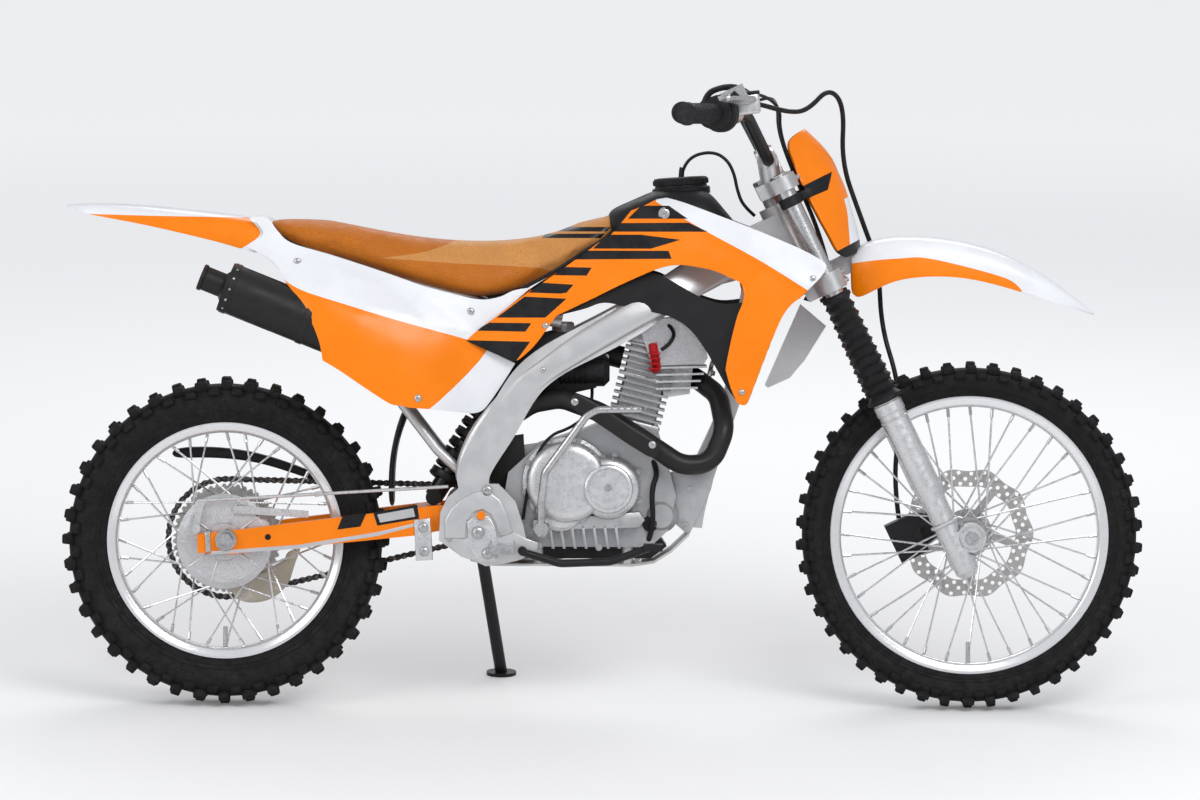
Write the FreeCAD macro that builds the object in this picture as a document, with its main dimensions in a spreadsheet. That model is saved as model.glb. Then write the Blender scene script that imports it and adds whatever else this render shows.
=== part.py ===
"""Enduro dirt bike, about 125 cc class, parked on its side stand.

The bike is laid out upright: X runs forward from the rear axle's plane, Y to the rider's left and
Z up from the ground. Every sub-part then gets the same placement, which leans the bike to its left
until the stand's foot meets the ground, and moves the origin to the middle of the bike's footprint.
"""
import FreeCAD, Part
import math
import os

V = FreeCAD.Vector
FORWARD = V(1, 0, 0)
LEFT = V(0, 1, 0)
UP = V(0, 0, 1)
SIDES = {"right": -1, "left": 1}
FULL_TURN = 360

SIZES = [
    ("wheelbase", 1332, "rear axle to front axle"),
    ("lean_angle", 8, "lean to the left when parked, degrees"),
    ("origin_ahead", 675, "footprint's middle, ahead of the rear axle"),
    ("origin_left", 147.9, "footprint's middle, left of the tyres' contact line"),
    ("fit_gap", 0.3, "gap between pieces that seat on each other"),
    ("overrun", 4, "how far a cut runs past the face that it opens"),
    ("rear_tyre_rad", 293, "rear tyre, out to the lugs' tips"),
    ("rear_tyre_width", 90, "rear tyre, overall width"),
    ("rear_rim_rad", 212, "rear rim flange"),
    ("rear_rim_width", 56, "rear rim, overall width"),
    ("front_tyre_rad", 311, "front tyre, out to the lugs' tips"),
    ("front_tyre_width", 74, "front tyre, overall width"),
    ("front_rim_rad", 249, "front rim flange"),
    ("front_rim_width", 44, "front rim, overall width"),
    ("crown_flat", 30, "flat width at the middle of both treads"),
    ("rim_depth", 20, "rim section, flange to well"),
    ("spoke_dia", 3.4, "wire spoke"),
    ("spoke_count", 36, "spokes in each wheel"),
    ("spoke_sweep", 48, "turn between a spoke's hub hole and rim hole, degrees"),
    ("front_hub_rad", 19, "front hub barrel"),
    ("front_flange_rad", 31, "front hub's spoke flanges"),
    ("front_hub_width", 76, "front hub, overall width"),
    ("front_flange_space", 56, "between the front hub's spoke flanges"),
    ("rear_hub_rad", 27, "rear hub barrel"),
    ("rear_flange_rad", 72, "rear hub's spoke flanges"),
    ("rear_hub_width", 92, "rear hub, overall width"),
    ("rear_flange_space", 60, "between the rear hub's spoke flanges"),
    ("flange_thick", 5, "hub flange"),
    ("front_axle_dia", 15, "front axle"),
    ("rear_axle_dia", 15, "rear axle"),
    ("disc_rad", 118, "front brake disc"),
    ("disc_inner_rad", 60, "inner edge of the disc's braking ring"),
    ("disc_thick", 3.5, "front brake disc"),
    ("disc_left", 46, "disc's inner face, left of the middle"),
    ("drum_rad", 85, "rear brake's backing plate"),
    ("drum_thick", 14, "rear brake's backing plate"),
    ("drum_right", 47, "backing plate's inner face, right of the middle"),
    ("sprocket_rad", 98, "rear sprocket, over its teeth"),
    ("sprocket_thick", 5, "rear sprocket"),
    ("chain_left", 57, "chain line, left of the middle"),
    ("chain_width", 13, "chain, over its plates"),
    ("chain_height", 13, "chain plate's height"),
    ("chain_gap", 1.5, "between the rear sprocket's teeth and the chain"),
    ("front_sprocket_rad", 30, "engine sprocket"),
    ("rake", 26, "steering axis from the vertical, degrees"),
    ("axle_offset", 62, "front axle, ahead of the steering axis"),
    ("leg_offset", 30, "fork legs, ahead of the steering axis"),
    ("leg_spread", 184, "between the fork legs' axes"),
    ("fork_tube_dia", 33, "fork's inner tube"),
    ("slider_dia", 50, "fork's lower leg"),
    ("slider_low", 62, "lower leg's end, below the axle along the fork"),
    ("slider_top", 284, "lower leg's top, above the axle along the fork"),
    ("gaiter_top", 495, "gaiter's top, above the axle along the fork"),
    ("gaiter_low_dia", 62, "gaiter's lower end"),
    ("gaiter_top_dia", 50, "gaiter's upper end"),
    ("bottom_clamp_level", 502, "bottom clamp's underside, above the axle along the fork"),
    ("bottom_clamp_thick", 34, "bottom clamp"),
    ("top_clamp_level", 700, "top clamp's underside, above the axle along the fork"),
    ("top_clamp_thick", 26, "top clamp"),
    ("stem_dia", 30, "steering stem"),
    ("headstock_dia", 56, "steering head"),
    ("bar_dia", 22.2, "handlebar"),
    ("bar_level", 762, "handlebar's middle, above the axle along the fork"),
    ("bar_ahead", -36, "handlebar's middle, ahead of the front axle across the fork"),
    ("bar_half_span", 398, "handlebar's end from the middle"),
    ("grip_dia", 34, "handlebar grip"),
    ("grip_length", 122, "handlebar grip"),
    ("grip_flange_dia", 58, "grip's inner flange"),
    ("pivot_ahead", 459, "swingarm pivot, ahead of the rear axle"),
    ("pivot_level", 346, "swingarm pivot, above the ground"),
    ("arm_inner", 70, "swingarm's inner face from the middle"),
    ("arm_thick", 25, "swingarm's side beam"),
    ("arm_height", 46, "swingarm's side beam"),
    ("spar_inner", 88, "frame spar's inner face at the pivot, from the middle"),
    ("spar_thick", 30, "frame spar"),
    ("spar_height", 62, "frame spar in side view"),
    ("engine_half", 62, "crankcase's side from the middle"),
    ("engine_ahead", 611, "clutch cover's middle, ahead of the rear axle"),
    ("engine_level", 405, "clutch cover's middle, above the ground"),
    ("clutch_rad", 79, "clutch cover's large round"),
    ("cylinder_lean", 14, "cylinder, forward from the vertical, degrees"),
    ("bore_block", 96, "cylinder block across its fins"),
    ("muffler_dia", 90, "muffler can"),
    ("muffler_length", 290, "muffler can"),
    ("muffler_slope", 21.5, "muffler, down towards its front, degrees"),
    ("muffler_right", 124, "muffler's axis, right of the middle"),
    ("header_dia", 36, "exhaust pipe"),
    ("seat_tail", 72, "seat's rear end, ahead of the rear axle"),
    ("seat_low", 727, "seat's lowest edge"),
    ("seat_length", 650, "seat"),
    ("seat_rise", 173, "seat, lowest edge to highest point"),
    ("seat_half", 98, "seat's half width at the middle"),
    ("panel_tail", 76, "side panel's rear end, ahead of the rear axle"),
    ("panel_low", 522, "side panel's lowest edge"),
    ("panel_length", 512, "side panel"),
    ("panel_rise", 353, "side panel"),
    ("shroud_tail", 430, "tank shroud's rear end, ahead of the rear axle"),
    ("shroud_low", 551, "tank shroud's lowest edge"),
    ("shroud_length", 638, "tank shroud"),
    ("shroud_rise", 362, "tank shroud"),
    ("panel_out", 180, "right side panel's widest point from the middle"),
    ("shroud_out", 165, "shroud's widest point from the middle"),
    ("skin", 4, "wall of the moulded covers"),
    ("tail_end", -284, "rear fender's end, ahead of the rear axle"),
    ("tail_low", 800, "rear fender's lowest edge"),
    ("tail_length", 355.8, "rear fender"),
    ("tail_rise", 98, "rear fender"),
    ("fender_tail", 1092, "front fender's rear end, ahead of the rear axle"),
    ("fender_low", 711, "front fender's lowest edge"),
    ("fender_length", 461, "front fender"),
    ("fender_rise", 136, "front fender"),
    ("fender_half", 72, "front fender's half width"),
    ("tank_tail", 600, "fuel tank's rear end, ahead of the rear axle"),
    ("tank_low", 740, "fuel tank's lowest edge"),
    ("tank_length", 300, "fuel tank"),
    ("tank_rise", 190, "fuel tank"),
    ("skid_tail", 440, "skid plate's rear end, ahead of the rear axle"),
    ("skid_low", 254, "skid plate's underside"),
    ("skid_length", 390, "skid plate"),
    ("skid_rise", 62, "skid plate"),
    ("skid_half", 78, "skid plate's half width"),
    ("peg_length", 92, "footpeg"),
    ("stand_pivot_ahead", 452, "side stand's pivot, ahead of the rear axle"),
    ("stand_pivot_level", 290, "side stand's pivot, above the ground"),
    ("stand_pivot_left", 149, "side stand's pivot, left of the middle"),
    ("stand_foot_ahead", 492, "side stand's foot, ahead of the rear axle"),
    ("stand_foot_left", 262, "side stand's foot, left of the middle"),
    ("stand_dia", 22, "side stand's leg"),
    ("foot_dia", 54, "side stand's foot"),
    ("foot_thick", 6, "side stand's foot"),
]

doc = FreeCAD.newDocument("DirtBike")
sheet = doc.addObject("Spreadsheet::Sheet", "Sizes")
for row, (alias, value, note) in enumerate(SIZES, start=1):
    sheet.set(f"A{row}", alias)
    sheet.set(f"B{row}", str(value))
    sheet.set(f"C{row}", note)
    sheet.setAlias(f"B{row}", alias)
doc.recompute()
size = {alias: float(sheet.get(alias)) for alias, value, note in SIZES}

wheelbase = size["wheelbase"]
lean = math.radians(size["lean_angle"])
rake = math.radians(size["rake"])
fit_gap = size["fit_gap"]
skin = size["skin"]
overrun = size["overrun"]

REAR_AXLE = V(0, 0, size["rear_tyre_rad"])
FRONT_AXLE = V(wheelbase, 0, size["front_tyre_rad"])
FORK_UP = V(-math.sin(rake), 0, math.cos(rake))
FORK_AHEAD = V(math.cos(rake), 0, math.sin(rake))
LEG_AHEAD = size["leg_offset"] - size["axle_offset"]
STEM_AHEAD = -size["axle_offset"]
HALF_SPREAD = size["leg_spread"] / 2

ground_drop = size["crown_flat"] / 2 * math.sin(lean)
STANCE = FreeCAD.Placement(
    V(-size["origin_ahead"], -size["origin_left"], ground_drop),
    FreeCAD.Rotation(FORWARD, -size["lean_angle"]),
)
foot_level = (size["stand_foot_left"] * math.sin(lean) - ground_drop) / math.cos(lean)
STAND_PIVOT = V(size["stand_pivot_ahead"], size["stand_pivot_left"], size["stand_pivot_level"])
STAND_FOOT = V(size["stand_foot_ahead"], size["stand_foot_left"], foot_level)
STAND_STOWED = V(-0.96, 0.16, 0.2)

parts = []


def on_fork(along, ahead, across=0):
    """Point given along the fork and ahead of the front axle's line, in the fork's own slant."""
    return FRONT_AXLE + FORK_UP * along + FORK_AHEAD * ahead + LEFT * across


def finish(piece, label, upright=None):
    """Name a sub-part, lean it with the bike and keep it for export."""
    piece.Label = label
    piece.Placement = STANCE.multiply(upright or piece.Placement)
    parts.append(piece)
    return piece


def aimed(base, direction):
    """Placement that puts a piece's own Z along a direction."""
    return FreeCAD.Placement(base, FreeCAD.Rotation(UP, direction))


def rod(name, radius, start, end):
    """Round bar between two points; its radius is an expression."""
    bar = doc.addObject("Part::Cylinder", name)
    bar.setExpression("Radius", radius)
    bar.Height = (end - start).Length
    bar.Placement = aimed(start, end - start)
    return bar


def block(name, corner, spans, turn=None):
    """Box from a corner, with its spans along X, Y and Z, and an optional placement."""
    box = doc.addObject("Part::Box", name)
    box.Length, box.Width, box.Height = spans
    box.Placement = (turn or FreeCAD.Placement()).multiply(
        FreeCAD.Placement(corner, FreeCAD.Rotation()))
    return box


def fused(name, pieces):
    """Several solids as one object."""
    whole = doc.addObject("Part::MultiFuse", name)
    whole.Shapes = pieces
    return whole


def cut(name, base, tools):
    """A solid less its tools."""
    tool = tools[0] if len(tools) == 1 else fused(f"{name}_tools", tools)
    rest = doc.addObject("Part::Cut", name)
    rest.Base = base
    rest.Tool = tool
    return rest


def edges_through(start, *runs):
    """Closed chain of edges: a run of one point is a line, a longer one a smooth curve."""
    first = V(start[0], start[1], 0)
    here = first
    edges = []
    for run in runs:
        there = [V(across, up, 0) for across, up in run]
        if len(there) == 1:
            edges.append(Part.LineSegment(here, there[0]))
        else:
            curve = Part.BSplineCurve()
            curve.interpolate([here] + there)
            edges.append(curve)
        here = there[-1]
    if (here - first).Length > fit_gap:
        edges.append(Part.LineSegment(here, first))
    return edges


def corners(points):
    """Closed chain of straight edges."""
    return edges_through(points[0], *[[point] for point in points[1:]])


def scaled(box, shares):
    """Points given as shares of a box (left, low, length, rise)."""
    left, low, length, rise = box
    return [(left + across * length, low + up * rise) for across, up in shares]


def sketched(body, name, plane_role, edges, offset=None):
    """Sketch of a chain of edges on one of the body's own origin planes."""
    sketch = body.newObject("Sketcher::SketchObject", name)
    plane = next(f for f in body.Origin.OriginFeatures if f.Role == plane_role)
    sketch.AttachmentSupport = [(plane, "")]
    sketch.MapMode = "FlatFace"
    if offset:
        sketch.setExpression("AttachmentOffset.Base.z", offset)
    sketch.addGeometry(edges, False)
    return sketch


def plate(name, edges, out_to, thick):
    """Plate cut from a side outline. It reaches from out_to, measured to the right, back to
    out_to less thick; both are expressions."""
    body = doc.addObject("PartDesign::Body", name)
    sketch = sketched(body, f"{name}_outline", "XZ_Plane", edges, f"{out_to} - {thick}")
    pad = body.newObject("PartDesign::Pad", f"{name}_pad")
    pad.Profile = sketch
    pad.setExpression("Length", thick)
    return body


def turned(name, profile):
    """Ring or disc turned about Y; the profile's points are (radius, across)."""
    body = doc.addObject("PartDesign::Body", name)
    sketch = sketched(body, f"{name}_profile", "XY_Plane", corners(profile))
    spin = body.newObject("PartDesign::Revolution", f"{name}_spin")
    spin.Profile = sketch
    spin.ReferenceAxis = (sketch, ["V_Axis"])
    spin.Angle = FULL_TURN
    return body


def at(point):
    """Placement that only moves."""
    return FreeCAD.Placement(point, FreeCAD.Rotation())


def bent_path(points, bend):
    """Wire of straight runs joined by arcs of one radius, cut down where a run is short."""
    edges = []
    here = points[0]
    for before, corner, after in zip(points, points[1:], points[2:]):
        into = (before - corner).normalize()
        out = (after - corner).normalize()
        half = into.getAngle(out) / 2
        room = min((before - corner).Length, (after - corner).Length) / 2
        reach = min(bend / math.tan(half), room * 0.98)
        start = corner + into * reach
        end = corner + out * reach
        middle = corner + (into + out).normalize() * (reach / math.cos(half) - reach * math.tan(half))
        if (start - here).Length > fit_gap:
            edges.append(Part.LineSegment(here, start).toShape())
        edges.append(Part.Arc(start, middle, end).toShape())
        here = end
    edges.append(Part.LineSegment(here, points[-1]).toShape())
    return Part.Wire(edges)


def pipe(path, radius, bore=0):
    """Round pipe along a wire."""
    start = path.OrderedVertexes[0].Point
    heading = path.OrderedEdges[0].tangentAt(path.OrderedEdges[0].FirstParameter)
    outer = Part.Wire(Part.makeCircle(radius, start, heading))
    solid = path.makePipeShell([outer], True, True)
    if bore:
        inner = Part.Wire(Part.makeCircle(bore, start, heading))
        solid = solid.cut(path.makePipeShell([inner], True, True))
    return solid


def shaped(name, shape):
    """Object that holds a shape made directly."""
    piece = doc.addObject("Part::Feature", name)
    piece.Shape = shape
    return piece


TYRE_SHARES = [(0.94, 0.7), (0.78, 0.97), (0.56, 1.0), (0.3, 0.93), (0.06, 0.72)]
RIM_WALL = 3
rim_depth = size["rim_depth"]
crown_half = size["crown_flat"] / 2


def tyre(name, tyre_rad, tyre_width, rim_rad, rim_width):
    """Tyre as a closed ring, from its bead seats out to the lugs' tips."""
    half = tyre_width / 2
    bead = rim_width / 2 - RIM_WALL - fit_gap
    seat = rim_rad - rim_depth / 2 + fit_gap
    wall = [(rim_rad + up * (tyre_rad - rim_rad), out * half) for up, out in TYRE_SHARES]
    side = [(tyre_rad, crown_half)] + wall + [(rim_rad, bead), (seat, bead)]
    other = [(radius, -across) for radius, across in reversed(side)]
    return turned(name, side + other)


def rim(name, rim_rad, rim_width):
    """Rolled rim: two flanges, bead seats and a well."""
    half = rim_width / 2
    seat = rim_rad - rim_depth / 2
    well = rim_rad - rim_depth
    side = [(seat, half - RIM_WALL), (rim_rad, half - RIM_WALL), (rim_rad, half),
            (seat - RIM_WALL, half), (well, half / 2)]
    other = [(radius, -across) for radius, across in reversed(side)]
    return turned(name, side + other)


def hub(name, axle_dia, barrel_rad, flange_rad, right_end, left_end, flange_space, right_flange_rad):
    """Wheel hub: a bored barrel with two spoke flanges."""
    bore = axle_dia / 2 + fit_gap
    half_thick = size["flange_thick"] / 2
    profile = [(bore, right_end), (right_flange_rad if right_flange_rad > flange_rad else barrel_rad,
                                   right_end)]
    for side, flange in ((-1, right_flange_rad), (1, flange_rad)):
        middle = side * flange_space / 2
        profile += [(barrel_rad, middle - half_thick), (flange, middle - half_thick),
                    (flange, middle + half_thick), (barrel_rad, middle + half_thick)]
    profile += [(barrel_rad, left_end), (bore, left_end)]
    return turned(name, profile)


def spoke_wires(axle, flange_rad, right_flange_rad, flange_space, rim_rad):
    """Crossed wire spokes, each a six-sided bar from a hub flange to the rim's well."""
    count = int(size["spoke_count"])
    sweep = math.radians(size["spoke_sweep"])
    radius = size["spoke_dia"] / 2
    weave = size["spoke_dia"] * 0.65
    rim_end = rim_rad - rim_depth - 3 * fit_gap
    bars = []
    for number in range(count):
        side = 1 if number % 2 else -1
        lead = 1 if number % 4 < 2 else -1
        flange = flange_rad if side > 0 else right_flange_rad
        rim_turn = 2 * math.pi * number / count
        hub_turn = rim_turn - lead * sweep
        inner = flange + radius + fit_gap
        start = axle + V(inner * math.cos(hub_turn), side * flange_space / 2 + lead * weave,
                         inner * math.sin(hub_turn))
        end = axle + V(rim_end * math.cos(rim_turn), side * weave * 2 + lead * weave,
                       rim_end * math.sin(rim_turn))
        run = end - start
        seat = aimed(start, run)
        ring = [seat.multVec(V(radius * math.cos(turn), radius * math.sin(turn), 0))
                for turn in (math.pi / 3 * step for step in range(7))]
        bars.append(Part.Face(Part.makePolygon(ring)).extrude(run))
    return Part.makeCompound(bars)


def circle_edge(radius, across=0, up=0):
    """Circle for a sketch."""
    return Part.Circle(V(across, up, 0), UP, radius)


def ring_window(inner_rad, outer_rad, start, end):
    """Window between two arcs and two radial sides, for a sketch; angles in radians."""
    def on(radius, turn):
        return V(radius * math.cos(turn), radius * math.sin(turn), 0)
    middle = (start + end) / 2
    return [Part.Arc(on(inner_rad, start), on(inner_rad, middle), on(inner_rad, end)),
            Part.LineSegment(on(inner_rad, end), on(outer_rad, end)),
            Part.Arc(on(outer_rad, end), on(outer_rad, middle), on(outer_rad, start)),
            Part.LineSegment(on(outer_rad, start), on(inner_rad, start))]


SPIDER_ARMS = 6
ARM_SHARE = 0.28
CHAIN_PITCH = 12.7


def spider_windows(inner_rad, outer_rad):
    """Windows between the arms of a disc's or sprocket's carrier."""
    step = 2 * math.pi / SPIDER_ARMS
    windows = []
    for arm in range(SPIDER_ARMS):
        windows += ring_window(inner_rad, outer_rad, (arm + ARM_SHARE / 2) * step,
                               (arm + 1 - ARM_SHARE / 2) * step)
    return windows


def front_wheel():
    upright = at(FRONT_AXLE)
    tyre_rad, width = size["front_tyre_rad"], size["front_tyre_width"]
    rim_rad, rim_width = size["front_rim_rad"], size["front_rim_width"]
    space, flange = size["front_flange_space"], size["front_flange_rad"]
    finish(tyre("FrontTyre", tyre_rad, width, rim_rad, rim_width), "front_tyre", upright)
    finish(rim("FrontRim", rim_rad, rim_width), "front_rim", upright)
    finish(hub("FrontHub", size["front_axle_dia"], size["front_hub_rad"], flange,
               -size["front_hub_width"] / 2, size["disc_left"], space, flange), "front_hub", upright)
    finish(shaped("FrontSpokes", spoke_wires(FRONT_AXLE, flange, flange, space, rim_rad)),
           "front_spokes")
    carrier = size["disc_inner_rad"]
    edges = [circle_edge(size["disc_rad"]), circle_edge(size["front_axle_dia"])]
    edges += spider_windows(size["front_hub_rad"] * 1.5, carrier)
    finish(plate("BrakeDisc", edges, "-Sizes.disc_left", "Sizes.disc_thick"), "front_brake_disc", upright)


def rear_wheel():
    upright = at(REAR_AXLE)
    tyre_rad, width = size["rear_tyre_rad"], size["rear_tyre_width"]
    rim_rad, rim_width = size["rear_rim_rad"], size["rear_rim_width"]
    space, flange = size["rear_flange_space"], size["rear_flange_rad"]
    sprocket_in = size["chain_left"] - size["sprocket_thick"] / 2
    finish(tyre("RearTyre", tyre_rad, width, rim_rad, rim_width), "rear_tyre", upright)
    finish(rim("RearRim", rim_rad, rim_width), "rear_rim", upright)
    finish(hub("RearHub", size["rear_axle_dia"], size["rear_hub_rad"], flange * 0.8,
               -size["rear_hub_width"] / 2 + 2 * fit_gap, sprocket_in, space, flange), "rear_hub", upright)
    finish(shaped("RearSpokes", spoke_wires(REAR_AXLE, flange * 0.8, flange, space, rim_rad)),
           "rear_spokes")
    teeth = round(2 * math.pi * size["sprocket_rad"] / CHAIN_PITCH)
    root_rad = size["sprocket_rad"] - CHAIN_PITCH * 0.45
    outline = []
    for tooth in range(teeth):
        for share, radius in ((0, root_rad), (0.35, size["sprocket_rad"]), (0.65, size["sprocket_rad"])):
            turn = 2 * math.pi * (tooth + share) / teeth
            outline.append((radius * math.cos(turn), radius * math.sin(turn)))
    edges = corners(outline) + [circle_edge(size["rear_axle_dia"] / 2 + fit_gap)]
    edges += spider_windows(size["rear_hub_rad"] * 1.4, root_rad * 0.8)
    finish(plate("Sprocket", edges, "-Sizes.chain_left + Sizes.sprocket_thick / 2",
                 "Sizes.sprocket_thick"), "rear_sprocket", upright)


def beam(name, stations, ruled=False):
    """Bar of rectangular section through stations (point, height, width across the bike)."""
    rings = []
    for number, (point, height, wide) in enumerate(stations):
        before = stations[max(number - 1, 0)][0]
        after = stations[min(number + 1, len(stations) - 1)][0]
        run = after - before
        normal = V(-run.z, 0, run.x).normalize() * (height / 2)
        half = LEFT * (wide / 2)
        ring = [point - normal - half, point + normal - half, point + normal + half, point - normal + half]
        rings.append(Part.makePolygon(ring + ring[:1]))
    return shaped(name, Part.makeLoft(rings, True, ruled))


def turned_on(name, seat, profile):
    """Solid turned about its own Z; the profile's points are (radius, along)."""
    body = doc.addObject("PartDesign::Body", name)
    sketch = sketched(body, f"{name}_profile", "XZ_Plane", corners(profile))
    spin = body.newObject("PartDesign::Revolution", f"{name}_spin")
    spin.Profile = sketch
    spin.ReferenceAxis = (sketch, ["V_Axis"])
    spin.Angle = FULL_TURN
    body.Placement = seat
    return body


def fork_seat(along, ahead, across):
    """Placement on the fork: its own Z runs up the fork and its own X ahead of it."""
    return FreeCAD.Placement(on_fork(along, ahead, across),
                             FreeCAD.Rotation(FORK_AHEAD, LEFT, FORK_UP, "XYZ"))


def fork_tubes():
    """Both inner tubes, from inside the lower legs up through the clamps."""
    top = size["top_clamp_level"] + size["top_clamp_thick"]
    tubes = []
    for side, sign in SIDES.items():
        across = sign * HALF_SPREAD
        tubes.append(rod(f"Tube_{side}", "Sizes.fork_tube_dia / 2",
                         on_fork(size["slider_top"] + fit_gap, LEG_AHEAD, across),
                         on_fork(top + TUBE_PROUD, LEG_AHEAD, across)))
    finish(fused("ForkTubes", tubes), "fork_tubes")


TUBE_PROUD = 5
BELLOWS = 12
GAITER_WAIST_SHARE = 0.78


def gaiters():
    """Both rubber gaiters: bellows that narrow from the lower legs to the bottom clamp."""
    low, high = size["slider_top"] + fit_gap, size["gaiter_top"]
    bore = size["fork_tube_dia"] / 2 + fit_gap
    pitch = (high - low) / BELLOWS
    profile = [(bore, low)]
    for fold in range(BELLOWS):
        share = (fold + 0.5) / BELLOWS
        ridge = (size["gaiter_low_dia"] * (1 - share) + size["gaiter_top_dia"] * share) / 2
        profile += [(ridge * GAITER_WAIST_SHARE, low + fold * pitch), (ridge, low + (fold + 0.5) * pitch)]
    profile += [(size["gaiter_top_dia"] / 2 * GAITER_WAIST_SHARE, high), (bore, high)]
    pair = []
    for side, sign in SIDES.items():
        seat = fork_seat(0, LEG_AHEAD, sign * HALF_SPREAD)
        pair.append(turned_on(f"Gaiter_{side}", seat, profile))
    finish(fused("Gaiters", pair), "fork_gaiters")


SLIDER_NECK_SHARE = 0.86
LUG_SHARE = 0.52
AXLE_CLAMP = 36


def slider(side):
    """Lower leg: a turned casting with the axle's lug ahead of it."""
    sign = SIDES[side]
    rad = size["slider_dia"] / 2
    low, top = -size["slider_low"], size["slider_top"]
    neck = rad * SLIDER_NECK_SHARE
    profile = [(0, low), (neck * 0.6, low), (neck, low + neck * 0.5), (neck, top * 0.32),
               (rad, top * 0.4), (rad, top), (0, top)]
    leg = turned_on(f"Slider_{side}_leg", fork_seat(0, LEG_AHEAD, sign * HALF_SPREAD), profile)
    across = sign * HALF_SPREAD
    lug = rod(f"Slider_{side}_lug", f"Sizes.slider_dia * {LUG_SHARE}",
              FRONT_AXLE + LEFT * (across - AXLE_CLAMP / 2), FRONT_AXLE + LEFT * (across + AXLE_CLAMP / 2))
    web = block(f"Slider_{side}_web", V(LEG_AHEAD, -AXLE_CLAMP / 2, -rad * LUG_SHARE * 1.6),
                (-LEG_AHEAD, AXLE_CLAMP, rad * LUG_SHARE * 3.2), fork_seat(0, 0, across))
    bore = rod(f"Slider_{side}_bore", "Sizes.front_axle_dia / 2",
               FRONT_AXLE + LEFT * (across - AXLE_CLAMP), FRONT_AXLE + LEFT * (across + AXLE_CLAMP))
    finish(cut(f"Slider_{side}", fused(f"Slider_{side}_solid", [leg, lug, web]), [bore]),
           f"fork_leg_{side}")


def front_axle():
    """Axle with its head and nut, and the spacers beside the hub."""
    out = HALF_SPREAD + AXLE_CLAMP / 2
    shaft = rod("FrontAxle_shaft", "Sizes.front_axle_dia / 2 - Sizes.fit_gap / 10",
                FRONT_AXLE - LEFT * (out + AXLE_HEAD), FRONT_AXLE + LEFT * (out + AXLE_HEAD))
    pieces = [shaft]
    for side, sign in SIDES.items():
        head = rod(f"FrontAxle_head_{side}", "Sizes.front_axle_dia * 0.8",
                   FRONT_AXLE + LEFT * sign * (out + fit_gap), FRONT_AXLE + LEFT * sign * (out + AXLE_HEAD))
        hub_end = size["disc_left"] + size["disc_thick"] + 1 if sign > 0 else size["front_hub_width"] / 2 + 1
        spacer = rod(f"FrontAxle_spacer_{side}", "Sizes.front_axle_dia * 0.75",
                     FRONT_AXLE + LEFT * sign * hub_end,
                     FRONT_AXLE + LEFT * sign * (HALF_SPREAD - AXLE_CLAMP / 2 - fit_gap))
        pieces += [head, spacer]
    finish(fused("FrontAxle", pieces), "front_axle")


AXLE_HEAD = 9
CLAMP_RIM = 11
CLAMP_WAIST = 40
CLAMP_BACK = 16


def fork_clamp(name, level, thick, extra):
    """Clamp across both legs and the stem, with what is cast or fixed to it."""
    pieces = []
    for side, sign in SIDES.items():
        across = sign * HALF_SPREAD
        pieces.append(rod(f"{name}_ring_{side}", f"Sizes.fork_tube_dia / 2 + {CLAMP_RIM}",
                          on_fork(level, LEG_AHEAD, across), on_fork(level + thick, LEG_AHEAD, across)))
    pieces.append(block(f"{name}_bridge", V(STEM_AHEAD - CLAMP_BACK, -HALF_SPREAD, 0),
                        (CLAMP_WAIST, 2 * HALF_SPREAD, thick), fork_seat(level, 0, 0)))
    bores = []
    for side, sign in SIDES.items():
        across = sign * HALF_SPREAD
        bores.append(rod(f"{name}_bore_{side}", "Sizes.fork_tube_dia / 2",
                         on_fork(level - overrun, LEG_AHEAD, across),
                         on_fork(level + thick + overrun, LEG_AHEAD, across)))
    return cut(name, fused(f"{name}_solid", pieces + extra), bores)


def clamps():
    low, low_thick = size["bottom_clamp_level"], size["bottom_clamp_thick"]
    top, top_thick = size["top_clamp_level"], size["top_clamp_thick"]
    stem = rod("Stem", "Sizes.stem_dia / 2", on_fork(low + low_thick / 2, STEM_AHEAD),
               on_fork(top - fit_gap, STEM_AHEAD))
    bracket = block("FenderBracket", V(STEM_AHEAD, -FENDER_BRACKET / 2, low_thick * 0.4),
                    (FENDER_BRACKET - STEM_AHEAD * 0.75, FENDER_BRACKET, FENDER_UNDER - low - low_thick * 0.4),
                    fork_seat(low, 0, 0))
    finish(fork_clamp("BottomClamp", low, low_thick, [stem, bracket]), "bottom_clamp")
    risers = []
    for side, sign in SIDES.items():
        across = sign * RISER_SPREAD / 2
        risers.append(rod(f"Riser_{side}", f"Sizes.bar_dia / 2 + {RISER_WALL}",
                          on_fork(top + top_thick / 2, size["bar_ahead"] - RISER_SET_BACK, across),
                          on_fork(size["bar_level"], size["bar_ahead"], across)))
        risers.append(rod(f"BarClamp_{side}", f"Sizes.bar_dia / 2 + {RISER_WALL}",
                          on_fork(size["bar_level"], size["bar_ahead"], across - RISER_WIDTH / 2),
                          on_fork(size["bar_level"], size["bar_ahead"], across + RISER_WIDTH / 2)))
    nut = rod("StemNut", "Sizes.stem_dia / 2", on_fork(top + top_thick / 2, STEM_AHEAD),
              on_fork(top + top_thick + STEM_NUT, STEM_AHEAD))
    plate_solid = fork_clamp("TopClamp", top, top_thick, risers + [nut])
    bar_seat = rod("BarSeat", "Sizes.bar_dia / 2", on_fork(size["bar_level"], size["bar_ahead"], -RISER_SPREAD),
                   on_fork(size["bar_level"], size["bar_ahead"], RISER_SPREAD))
    finish(cut("TopClampBored", plate_solid, [bar_seat]), "top_clamp")


FENDER_BRACKET = 44
FENDER_UNDER = 550
RISER_SPREAD = 84
RISER_SET_BACK = 14
RISER_WALL = 7
RISER_WIDTH = 26
STEM_NUT = 8
BAR_BEND = 62


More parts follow.
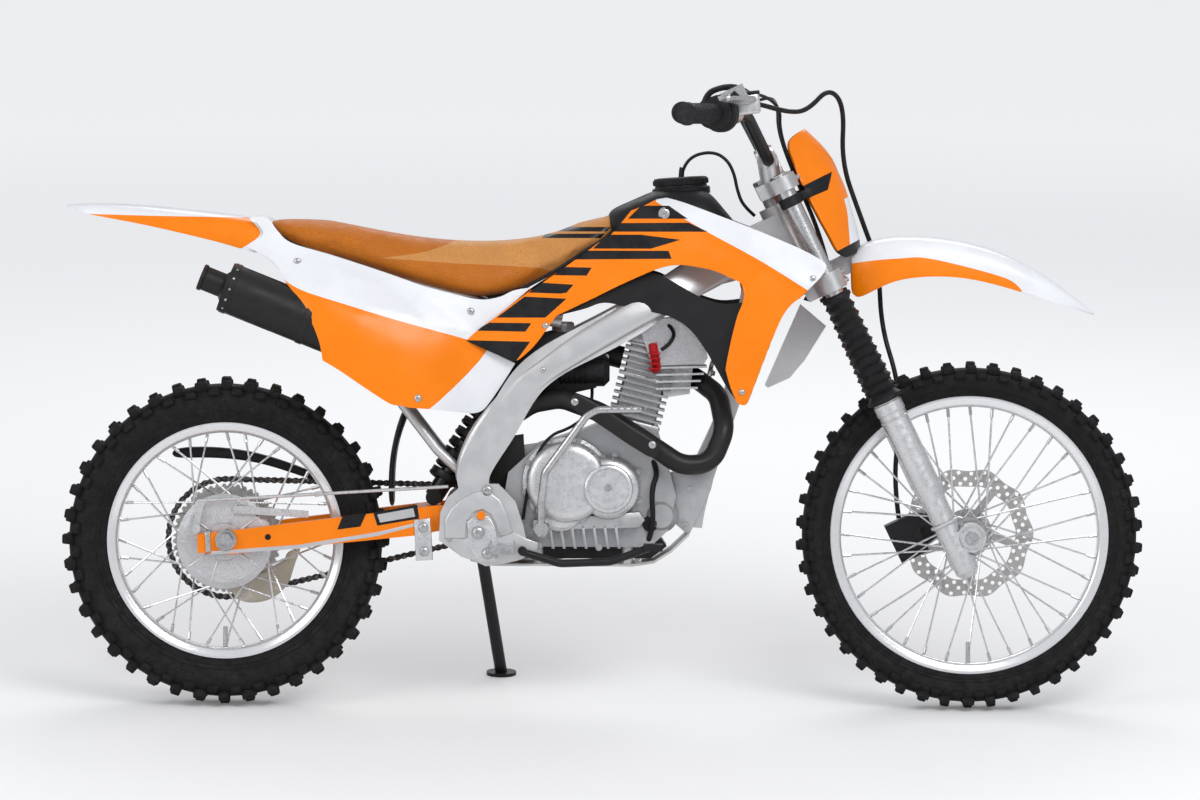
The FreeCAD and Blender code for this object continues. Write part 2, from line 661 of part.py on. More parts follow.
def bar_points():
    """Handlebar's corners on the left side, from the middle outwards."""
    middle = on_fork(size["bar_level"], size["bar_ahead"])
    half = size["bar_half_span"]
    low_corner = middle + LEFT * half * 0.2
    high_corner = on_fork(size["bar_level"] + half * 0.235, size["bar_ahead"] - half * 0.005, half * 0.455)
    end = on_fork(size["bar_level"] + half * 0.35, size["bar_ahead"] - half * 0.245, half)
    return [low_corner, high_corner, end]


def mirrored(points):
    return [V(point.x, -point.y, point.z) for point in points]


def handlebar():
    left = bar_points()
    right = mirrored(left)
    path = bent_path(right[::-1] + left, BAR_BEND)
    finish(shaped("Handlebar", pipe(path, size["bar_dia"] / 2 - fit_gap / 10)), "handlebar")


def along_bar(sign, from_end, out=0.0, up=0.0):
    """Point beside the handlebar's straight end: distance in from its end, ahead and up."""
    corner, end = bar_points()[1:]
    if sign < 0:
        corner, end = mirrored([corner, end])
    inward = (corner - end).normalize()
    return end + inward * from_end + FORK_AHEAD * out + FORK_UP * up


GRIP_FLANGE = 5
END_KNOB = 6


def grips():
    """Both grips, each with an inner flange and an end knob."""
    pieces = []
    bore = size["bar_dia"] / 2
    for side, sign in SIDES.items():
        seat = aimed(along_bar(sign, size["grip_length"]),
                     along_bar(sign, 0) - along_bar(sign, size["grip_length"]))
        rad = size["grip_dia"] / 2
        flange = size["grip_flange_dia"] / 2
        long = size["grip_length"] + END_KNOB
        profile = [(bore, 0), (flange, 0), (flange, GRIP_FLANGE), (rad, GRIP_FLANGE * 2),
                   (rad, long - END_KNOB * 2), (rad * 1.2, long - END_KNOB * 1.6), (rad * 1.15, long),
                   (0, long), (0, long - END_KNOB), (bore, long - END_KNOB)]
        pieces.append(turned_on(f"Grip_{side}", seat, profile))
    finish(fused("Grips", pieces), "grips")


THROTTLE_WIDE = 26
PERCH_IN = 178


def throttle_housing():
    """Round housing of the twist grip, clamped inside the right grip."""
    start = along_bar(-1, size["grip_length"] + 1)
    end = along_bar(-1, size["grip_length"] + THROTTLE_WIDE)
    drum = rod("Throttle_drum", "Sizes.grip_flange_dia * 0.52", start, end)
    spout = rod("Throttle_spout", "Sizes.bar_dia * 0.42", (start + end) * 0.5,
                along_bar(-1, size["grip_length"] + THROTTLE_WIDE / 2, size["grip_flange_dia"] * 0.75,
                          size["grip_flange_dia"] * 0.3))
    bore = rod("Throttle_bore", "Sizes.bar_dia / 2", along_bar(-1, size["grip_length"] - overrun),
               along_bar(-1, size["grip_length"] + THROTTLE_WIDE + overrun))
    finish(cut("Throttle", fused("Throttle_solid", [drum, spout]), [bore]), "throttle_housing")


LEVER_THICK = 8
LEVER_REACH = 56
LEVER_WIDE = 16


def lever(side, name, label):
    """Hand lever with its perch: a bent flat bar in front of the grip."""
    sign = SIDES[side]
    perch_in = PERCH_IN
    start = along_bar(sign, perch_in + 16)
    end = along_bar(sign, perch_in - 16)
    collar = rod(f"{name}_collar", "Sizes.bar_dia * 0.85", start, end)
    arm = rod(f"{name}_arm", "Sizes.bar_dia * 0.42", along_bar(sign, perch_in),
              along_bar(sign, perch_in, LEVER_REACH * 0.9))
    bore = rod(f"{name}_bore", "Sizes.bar_dia / 2", along_bar(sign, perch_in + 30),
               along_bar(sign, perch_in - 30))
    stations = [(perch_in + 8, LEVER_REACH * 0.72), (perch_in - 28, LEVER_REACH * 0.98),
                (perch_in - 70, LEVER_REACH), (size["grip_length"] * 0.3, LEVER_REACH * 1.05),
                (size["grip_length"] * 0.02, LEVER_REACH * 1.15)]
    rings = []
    for from_end, out in stations:
        middle = along_bar(sign, from_end, out)
        half_up = FORK_UP * LEVER_THICK / 2
        half_out = FORK_AHEAD * LEVER_WIDE / 2 * (0.6 if from_end < size["grip_length"] * 0.4 else 1)
        ring = [middle - half_up - half_out, middle - half_up + half_out,
                middle + half_up + half_out, middle + half_up - half_out]
        rings.append(Part.makePolygon(ring + ring[:1]))
    blade = shaped(f"{name}_blade", Part.makeLoft(rings, True, True))
    pieces = [collar, arm, blade]
    if side == "right":
        pieces.append(block(f"{name}_reservoir", V(-size["bar_dia"] * 0.2, -RESERVOIR_LONG / 2,
                                                   size["bar_dia"] * 0.45),
                            (RESERVOIR_WIDE, RESERVOIR_LONG, RESERVOIR_TALL),
                            fork_seat_at(along_bar(sign, perch_in + 4))))
    finish(cut(name, fused(f"{name}_solid", pieces), [bore]), label)


RESERVOIR_LONG = 54
RESERVOIR_WIDE = 44
RESERVOIR_TALL = 30


def fork_seat_at(point):
    """Placement at a point with the fork's own slant."""
    return FreeCAD.Placement(point, FreeCAD.Rotation(FORK_AHEAD, LEFT, FORK_UP, "XYZ"))


def fender_box():
    return size["fender_tail"], size["fender_low"], size["fender_length"], size["fender_rise"]


FENDER_CREST_SHARES = [(0.02, 0.80), (0.14, 0.97), (0.28, 1.0), (0.42, 0.96), (0.56, 0.88),
                       (0.71, 0.69), (0.87, 0.40), (1.0, 0.02)]
FENDER_EDGE_SHARES = [(0.045, 0.28), (0.12, 0.26), (0.24, 0.44), (0.37, 0.52), (0.54, 0.45),
                      (0.70, 0.32), (0.86, 0.13), (0.985, 0.0)]
FENDER_HALF_SHARES = [0.72, 0.95, 1.0, 1.0, 0.97, 0.9, 0.74, 0.3]
FENDER_ARCH_SHARES = [(-1.0, 0.0), (-0.93, 0.5), (-0.6, 0.93), (0.0, 1.0), (0.6, 0.93), (0.93, 0.5), (1.0, 0.0)]


def arch_ring(crest, edge, half, wall):
    """Closed thin arch across the bike between a crest point and an edge level."""
    rise = (crest - edge)
    outer = [edge + rise * up + LEFT * (half * across) for across, up in FENDER_ARCH_SHARES]
    inward = rise.normalize() * -wall
    inner = [point + inward + LEFT * (-wall if point.y > 0 else wall if point.y < 0 else 0)
             for point in outer]
    inner[0] = outer[0] + LEFT * wall
    inner[-1] = outer[-1] - LEFT * wall
    ring = outer + inner[::-1]
    return Part.makePolygon(ring + ring[:1])


def front_fender():
    """High front fender: an arched skin that narrows to its tip, under the bottom clamp."""
    crest = scaled(fender_box(), FENDER_CREST_SHARES)
    edge = scaled(fender_box(), FENDER_EDGE_SHARES)
    rings = []
    for (x_top, z_top), (x_low, z_low), share in zip(crest, edge, FENDER_HALF_SHARES):
        rings.append(arch_ring(V(x_top, 0, z_top), V(x_low, 0, z_low), size["fender_half"] * share, skin))
    finish(shaped("FrontFender", Part.makeLoft(rings, True, True)), "front_fender")


PLATE_TOP = 783
PLATE_LOW = 566
PLATE_HALF = 92
PLATE_FRONT = 58
PLATE_DEPTH = 46
STRAP_LEVEL = 670
STRAP_TALL = 18
STRAP_WALL = 4
STRAP_IN = 0.89
PLATE_LEVELS = [(0.0, 0.52, 0.42, 0.9), (0.25, 0.72, 0.6, 1.0), (0.55, 0.92, 0.9, 1.0),
                (0.84, 1.0, 0.95, 0.9), (1.0, 0.62, 0.3, 0.55)]


def number_plate():
    """Front number plate: a curved shield ahead of the fork's clamps."""
    rings = []
    for level, wide, depth, front in PLATE_LEVELS:
        along = PLATE_LOW + (PLATE_TOP - PLATE_LOW) * level
        half = PLATE_HALF * wide
        ahead = PLATE_FRONT * front
        back = ahead - PLATE_DEPTH * depth
        outer = [(back, -half), (ahead - skin, -half * 0.62), (ahead, 0), (ahead - skin, half * 0.62),
                 (back, half)]
        inner = [(back, half - skin), (ahead - 2 * skin, half * 0.58), (ahead - skin, 0),
                 (ahead - 2 * skin, -half * 0.58), (back, -half + skin)]
        ring = [on_fork(along, v, y) for v, y in outer + inner]
        rings.append(Part.makePolygon(ring + ring[:1]))
    pieces = [shaped("Plate_shell", Part.makeLoft(rings, True, True))]
    bores = []
    for side, sign in SIDES.items():
        across = sign * HALF_SPREAD
        pieces.append(rod(f"Plate_strap_{side}", f"Sizes.fork_tube_dia / 2 + {STRAP_WALL}",
                          on_fork(STRAP_LEVEL, LEG_AHEAD, across),
                          on_fork(STRAP_LEVEL + STRAP_TALL, LEG_AHEAD, across)))
        pieces.append(beam(f"Plate_arm_{side}",
                           [(on_fork(STRAP_LEVEL + STRAP_TALL / 2, LEG_AHEAD, across * STRAP_IN), STRAP_TALL, STRAP_WALL),
                            (on_fork(STRAP_LEVEL + STRAP_TALL / 2, PLATE_FRONT * 0.45, across * STRAP_IN),
                             STRAP_TALL, STRAP_WALL)], True))
        bores.append(rod(f"Plate_strap_bore_{side}", "Sizes.fork_tube_dia / 2 + Sizes.fit_gap",
                         on_fork(STRAP_LEVEL - overrun, LEG_AHEAD, across),
                         on_fork(STRAP_LEVEL + STRAP_TALL + overrun, LEG_AHEAD, across)))
    finish(cut("NumberPlate", fused("Plate_solid", pieces), bores), "number_plate")


HOSE_RAD = 4
HOSE_BEND = 40


def brake_hose():
    """Front brake's hose: over the number plate, down behind it and along the left leg."""
    start = along_bar(-1, PERCH_IN + 4, RESERVOIR_WIDE * 0.4, RESERVOIR_TALL * 0.8)
    start += LEFT * (RESERVOIR_LONG / 2 + fit_gap)
    points = [start, start + LEFT * HOSE_BEND * 0.6, on_fork(836, 14, -118), on_fork(812, 62, -92), on_fork(828, 112, -50),
              on_fork(790, 124, -12), on_fork(700, 78, 30), on_fork(600, 70, 52),
              on_fork(500, 62, 96), on_fork(400, 20, 84), on_fork(300, 6, 62), on_fork(220, -32, 55),
              on_fork(140, -78, 58), on_fork(77, -100, 62)]
    path = bent_path(points, HOSE_BEND)
    finish(shaped("BrakeHose", pipe(path, HOSE_RAD)), "brake_hose")


CALIPER_SLOT = 3


def caliper():
    """Brake caliper behind the left leg, open over the disc."""
    inner = size["disc_left"] - 14
    outer = HALF_SPREAD - size["slider_dia"] / 2 + 20
    seat = fork_seat(0, 0, 0)
    disc = size["disc_rad"]
    bridge = block("Caliper_bridge", V(-disc - 12, inner, disc * 0.02), (disc * 0.46, outer - inner, disc * 0.62),
                   seat)
    neck = size["slider_dia"] / 2 * SLIDER_NECK_SHARE
    leg_back = LEG_AHEAD - math.sqrt(neck ** 2 - (HALF_SPREAD - outer + 2) ** 2) - fit_gap
    arm = block("Caliper_arm", V(leg_back - disc * 0.36, outer - 14, disc * 0.1),
                (disc * 0.36, 12, disc * 0.45), seat)
    rim_room = rod("Caliper_room", f"Sizes.disc_rad + {CALIPER_SLOT}",
                   FRONT_AXLE + LEFT * (size["disc_left"] - CALIPER_SLOT),
                   FRONT_AXLE + LEFT * (size["disc_left"] + size["disc_thick"] + CALIPER_SLOT))
    finish(cut("Caliper", fused("Caliper_solid", [bridge, arm]), [rim_room]), "front_caliper")


HEAD_LOW = 552
HEAD_TALL = 132
GUSSET_LOW = 578
GUSSET_TALL = 90
GUSSET_BACK = 78
GUSSET_HALF = 36
SPAR_STATIONS = [(740, 72, 707, 1.0), (640, 92, 652, 1.0), (545, 100, 590, 1.0), (489, 103, 500, 1.0),
                 (451, 103, 436, 0.95), (448, 103, 392, 0.95)]
PIVOT_SHARES = [(-1.45, 0.1), (-1.2, 0.62), (-0.62, 1.12), (0.6, 1.12), (1.22, 0.5), (1.5, -0.35),
                (1.72, -1.35), (0.2, -1.6), (-0.85, -1.36), (-1.5, -0.9)]
PIVOT_ROUND = 50


DOWN_STATIONS = [(915, 590, 36, 44), (866, 452, 40, 48), (842, 380, 44, 52), (838, 322, 30, 56)]


MOUNT_POINTS = [(838, 330), (795.6, 330), (806.8, 380), (801.6, 400), (838, 400)]


def headstock():
    """Steering head, the gusset that the spars meet, and the single down tube."""
    head = rod("Head_tube", "Sizes.headstock_dia / 2", on_fork(HEAD_LOW, STEM_AHEAD),
               on_fork(HEAD_LOW + HEAD_TALL, STEM_AHEAD))
    gusset = block("Head_gusset", V(STEM_AHEAD - GUSSET_BACK, -GUSSET_HALF, 0),
                   (GUSSET_BACK, 2 * GUSSET_HALF, GUSSET_TALL), fork_seat(GUSSET_LOW, 0, 0))
    bore = rod("Head_bore", "Sizes.stem_dia / 2 + Sizes.fit_gap", on_fork(HEAD_LOW - overrun, STEM_AHEAD),
               on_fork(HEAD_LOW + HEAD_TALL + overrun, STEM_AHEAD))
    start = on_fork(GUSSET_LOW + 10, STEM_AHEAD - GUSSET_BACK * 0.79)
    stations = [(start, 32, 40)]
    stations += [(V(x, 0, z), tall, wide) for x, z, tall, wide in DOWN_STATIONS]
    down = beam("DownTube", stations)
    mount = plate("Engine_mount", corners(MOUNT_POINTS), "24", "48")
    finish(cut("Headstock", fused("Head_solid", [head, gusset, down, mount]), [bore]), "steering_head")


def spar(side):
    """Frame spar, swept down from the steering head into the pivot casting."""
    sign = SIDES[side]
    tall, thick = size["spar_height"], size["spar_thick"]
    start = on_fork(GUSSET_LOW + GUSSET_TALL * 0.5, STEM_AHEAD - GUSSET_BACK - fit_gap, sign * 21)
    lead = on_fork(GUSSET_LOW + GUSSET_TALL * 0.5, STEM_AHEAD - GUSSET_BACK * 1.9, sign * 27)
    stations = [(start, tall * 0.84, thick * 0.95), (lead, tall * 0.8, thick * 0.95)]
    for x, y, z, share in SPAR_STATIONS:
        stations.append((V(x, sign * y, z), tall * share, thick))
    run = beam(f"Spar_{side}_run", stations)
    pivot = [(size["pivot_ahead"] + across * PIVOT_ROUND, size["pivot_level"] + up * PIVOT_ROUND)
             for across, up in PIVOT_SHARES]
    out_to = "Sizes.spar_inner + Sizes.spar_thick" if sign < 0 else "-Sizes.spar_inner"
    casting = plate(f"Spar_{side}_casting", corners(pivot), out_to, "Sizes.spar_thick")
    across = V(size["pivot_ahead"], 0, size["pivot_level"])
    bore = rod(f"Spar_{side}_bore", "Sizes.rear_axle_dia / 2 + Sizes.fit_gap",
               across + LEFT * sign * (size["spar_inner"] - overrun),
               across + LEFT * sign * (size["spar_inner"] + thick + overrun))
    extra = []
    if side == "left":
        extra = [stand_boss(), rod("Shock_bar", "11", SHOCK_BAR - LEFT * 85.2, SHOCK_BAR + LEFT * 100)]
    finish(cut(f"Spar_{side}", fused(f"Spar_{side}_solid", [run, casting] + extra), [bore]),
           f"frame_spar_{side}")


def skid_box():
    return size["skid_tail"], size["skid_low"], size["skid_length"], size["skid_rise"]


SKID_SHARES = [(0.0, 0.13), (0.1, 0.0), (0.74, 0.0), (0.84, 0.1), (0.92, 0.42), (1.0, 0.9)]


SKID_POSTS = [560, 720]


def skid_plate():
    """Skid plate under the engine, turned up at its front."""
    low = scaled(skid_box(), SKID_SHARES)
    high = [(x - skin * 0.3, z + skin) for x, z in low]
    pieces = [plate("SkidPlate_sheet", corners(low + high[::-1]), "Sizes.skid_half", "2 * Sizes.skid_half")]
    for side, sign in SIDES.items():
        for ahead in SKID_POSTS:
            seat = V(ahead, sign * size["engine_half"] * 0.7, size["skid_low"] + skin / 2)
            pieces.append(rod(f"Skid_post_{side}_{ahead}", "10", seat, V(seat.x, seat.y, 288 - fit_gap)))
    finish(fused("SkidPlate", pieces), "skid_plate")


RAIL_HALF = 66
RAIL_TUBE = 24
RAIL_STATIONS = [(600, 74, 690), (470, 70, 715), (300, 66, 759), (208, 66, 789), (60, 60, 832), (-70, 56, 856)]
STRUT_STATIONS = [(424, 78, 420), (380, 78, 460), (318, 75, 540), (230, 68, 660), (120, 62, 806)]


def subframe():
    """Seat rails and their struts, welded up from tube."""
    pieces = []
    for side, sign in SIDES.items():
        rail = [V(x, sign * y, z) for x, y, z in RAIL_STATIONS]
        strut = [V(x, sign * y, z) for x, y, z in STRUT_STATIONS]
        pieces.append(shaped(f"Rail_{side}", pipe(bent_path(rail, 60), RAIL_TUBE / 2)))
        pieces.append(shaped(f"Strut_{side}", pipe(bent_path(strut, 60), RAIL_TUBE / 2 * 0.75)))
    for number, (x, y, z) in enumerate(RAIL_STATIONS[1::2]):
        pieces.append(rod(f"Rail_cross_{number}", str(RAIL_TUBE / 2 * 0.8), V(x, -y, z), V(x, y, z)))
    finish(fused("Subframe", pieces), "subframe")


def swingarm():
    """Swingarm: two tapered beams, the pivot tube and a cross member ahead of the tyre."""
    inner, thick, tall = size["arm_inner"], size["arm_thick"], size["arm_height"]
    pivot = V(size["pivot_ahead"], 0, size["pivot_level"])
    pieces = []
    for side, sign in SIDES.items():
        y = sign * (inner + thick / 2)
        stations = [(V(-46, y, REAR_AXLE.z - 2), tall * 0.72, thick * 0.8),
                    (V(10, y, REAR_AXLE.z), tall * 0.9, thick),
                    (V(size["pivot_ahead"] * 0.5, y, REAR_AXLE.z + 26), tall, thick),
                    (V(size["pivot_ahead"] * 0.76, y, REAR_AXLE.z + 40), tall * 1.05, thick),
                    (V(size["pivot_ahead"] * 0.82, sign * (inner + 8), REAR_AXLE.z + 45), tall, 16),
                    (V(size["pivot_ahead"] + 16, sign * (inner + 8), size["pivot_level"]), tall * 0.9, 16)]
        pieces.append(beam(f"Arm_{side}", stations, True))
    tube = rod("Arm_tube", "Sizes.arm_height * 0.38", pivot - LEFT * (size["spar_inner"] - fit_gap),
               pivot + LEFT * (size["spar_inner"] - fit_gap))
    cross = block("Arm_cross", V(340, -inner - 2, 322), (44, 2 * inner + 4, 36))
    bolt = rod("Arm_bolt", "Sizes.rear_axle_dia / 2",
               pivot - LEFT * (size["spar_inner"] + size["spar_thick"] + 8),
               pivot + LEFT * (size["spar_inner"] + size["spar_thick"] + 8))
    bore = rod("Arm_axle_bore", "Sizes.rear_axle_dia / 2", REAR_AXLE - LEFT * inner * 2,
               REAR_AXLE + LEFT * inner * 2)
    finish(cut("Swingarm", fused("Swingarm_solid", pieces + [tube, cross, bolt]), [bore]), "swingarm")


def rear_axle():
    """Rear axle with its nuts and spacers."""
    out = size["arm_inner"] + size["arm_thick"]
    pieces = [rod("RearAxle_shaft", "Sizes.rear_axle_dia / 2 - Sizes.fit_gap / 10",
                  REAR_AXLE - LEFT * (out + 14), REAR_AXLE + LEFT * (out + 14))]
    for side, sign in SIDES.items():
        pieces.append(rod(f"RearAxle_nut_{side}", "Sizes.rear_axle_dia * 0.85",
                          REAR_AXLE + LEFT * sign * (out + fit_gap), REAR_AXLE + LEFT * sign * (out + 10)))
        inner = size["chain_left"] + size["sprocket_thick"] / 2 + 3 if sign > 0 else (
            size["drum_right"] + size["drum_thick"] + fit_gap)
        pieces.append(rod(f"RearAxle_spacer_{side}", "Sizes.rear_axle_dia * 0.75",
                          REAR_AXLE + LEFT * sign * inner,
                          REAR_AXLE + LEFT * sign * (size["arm_inner"] - fit_gap)))
    finish(fused("RearAxle", pieces), "rear_axle")


def brake_panel():
    """Rear drum brake's backing plate, with its arm and pull rod."""
    rad = size["drum_rad"]
    inner = -size["drum_right"]
    outer = inner - size["drum_thick"]
    bore = size["rear_axle_dia"] / 2
    profile = [(bore, inner), (rad, inner), (rad, inner - size["drum_thick"] * 0.4),
               (rad * 0.86, outer), (bore, outer)]
    disc = turned("BrakePanel_disc", profile)
    disc.Placement = at(REAR_AXLE)
    cam = V(-52, outer - 2, REAR_AXLE.z + 20)
    arm_end = V(-40, outer - 12, REAR_AXLE.z + 74)
    pieces = [disc,
              rod("BrakePanel_cam", "8", V(cam.x, inner - 4, cam.z), V(cam.x, outer - 17, cam.z)),
              beam("BrakePanel_arm", [(V(cam.x, outer - 12, cam.z), 12, 6), (arm_end, 12, 6)], True),
              rod("BrakePanel_rod", "3", arm_end + V(-8, -1, -1), V(400, outer - 38, 396)),
              beam("BrakePanel_stay", [(V(16, outer - 3, REAR_AXLE.z + 58), 14, 8),
                                       (V(150, outer - 3, REAR_AXLE.z + 50), 12, 8)], True)]
    finish(fused("BrakePanel", pieces), "rear_brake_panel")


CHAIN_SPROCKET = V(525, 0, 352)


def chain():
    """Drive chain as one fixed loop round both sprockets."""
    tall = size["chain_height"]
    big = size["sprocket_rad"] + size["chain_gap"]
    small = size["front_sprocket_rad"] + fit_gap
    rear, front = V(0, REAR_AXLE.z, 0), V(CHAIN_SPROCKET.x, CHAIN_SPROCKET.z, 0)
    run = front - rear
    slope = math.atan2(run.y, run.x)
    spread = math.acos((big - small) / run.Length)

    def loop(grow):
        def on(centre, rad, turn):
            return centre + V(math.cos(slope + turn), math.sin(slope + turn), 0) * (rad + grow)
        return [Part.Arc(on(rear, big, spread), on(rear, big, math.pi), on(rear, big, -spread)),
                Part.LineSegment(on(rear, big, -spread), on(front, small, -spread)),
                Part.Arc(on(front, small, -spread), on(front, small, 0), on(front, small, spread)),
                Part.LineSegment(on(front, small, spread), on(rear, big, spread))]
    finish(plate("Chain", loop(tall) + loop(0), "-Sizes.chain_left + Sizes.chain_width / 2",
                 "Sizes.chain_width"), "drive_chain")


CASE_LOW_POINTS = [(500, 310), (524, 288), (760, 288), (792, 318), (806, 380), (790, 440)]
CASE_TOP_POINTS = [(640, 496), (560, 470), (506, 420), (496, 360)]
CASE_LUG_POINTS = [(466, 434), (470, 456), (560, 470), (506, 420)]
MOUNT_BOLT = V(479, 0, 445)
BARREL_DECK = 24


LUG_HALF = 28
KICK_SHAFT = V(566, 0, 322)
KICK_BOSS = 38


def cylinder_seat():
    """Placement of the cylinder's foot: its own Z runs up the cylinder."""
    return FreeCAD.Placement(BARREL_FOOT, FreeCAD.Rotation(LEFT, size["cylinder_lean"]))


def engine():
    """Crankcase, its two side covers, and the engine sprocket's shaft."""
    half = size["engine_half"]
    deck = [cylinder_seat().multVec(V(ahead * size["bore_block"] / 2, 0, BARREL_DECK)) for ahead in (1, -1)]
    outline = CASE_LOW_POINTS + [(point.x, point.z) for point in deck] + CASE_TOP_POINTS
    case = plate("Case", corners(outline), "Sizes.engine_half", "2 * Sizes.engine_half")
    lug = plate("Case_lug", corners(CASE_LUG_POINTS), str(LUG_HALF), str(2 * LUG_HALF))
    reach = LEFT * (size["spar_inner"] - fit_gap)
    bolt = rod("Case_bolt", "9", MOUNT_BOLT - reach, MOUNT_BOLT + reach)
    shaft = rod("Case_shaft", "11", V(CHAIN_SPROCKET.x, 30, CHAIN_SPROCKET.z),
                V(CHAIN_SPROCKET.x, size["chain_left"] + 8, CHAIN_SPROCKET.z))
    room = rod("Case_room", str(size["front_sprocket_rad"] + 28),
               V(CHAIN_SPROCKET.x, size["chain_left"] - 12, CHAIN_SPROCKET.z),
               V(CHAIN_SPROCKET.x, half + overrun, CHAIN_SPROCKET.z))
    hollow = cut("Case_open", case, [room])
    pinion = rod("Case_pinion", "Sizes.front_sprocket_rad", V(CHAIN_SPROCKET.x, 54, CHAIN_SPROCKET.z),
                 V(CHAIN_SPROCKET.x, 60, CHAIN_SPROCKET.z))
    finish(fused("Crankcase", [hollow, shaft, pinion, lug, bolt]), "crankcase")
    centre = V(size["engine_ahead"], 0, size["engine_level"])
    big = size["clutch_rad"]
    clutch = rod("Clutch_round", "Sizes.clutch_rad", centre - LEFT * (half + fit_gap),
                 centre - LEFT * (half + 46))
    front = centre + V(big * 0.94, 0, -big * 0.14)
    nose = rod("Clutch_nose", "Sizes.clutch_rad * 0.72", front - LEFT * (half + fit_gap),
               front - LEFT * (half + 40))
    cap = rod("Clutch_cap", "Sizes.clutch_rad * 0.55", front - LEFT * (half + 36), front - LEFT * (half + 54))
    low = rod("Clutch_low", "Sizes.clutch_rad * 0.6", centre + V(-big * 0.15, -half - fit_gap, -big * 0.55),
              centre + V(-big * 0.15, -half - 34, -big * 0.55))
    kick_seat = KICK_SHAFT - LEFT * (half + fit_gap)
    kick_boss = rod("Clutch_kick", "20", kick_seat, kick_seat - LEFT * KICK_BOSS)
    finish(fused("ClutchCover", [clutch, nose, cap, low, kick_boss]), "clutch_cover")
    rotor = centre + V(big * 0.75, half + fit_gap, -big * 0.1)
    generator = rod("Generator_round", "Sizes.clutch_rad * 0.8", rotor, rotor + LEFT * 36)
    dome = rod("Generator_dome", "Sizes.clutch_rad * 0.5", rotor + LEFT * 30, rotor + LEFT * 44)
    finish(fused("GeneratorCover", [generator, dome]), "generator_cover")


FIN_PITCH = 12
FIN_THICK = 4
BARREL_FINS = 7
HEAD_FINS = 5
BARREL_FOOT = V(722, 0, 478)
BARREL_WIDE = 78


def head_base():
    """Where the cylinder head starts, up the cylinder from its foot."""
    return BARREL_DECK + BARREL_FINS * FIN_PITCH + 2 * fit_gap


def head_port(ahead):
    """Point up the cylinder at its ports' level, and the given distance ahead of its axis."""
    return cylinder_seat().multVec(V(ahead, 0, head_base() + PORT_RISE))


PORT_RISE = 30


def engine_top():
    """Finned barrel and head, leaning forward from the crankcase."""
    seat = cylinder_seat()
    block_half = size["bore_block"] / 2
    barrel_tall = BARREL_FINS * FIN_PITCH
    pieces = [block("Barrel_core", V(-block_half * 0.7, -BARREL_WIDE / 2 * 0.8, BARREL_DECK + fit_gap),
                    (block_half * 1.4, BARREL_WIDE * 0.8, barrel_tall), seat)]
    for fin in range(BARREL_FINS):
        pieces.append(block(f"Barrel_fin_{fin}", V(-block_half, -BARREL_WIDE / 2, 28 + fin * FIN_PITCH),
                            (2 * block_half, BARREL_WIDE, FIN_THICK), seat))
    finish(fused("Barrel", pieces), "cylinder_barrel")
    base = head_base()
    pieces = [block("Head_core", V(-block_half * 0.78, -BARREL_WIDE * 0.42, base),
                    (block_half * 1.56, BARREL_WIDE * 0.84, HEAD_FINS * FIN_PITCH), seat)]
    for fin in range(HEAD_FINS):
        pieces.append(block(f"Head_fin_{fin}", V(-block_half, -BARREL_WIDE / 2, base + 3 + fin * FIN_PITCH),
                            (2 * block_half, BARREL_WIDE, FIN_THICK), seat))
    top = base + HEAD_FINS * FIN_PITCH
    pieces.append(block("Head_cover", V(-block_half * 0.86, -BARREL_WIDE * 0.44, top - 1),
                        (block_half * 1.72, BARREL_WIDE * 0.88, 24), seat))
    finish(fused("Head", pieces), "cylinder_head")
    plug = seat.multVec(V(block_half * 0.25, -BARREL_WIDE / 2 - 6 * fit_gap, base + 26))
    bend = plug + V(4, -26, 2)
    cap_end = bend + V(-8, -10, 44)
    path = bent_path([plug, bend, cap_end], 12)
    finish(shaped("PlugCap", pipe(path, 8)), "spark_plug_cap")


CARBURETTOR_LEVEL = 632
AIRBOX_FRONT = 517
AIRBOX_TAIL = 400


def intake():
    """Carburettor with its rubbers, and the airbox behind it."""
    port = head_port(-size["bore_block"] / 2 - fit_gap)
    joint = head_port(-size["bore_block"] / 2 - 30)
    body = V(joint.x + 6, 0, CARBURETTOR_LEVEL)
    back = V(586, 0, CARBURETTOR_LEVEL + 2)
    bowl = (body + back) * 0.5
    pieces = [rod("Intake_rubber", "20", port, joint),
              rod("Carburettor_body", "25", body, back),
              rod("Carburettor_bowl", "21", bowl, bowl - UP * 58),
              rod("Intake_boot", "24", back, V(AIRBOX_FRONT, 0, back.z)),
              block("Airbox", V(AIRBOX_TAIL, -54, 596), (AIRBOX_FRONT - AIRBOX_TAIL, 108, 100)),
              block("Airbox_lug", V(458, -24, 690), (26, 48, 15.2))]
    finish(fused("Intake", pieces), "carburettor_and_airbox")


SHOCK_LOW = V(372, 0, 372.4)
SHOCK_HIGH = V(493.6, 0, 565.8)
SHOCK_BAR = V(516, 0, 578)


def shock():
    """Rear shock: spring and damper between the frame and the swingarm."""
    low, high = SHOCK_LOW, SHOCK_HIGH
    run = (high - low).normalize()
    pieces = [rod("Shock_body", "17", low, high)]
    coils = 7
    for coil in range(coils):
        start = low + run * (40 + coil * 21)
        pieces.append(rod(f"Shock_coil_{coil}", "31", start, start + run * 10))
    pieces.append(rod("Shock_eye", "14", low - LEFT * 18, low + LEFT * 18))
    pieces.append(rod("Shock_top", "14", high - LEFT * 18, high + LEFT * 18))
    finish(fused("Shock", pieces), "rear_shock")


HEADER_POINTS = [(880, -46, 560), (892, -84, 500), (868, -96, 440), (815, -100, 436),
                 (740, -104, 486), (669, -98, 530), (600, -72, 554), (548, -64, 544), (512, -62, 520),
                 (462, -66, 530), (420, -84, 560)]
MUFFLER_TAIL = V(3, 0, 750)
MUFFLER_NECK = 42


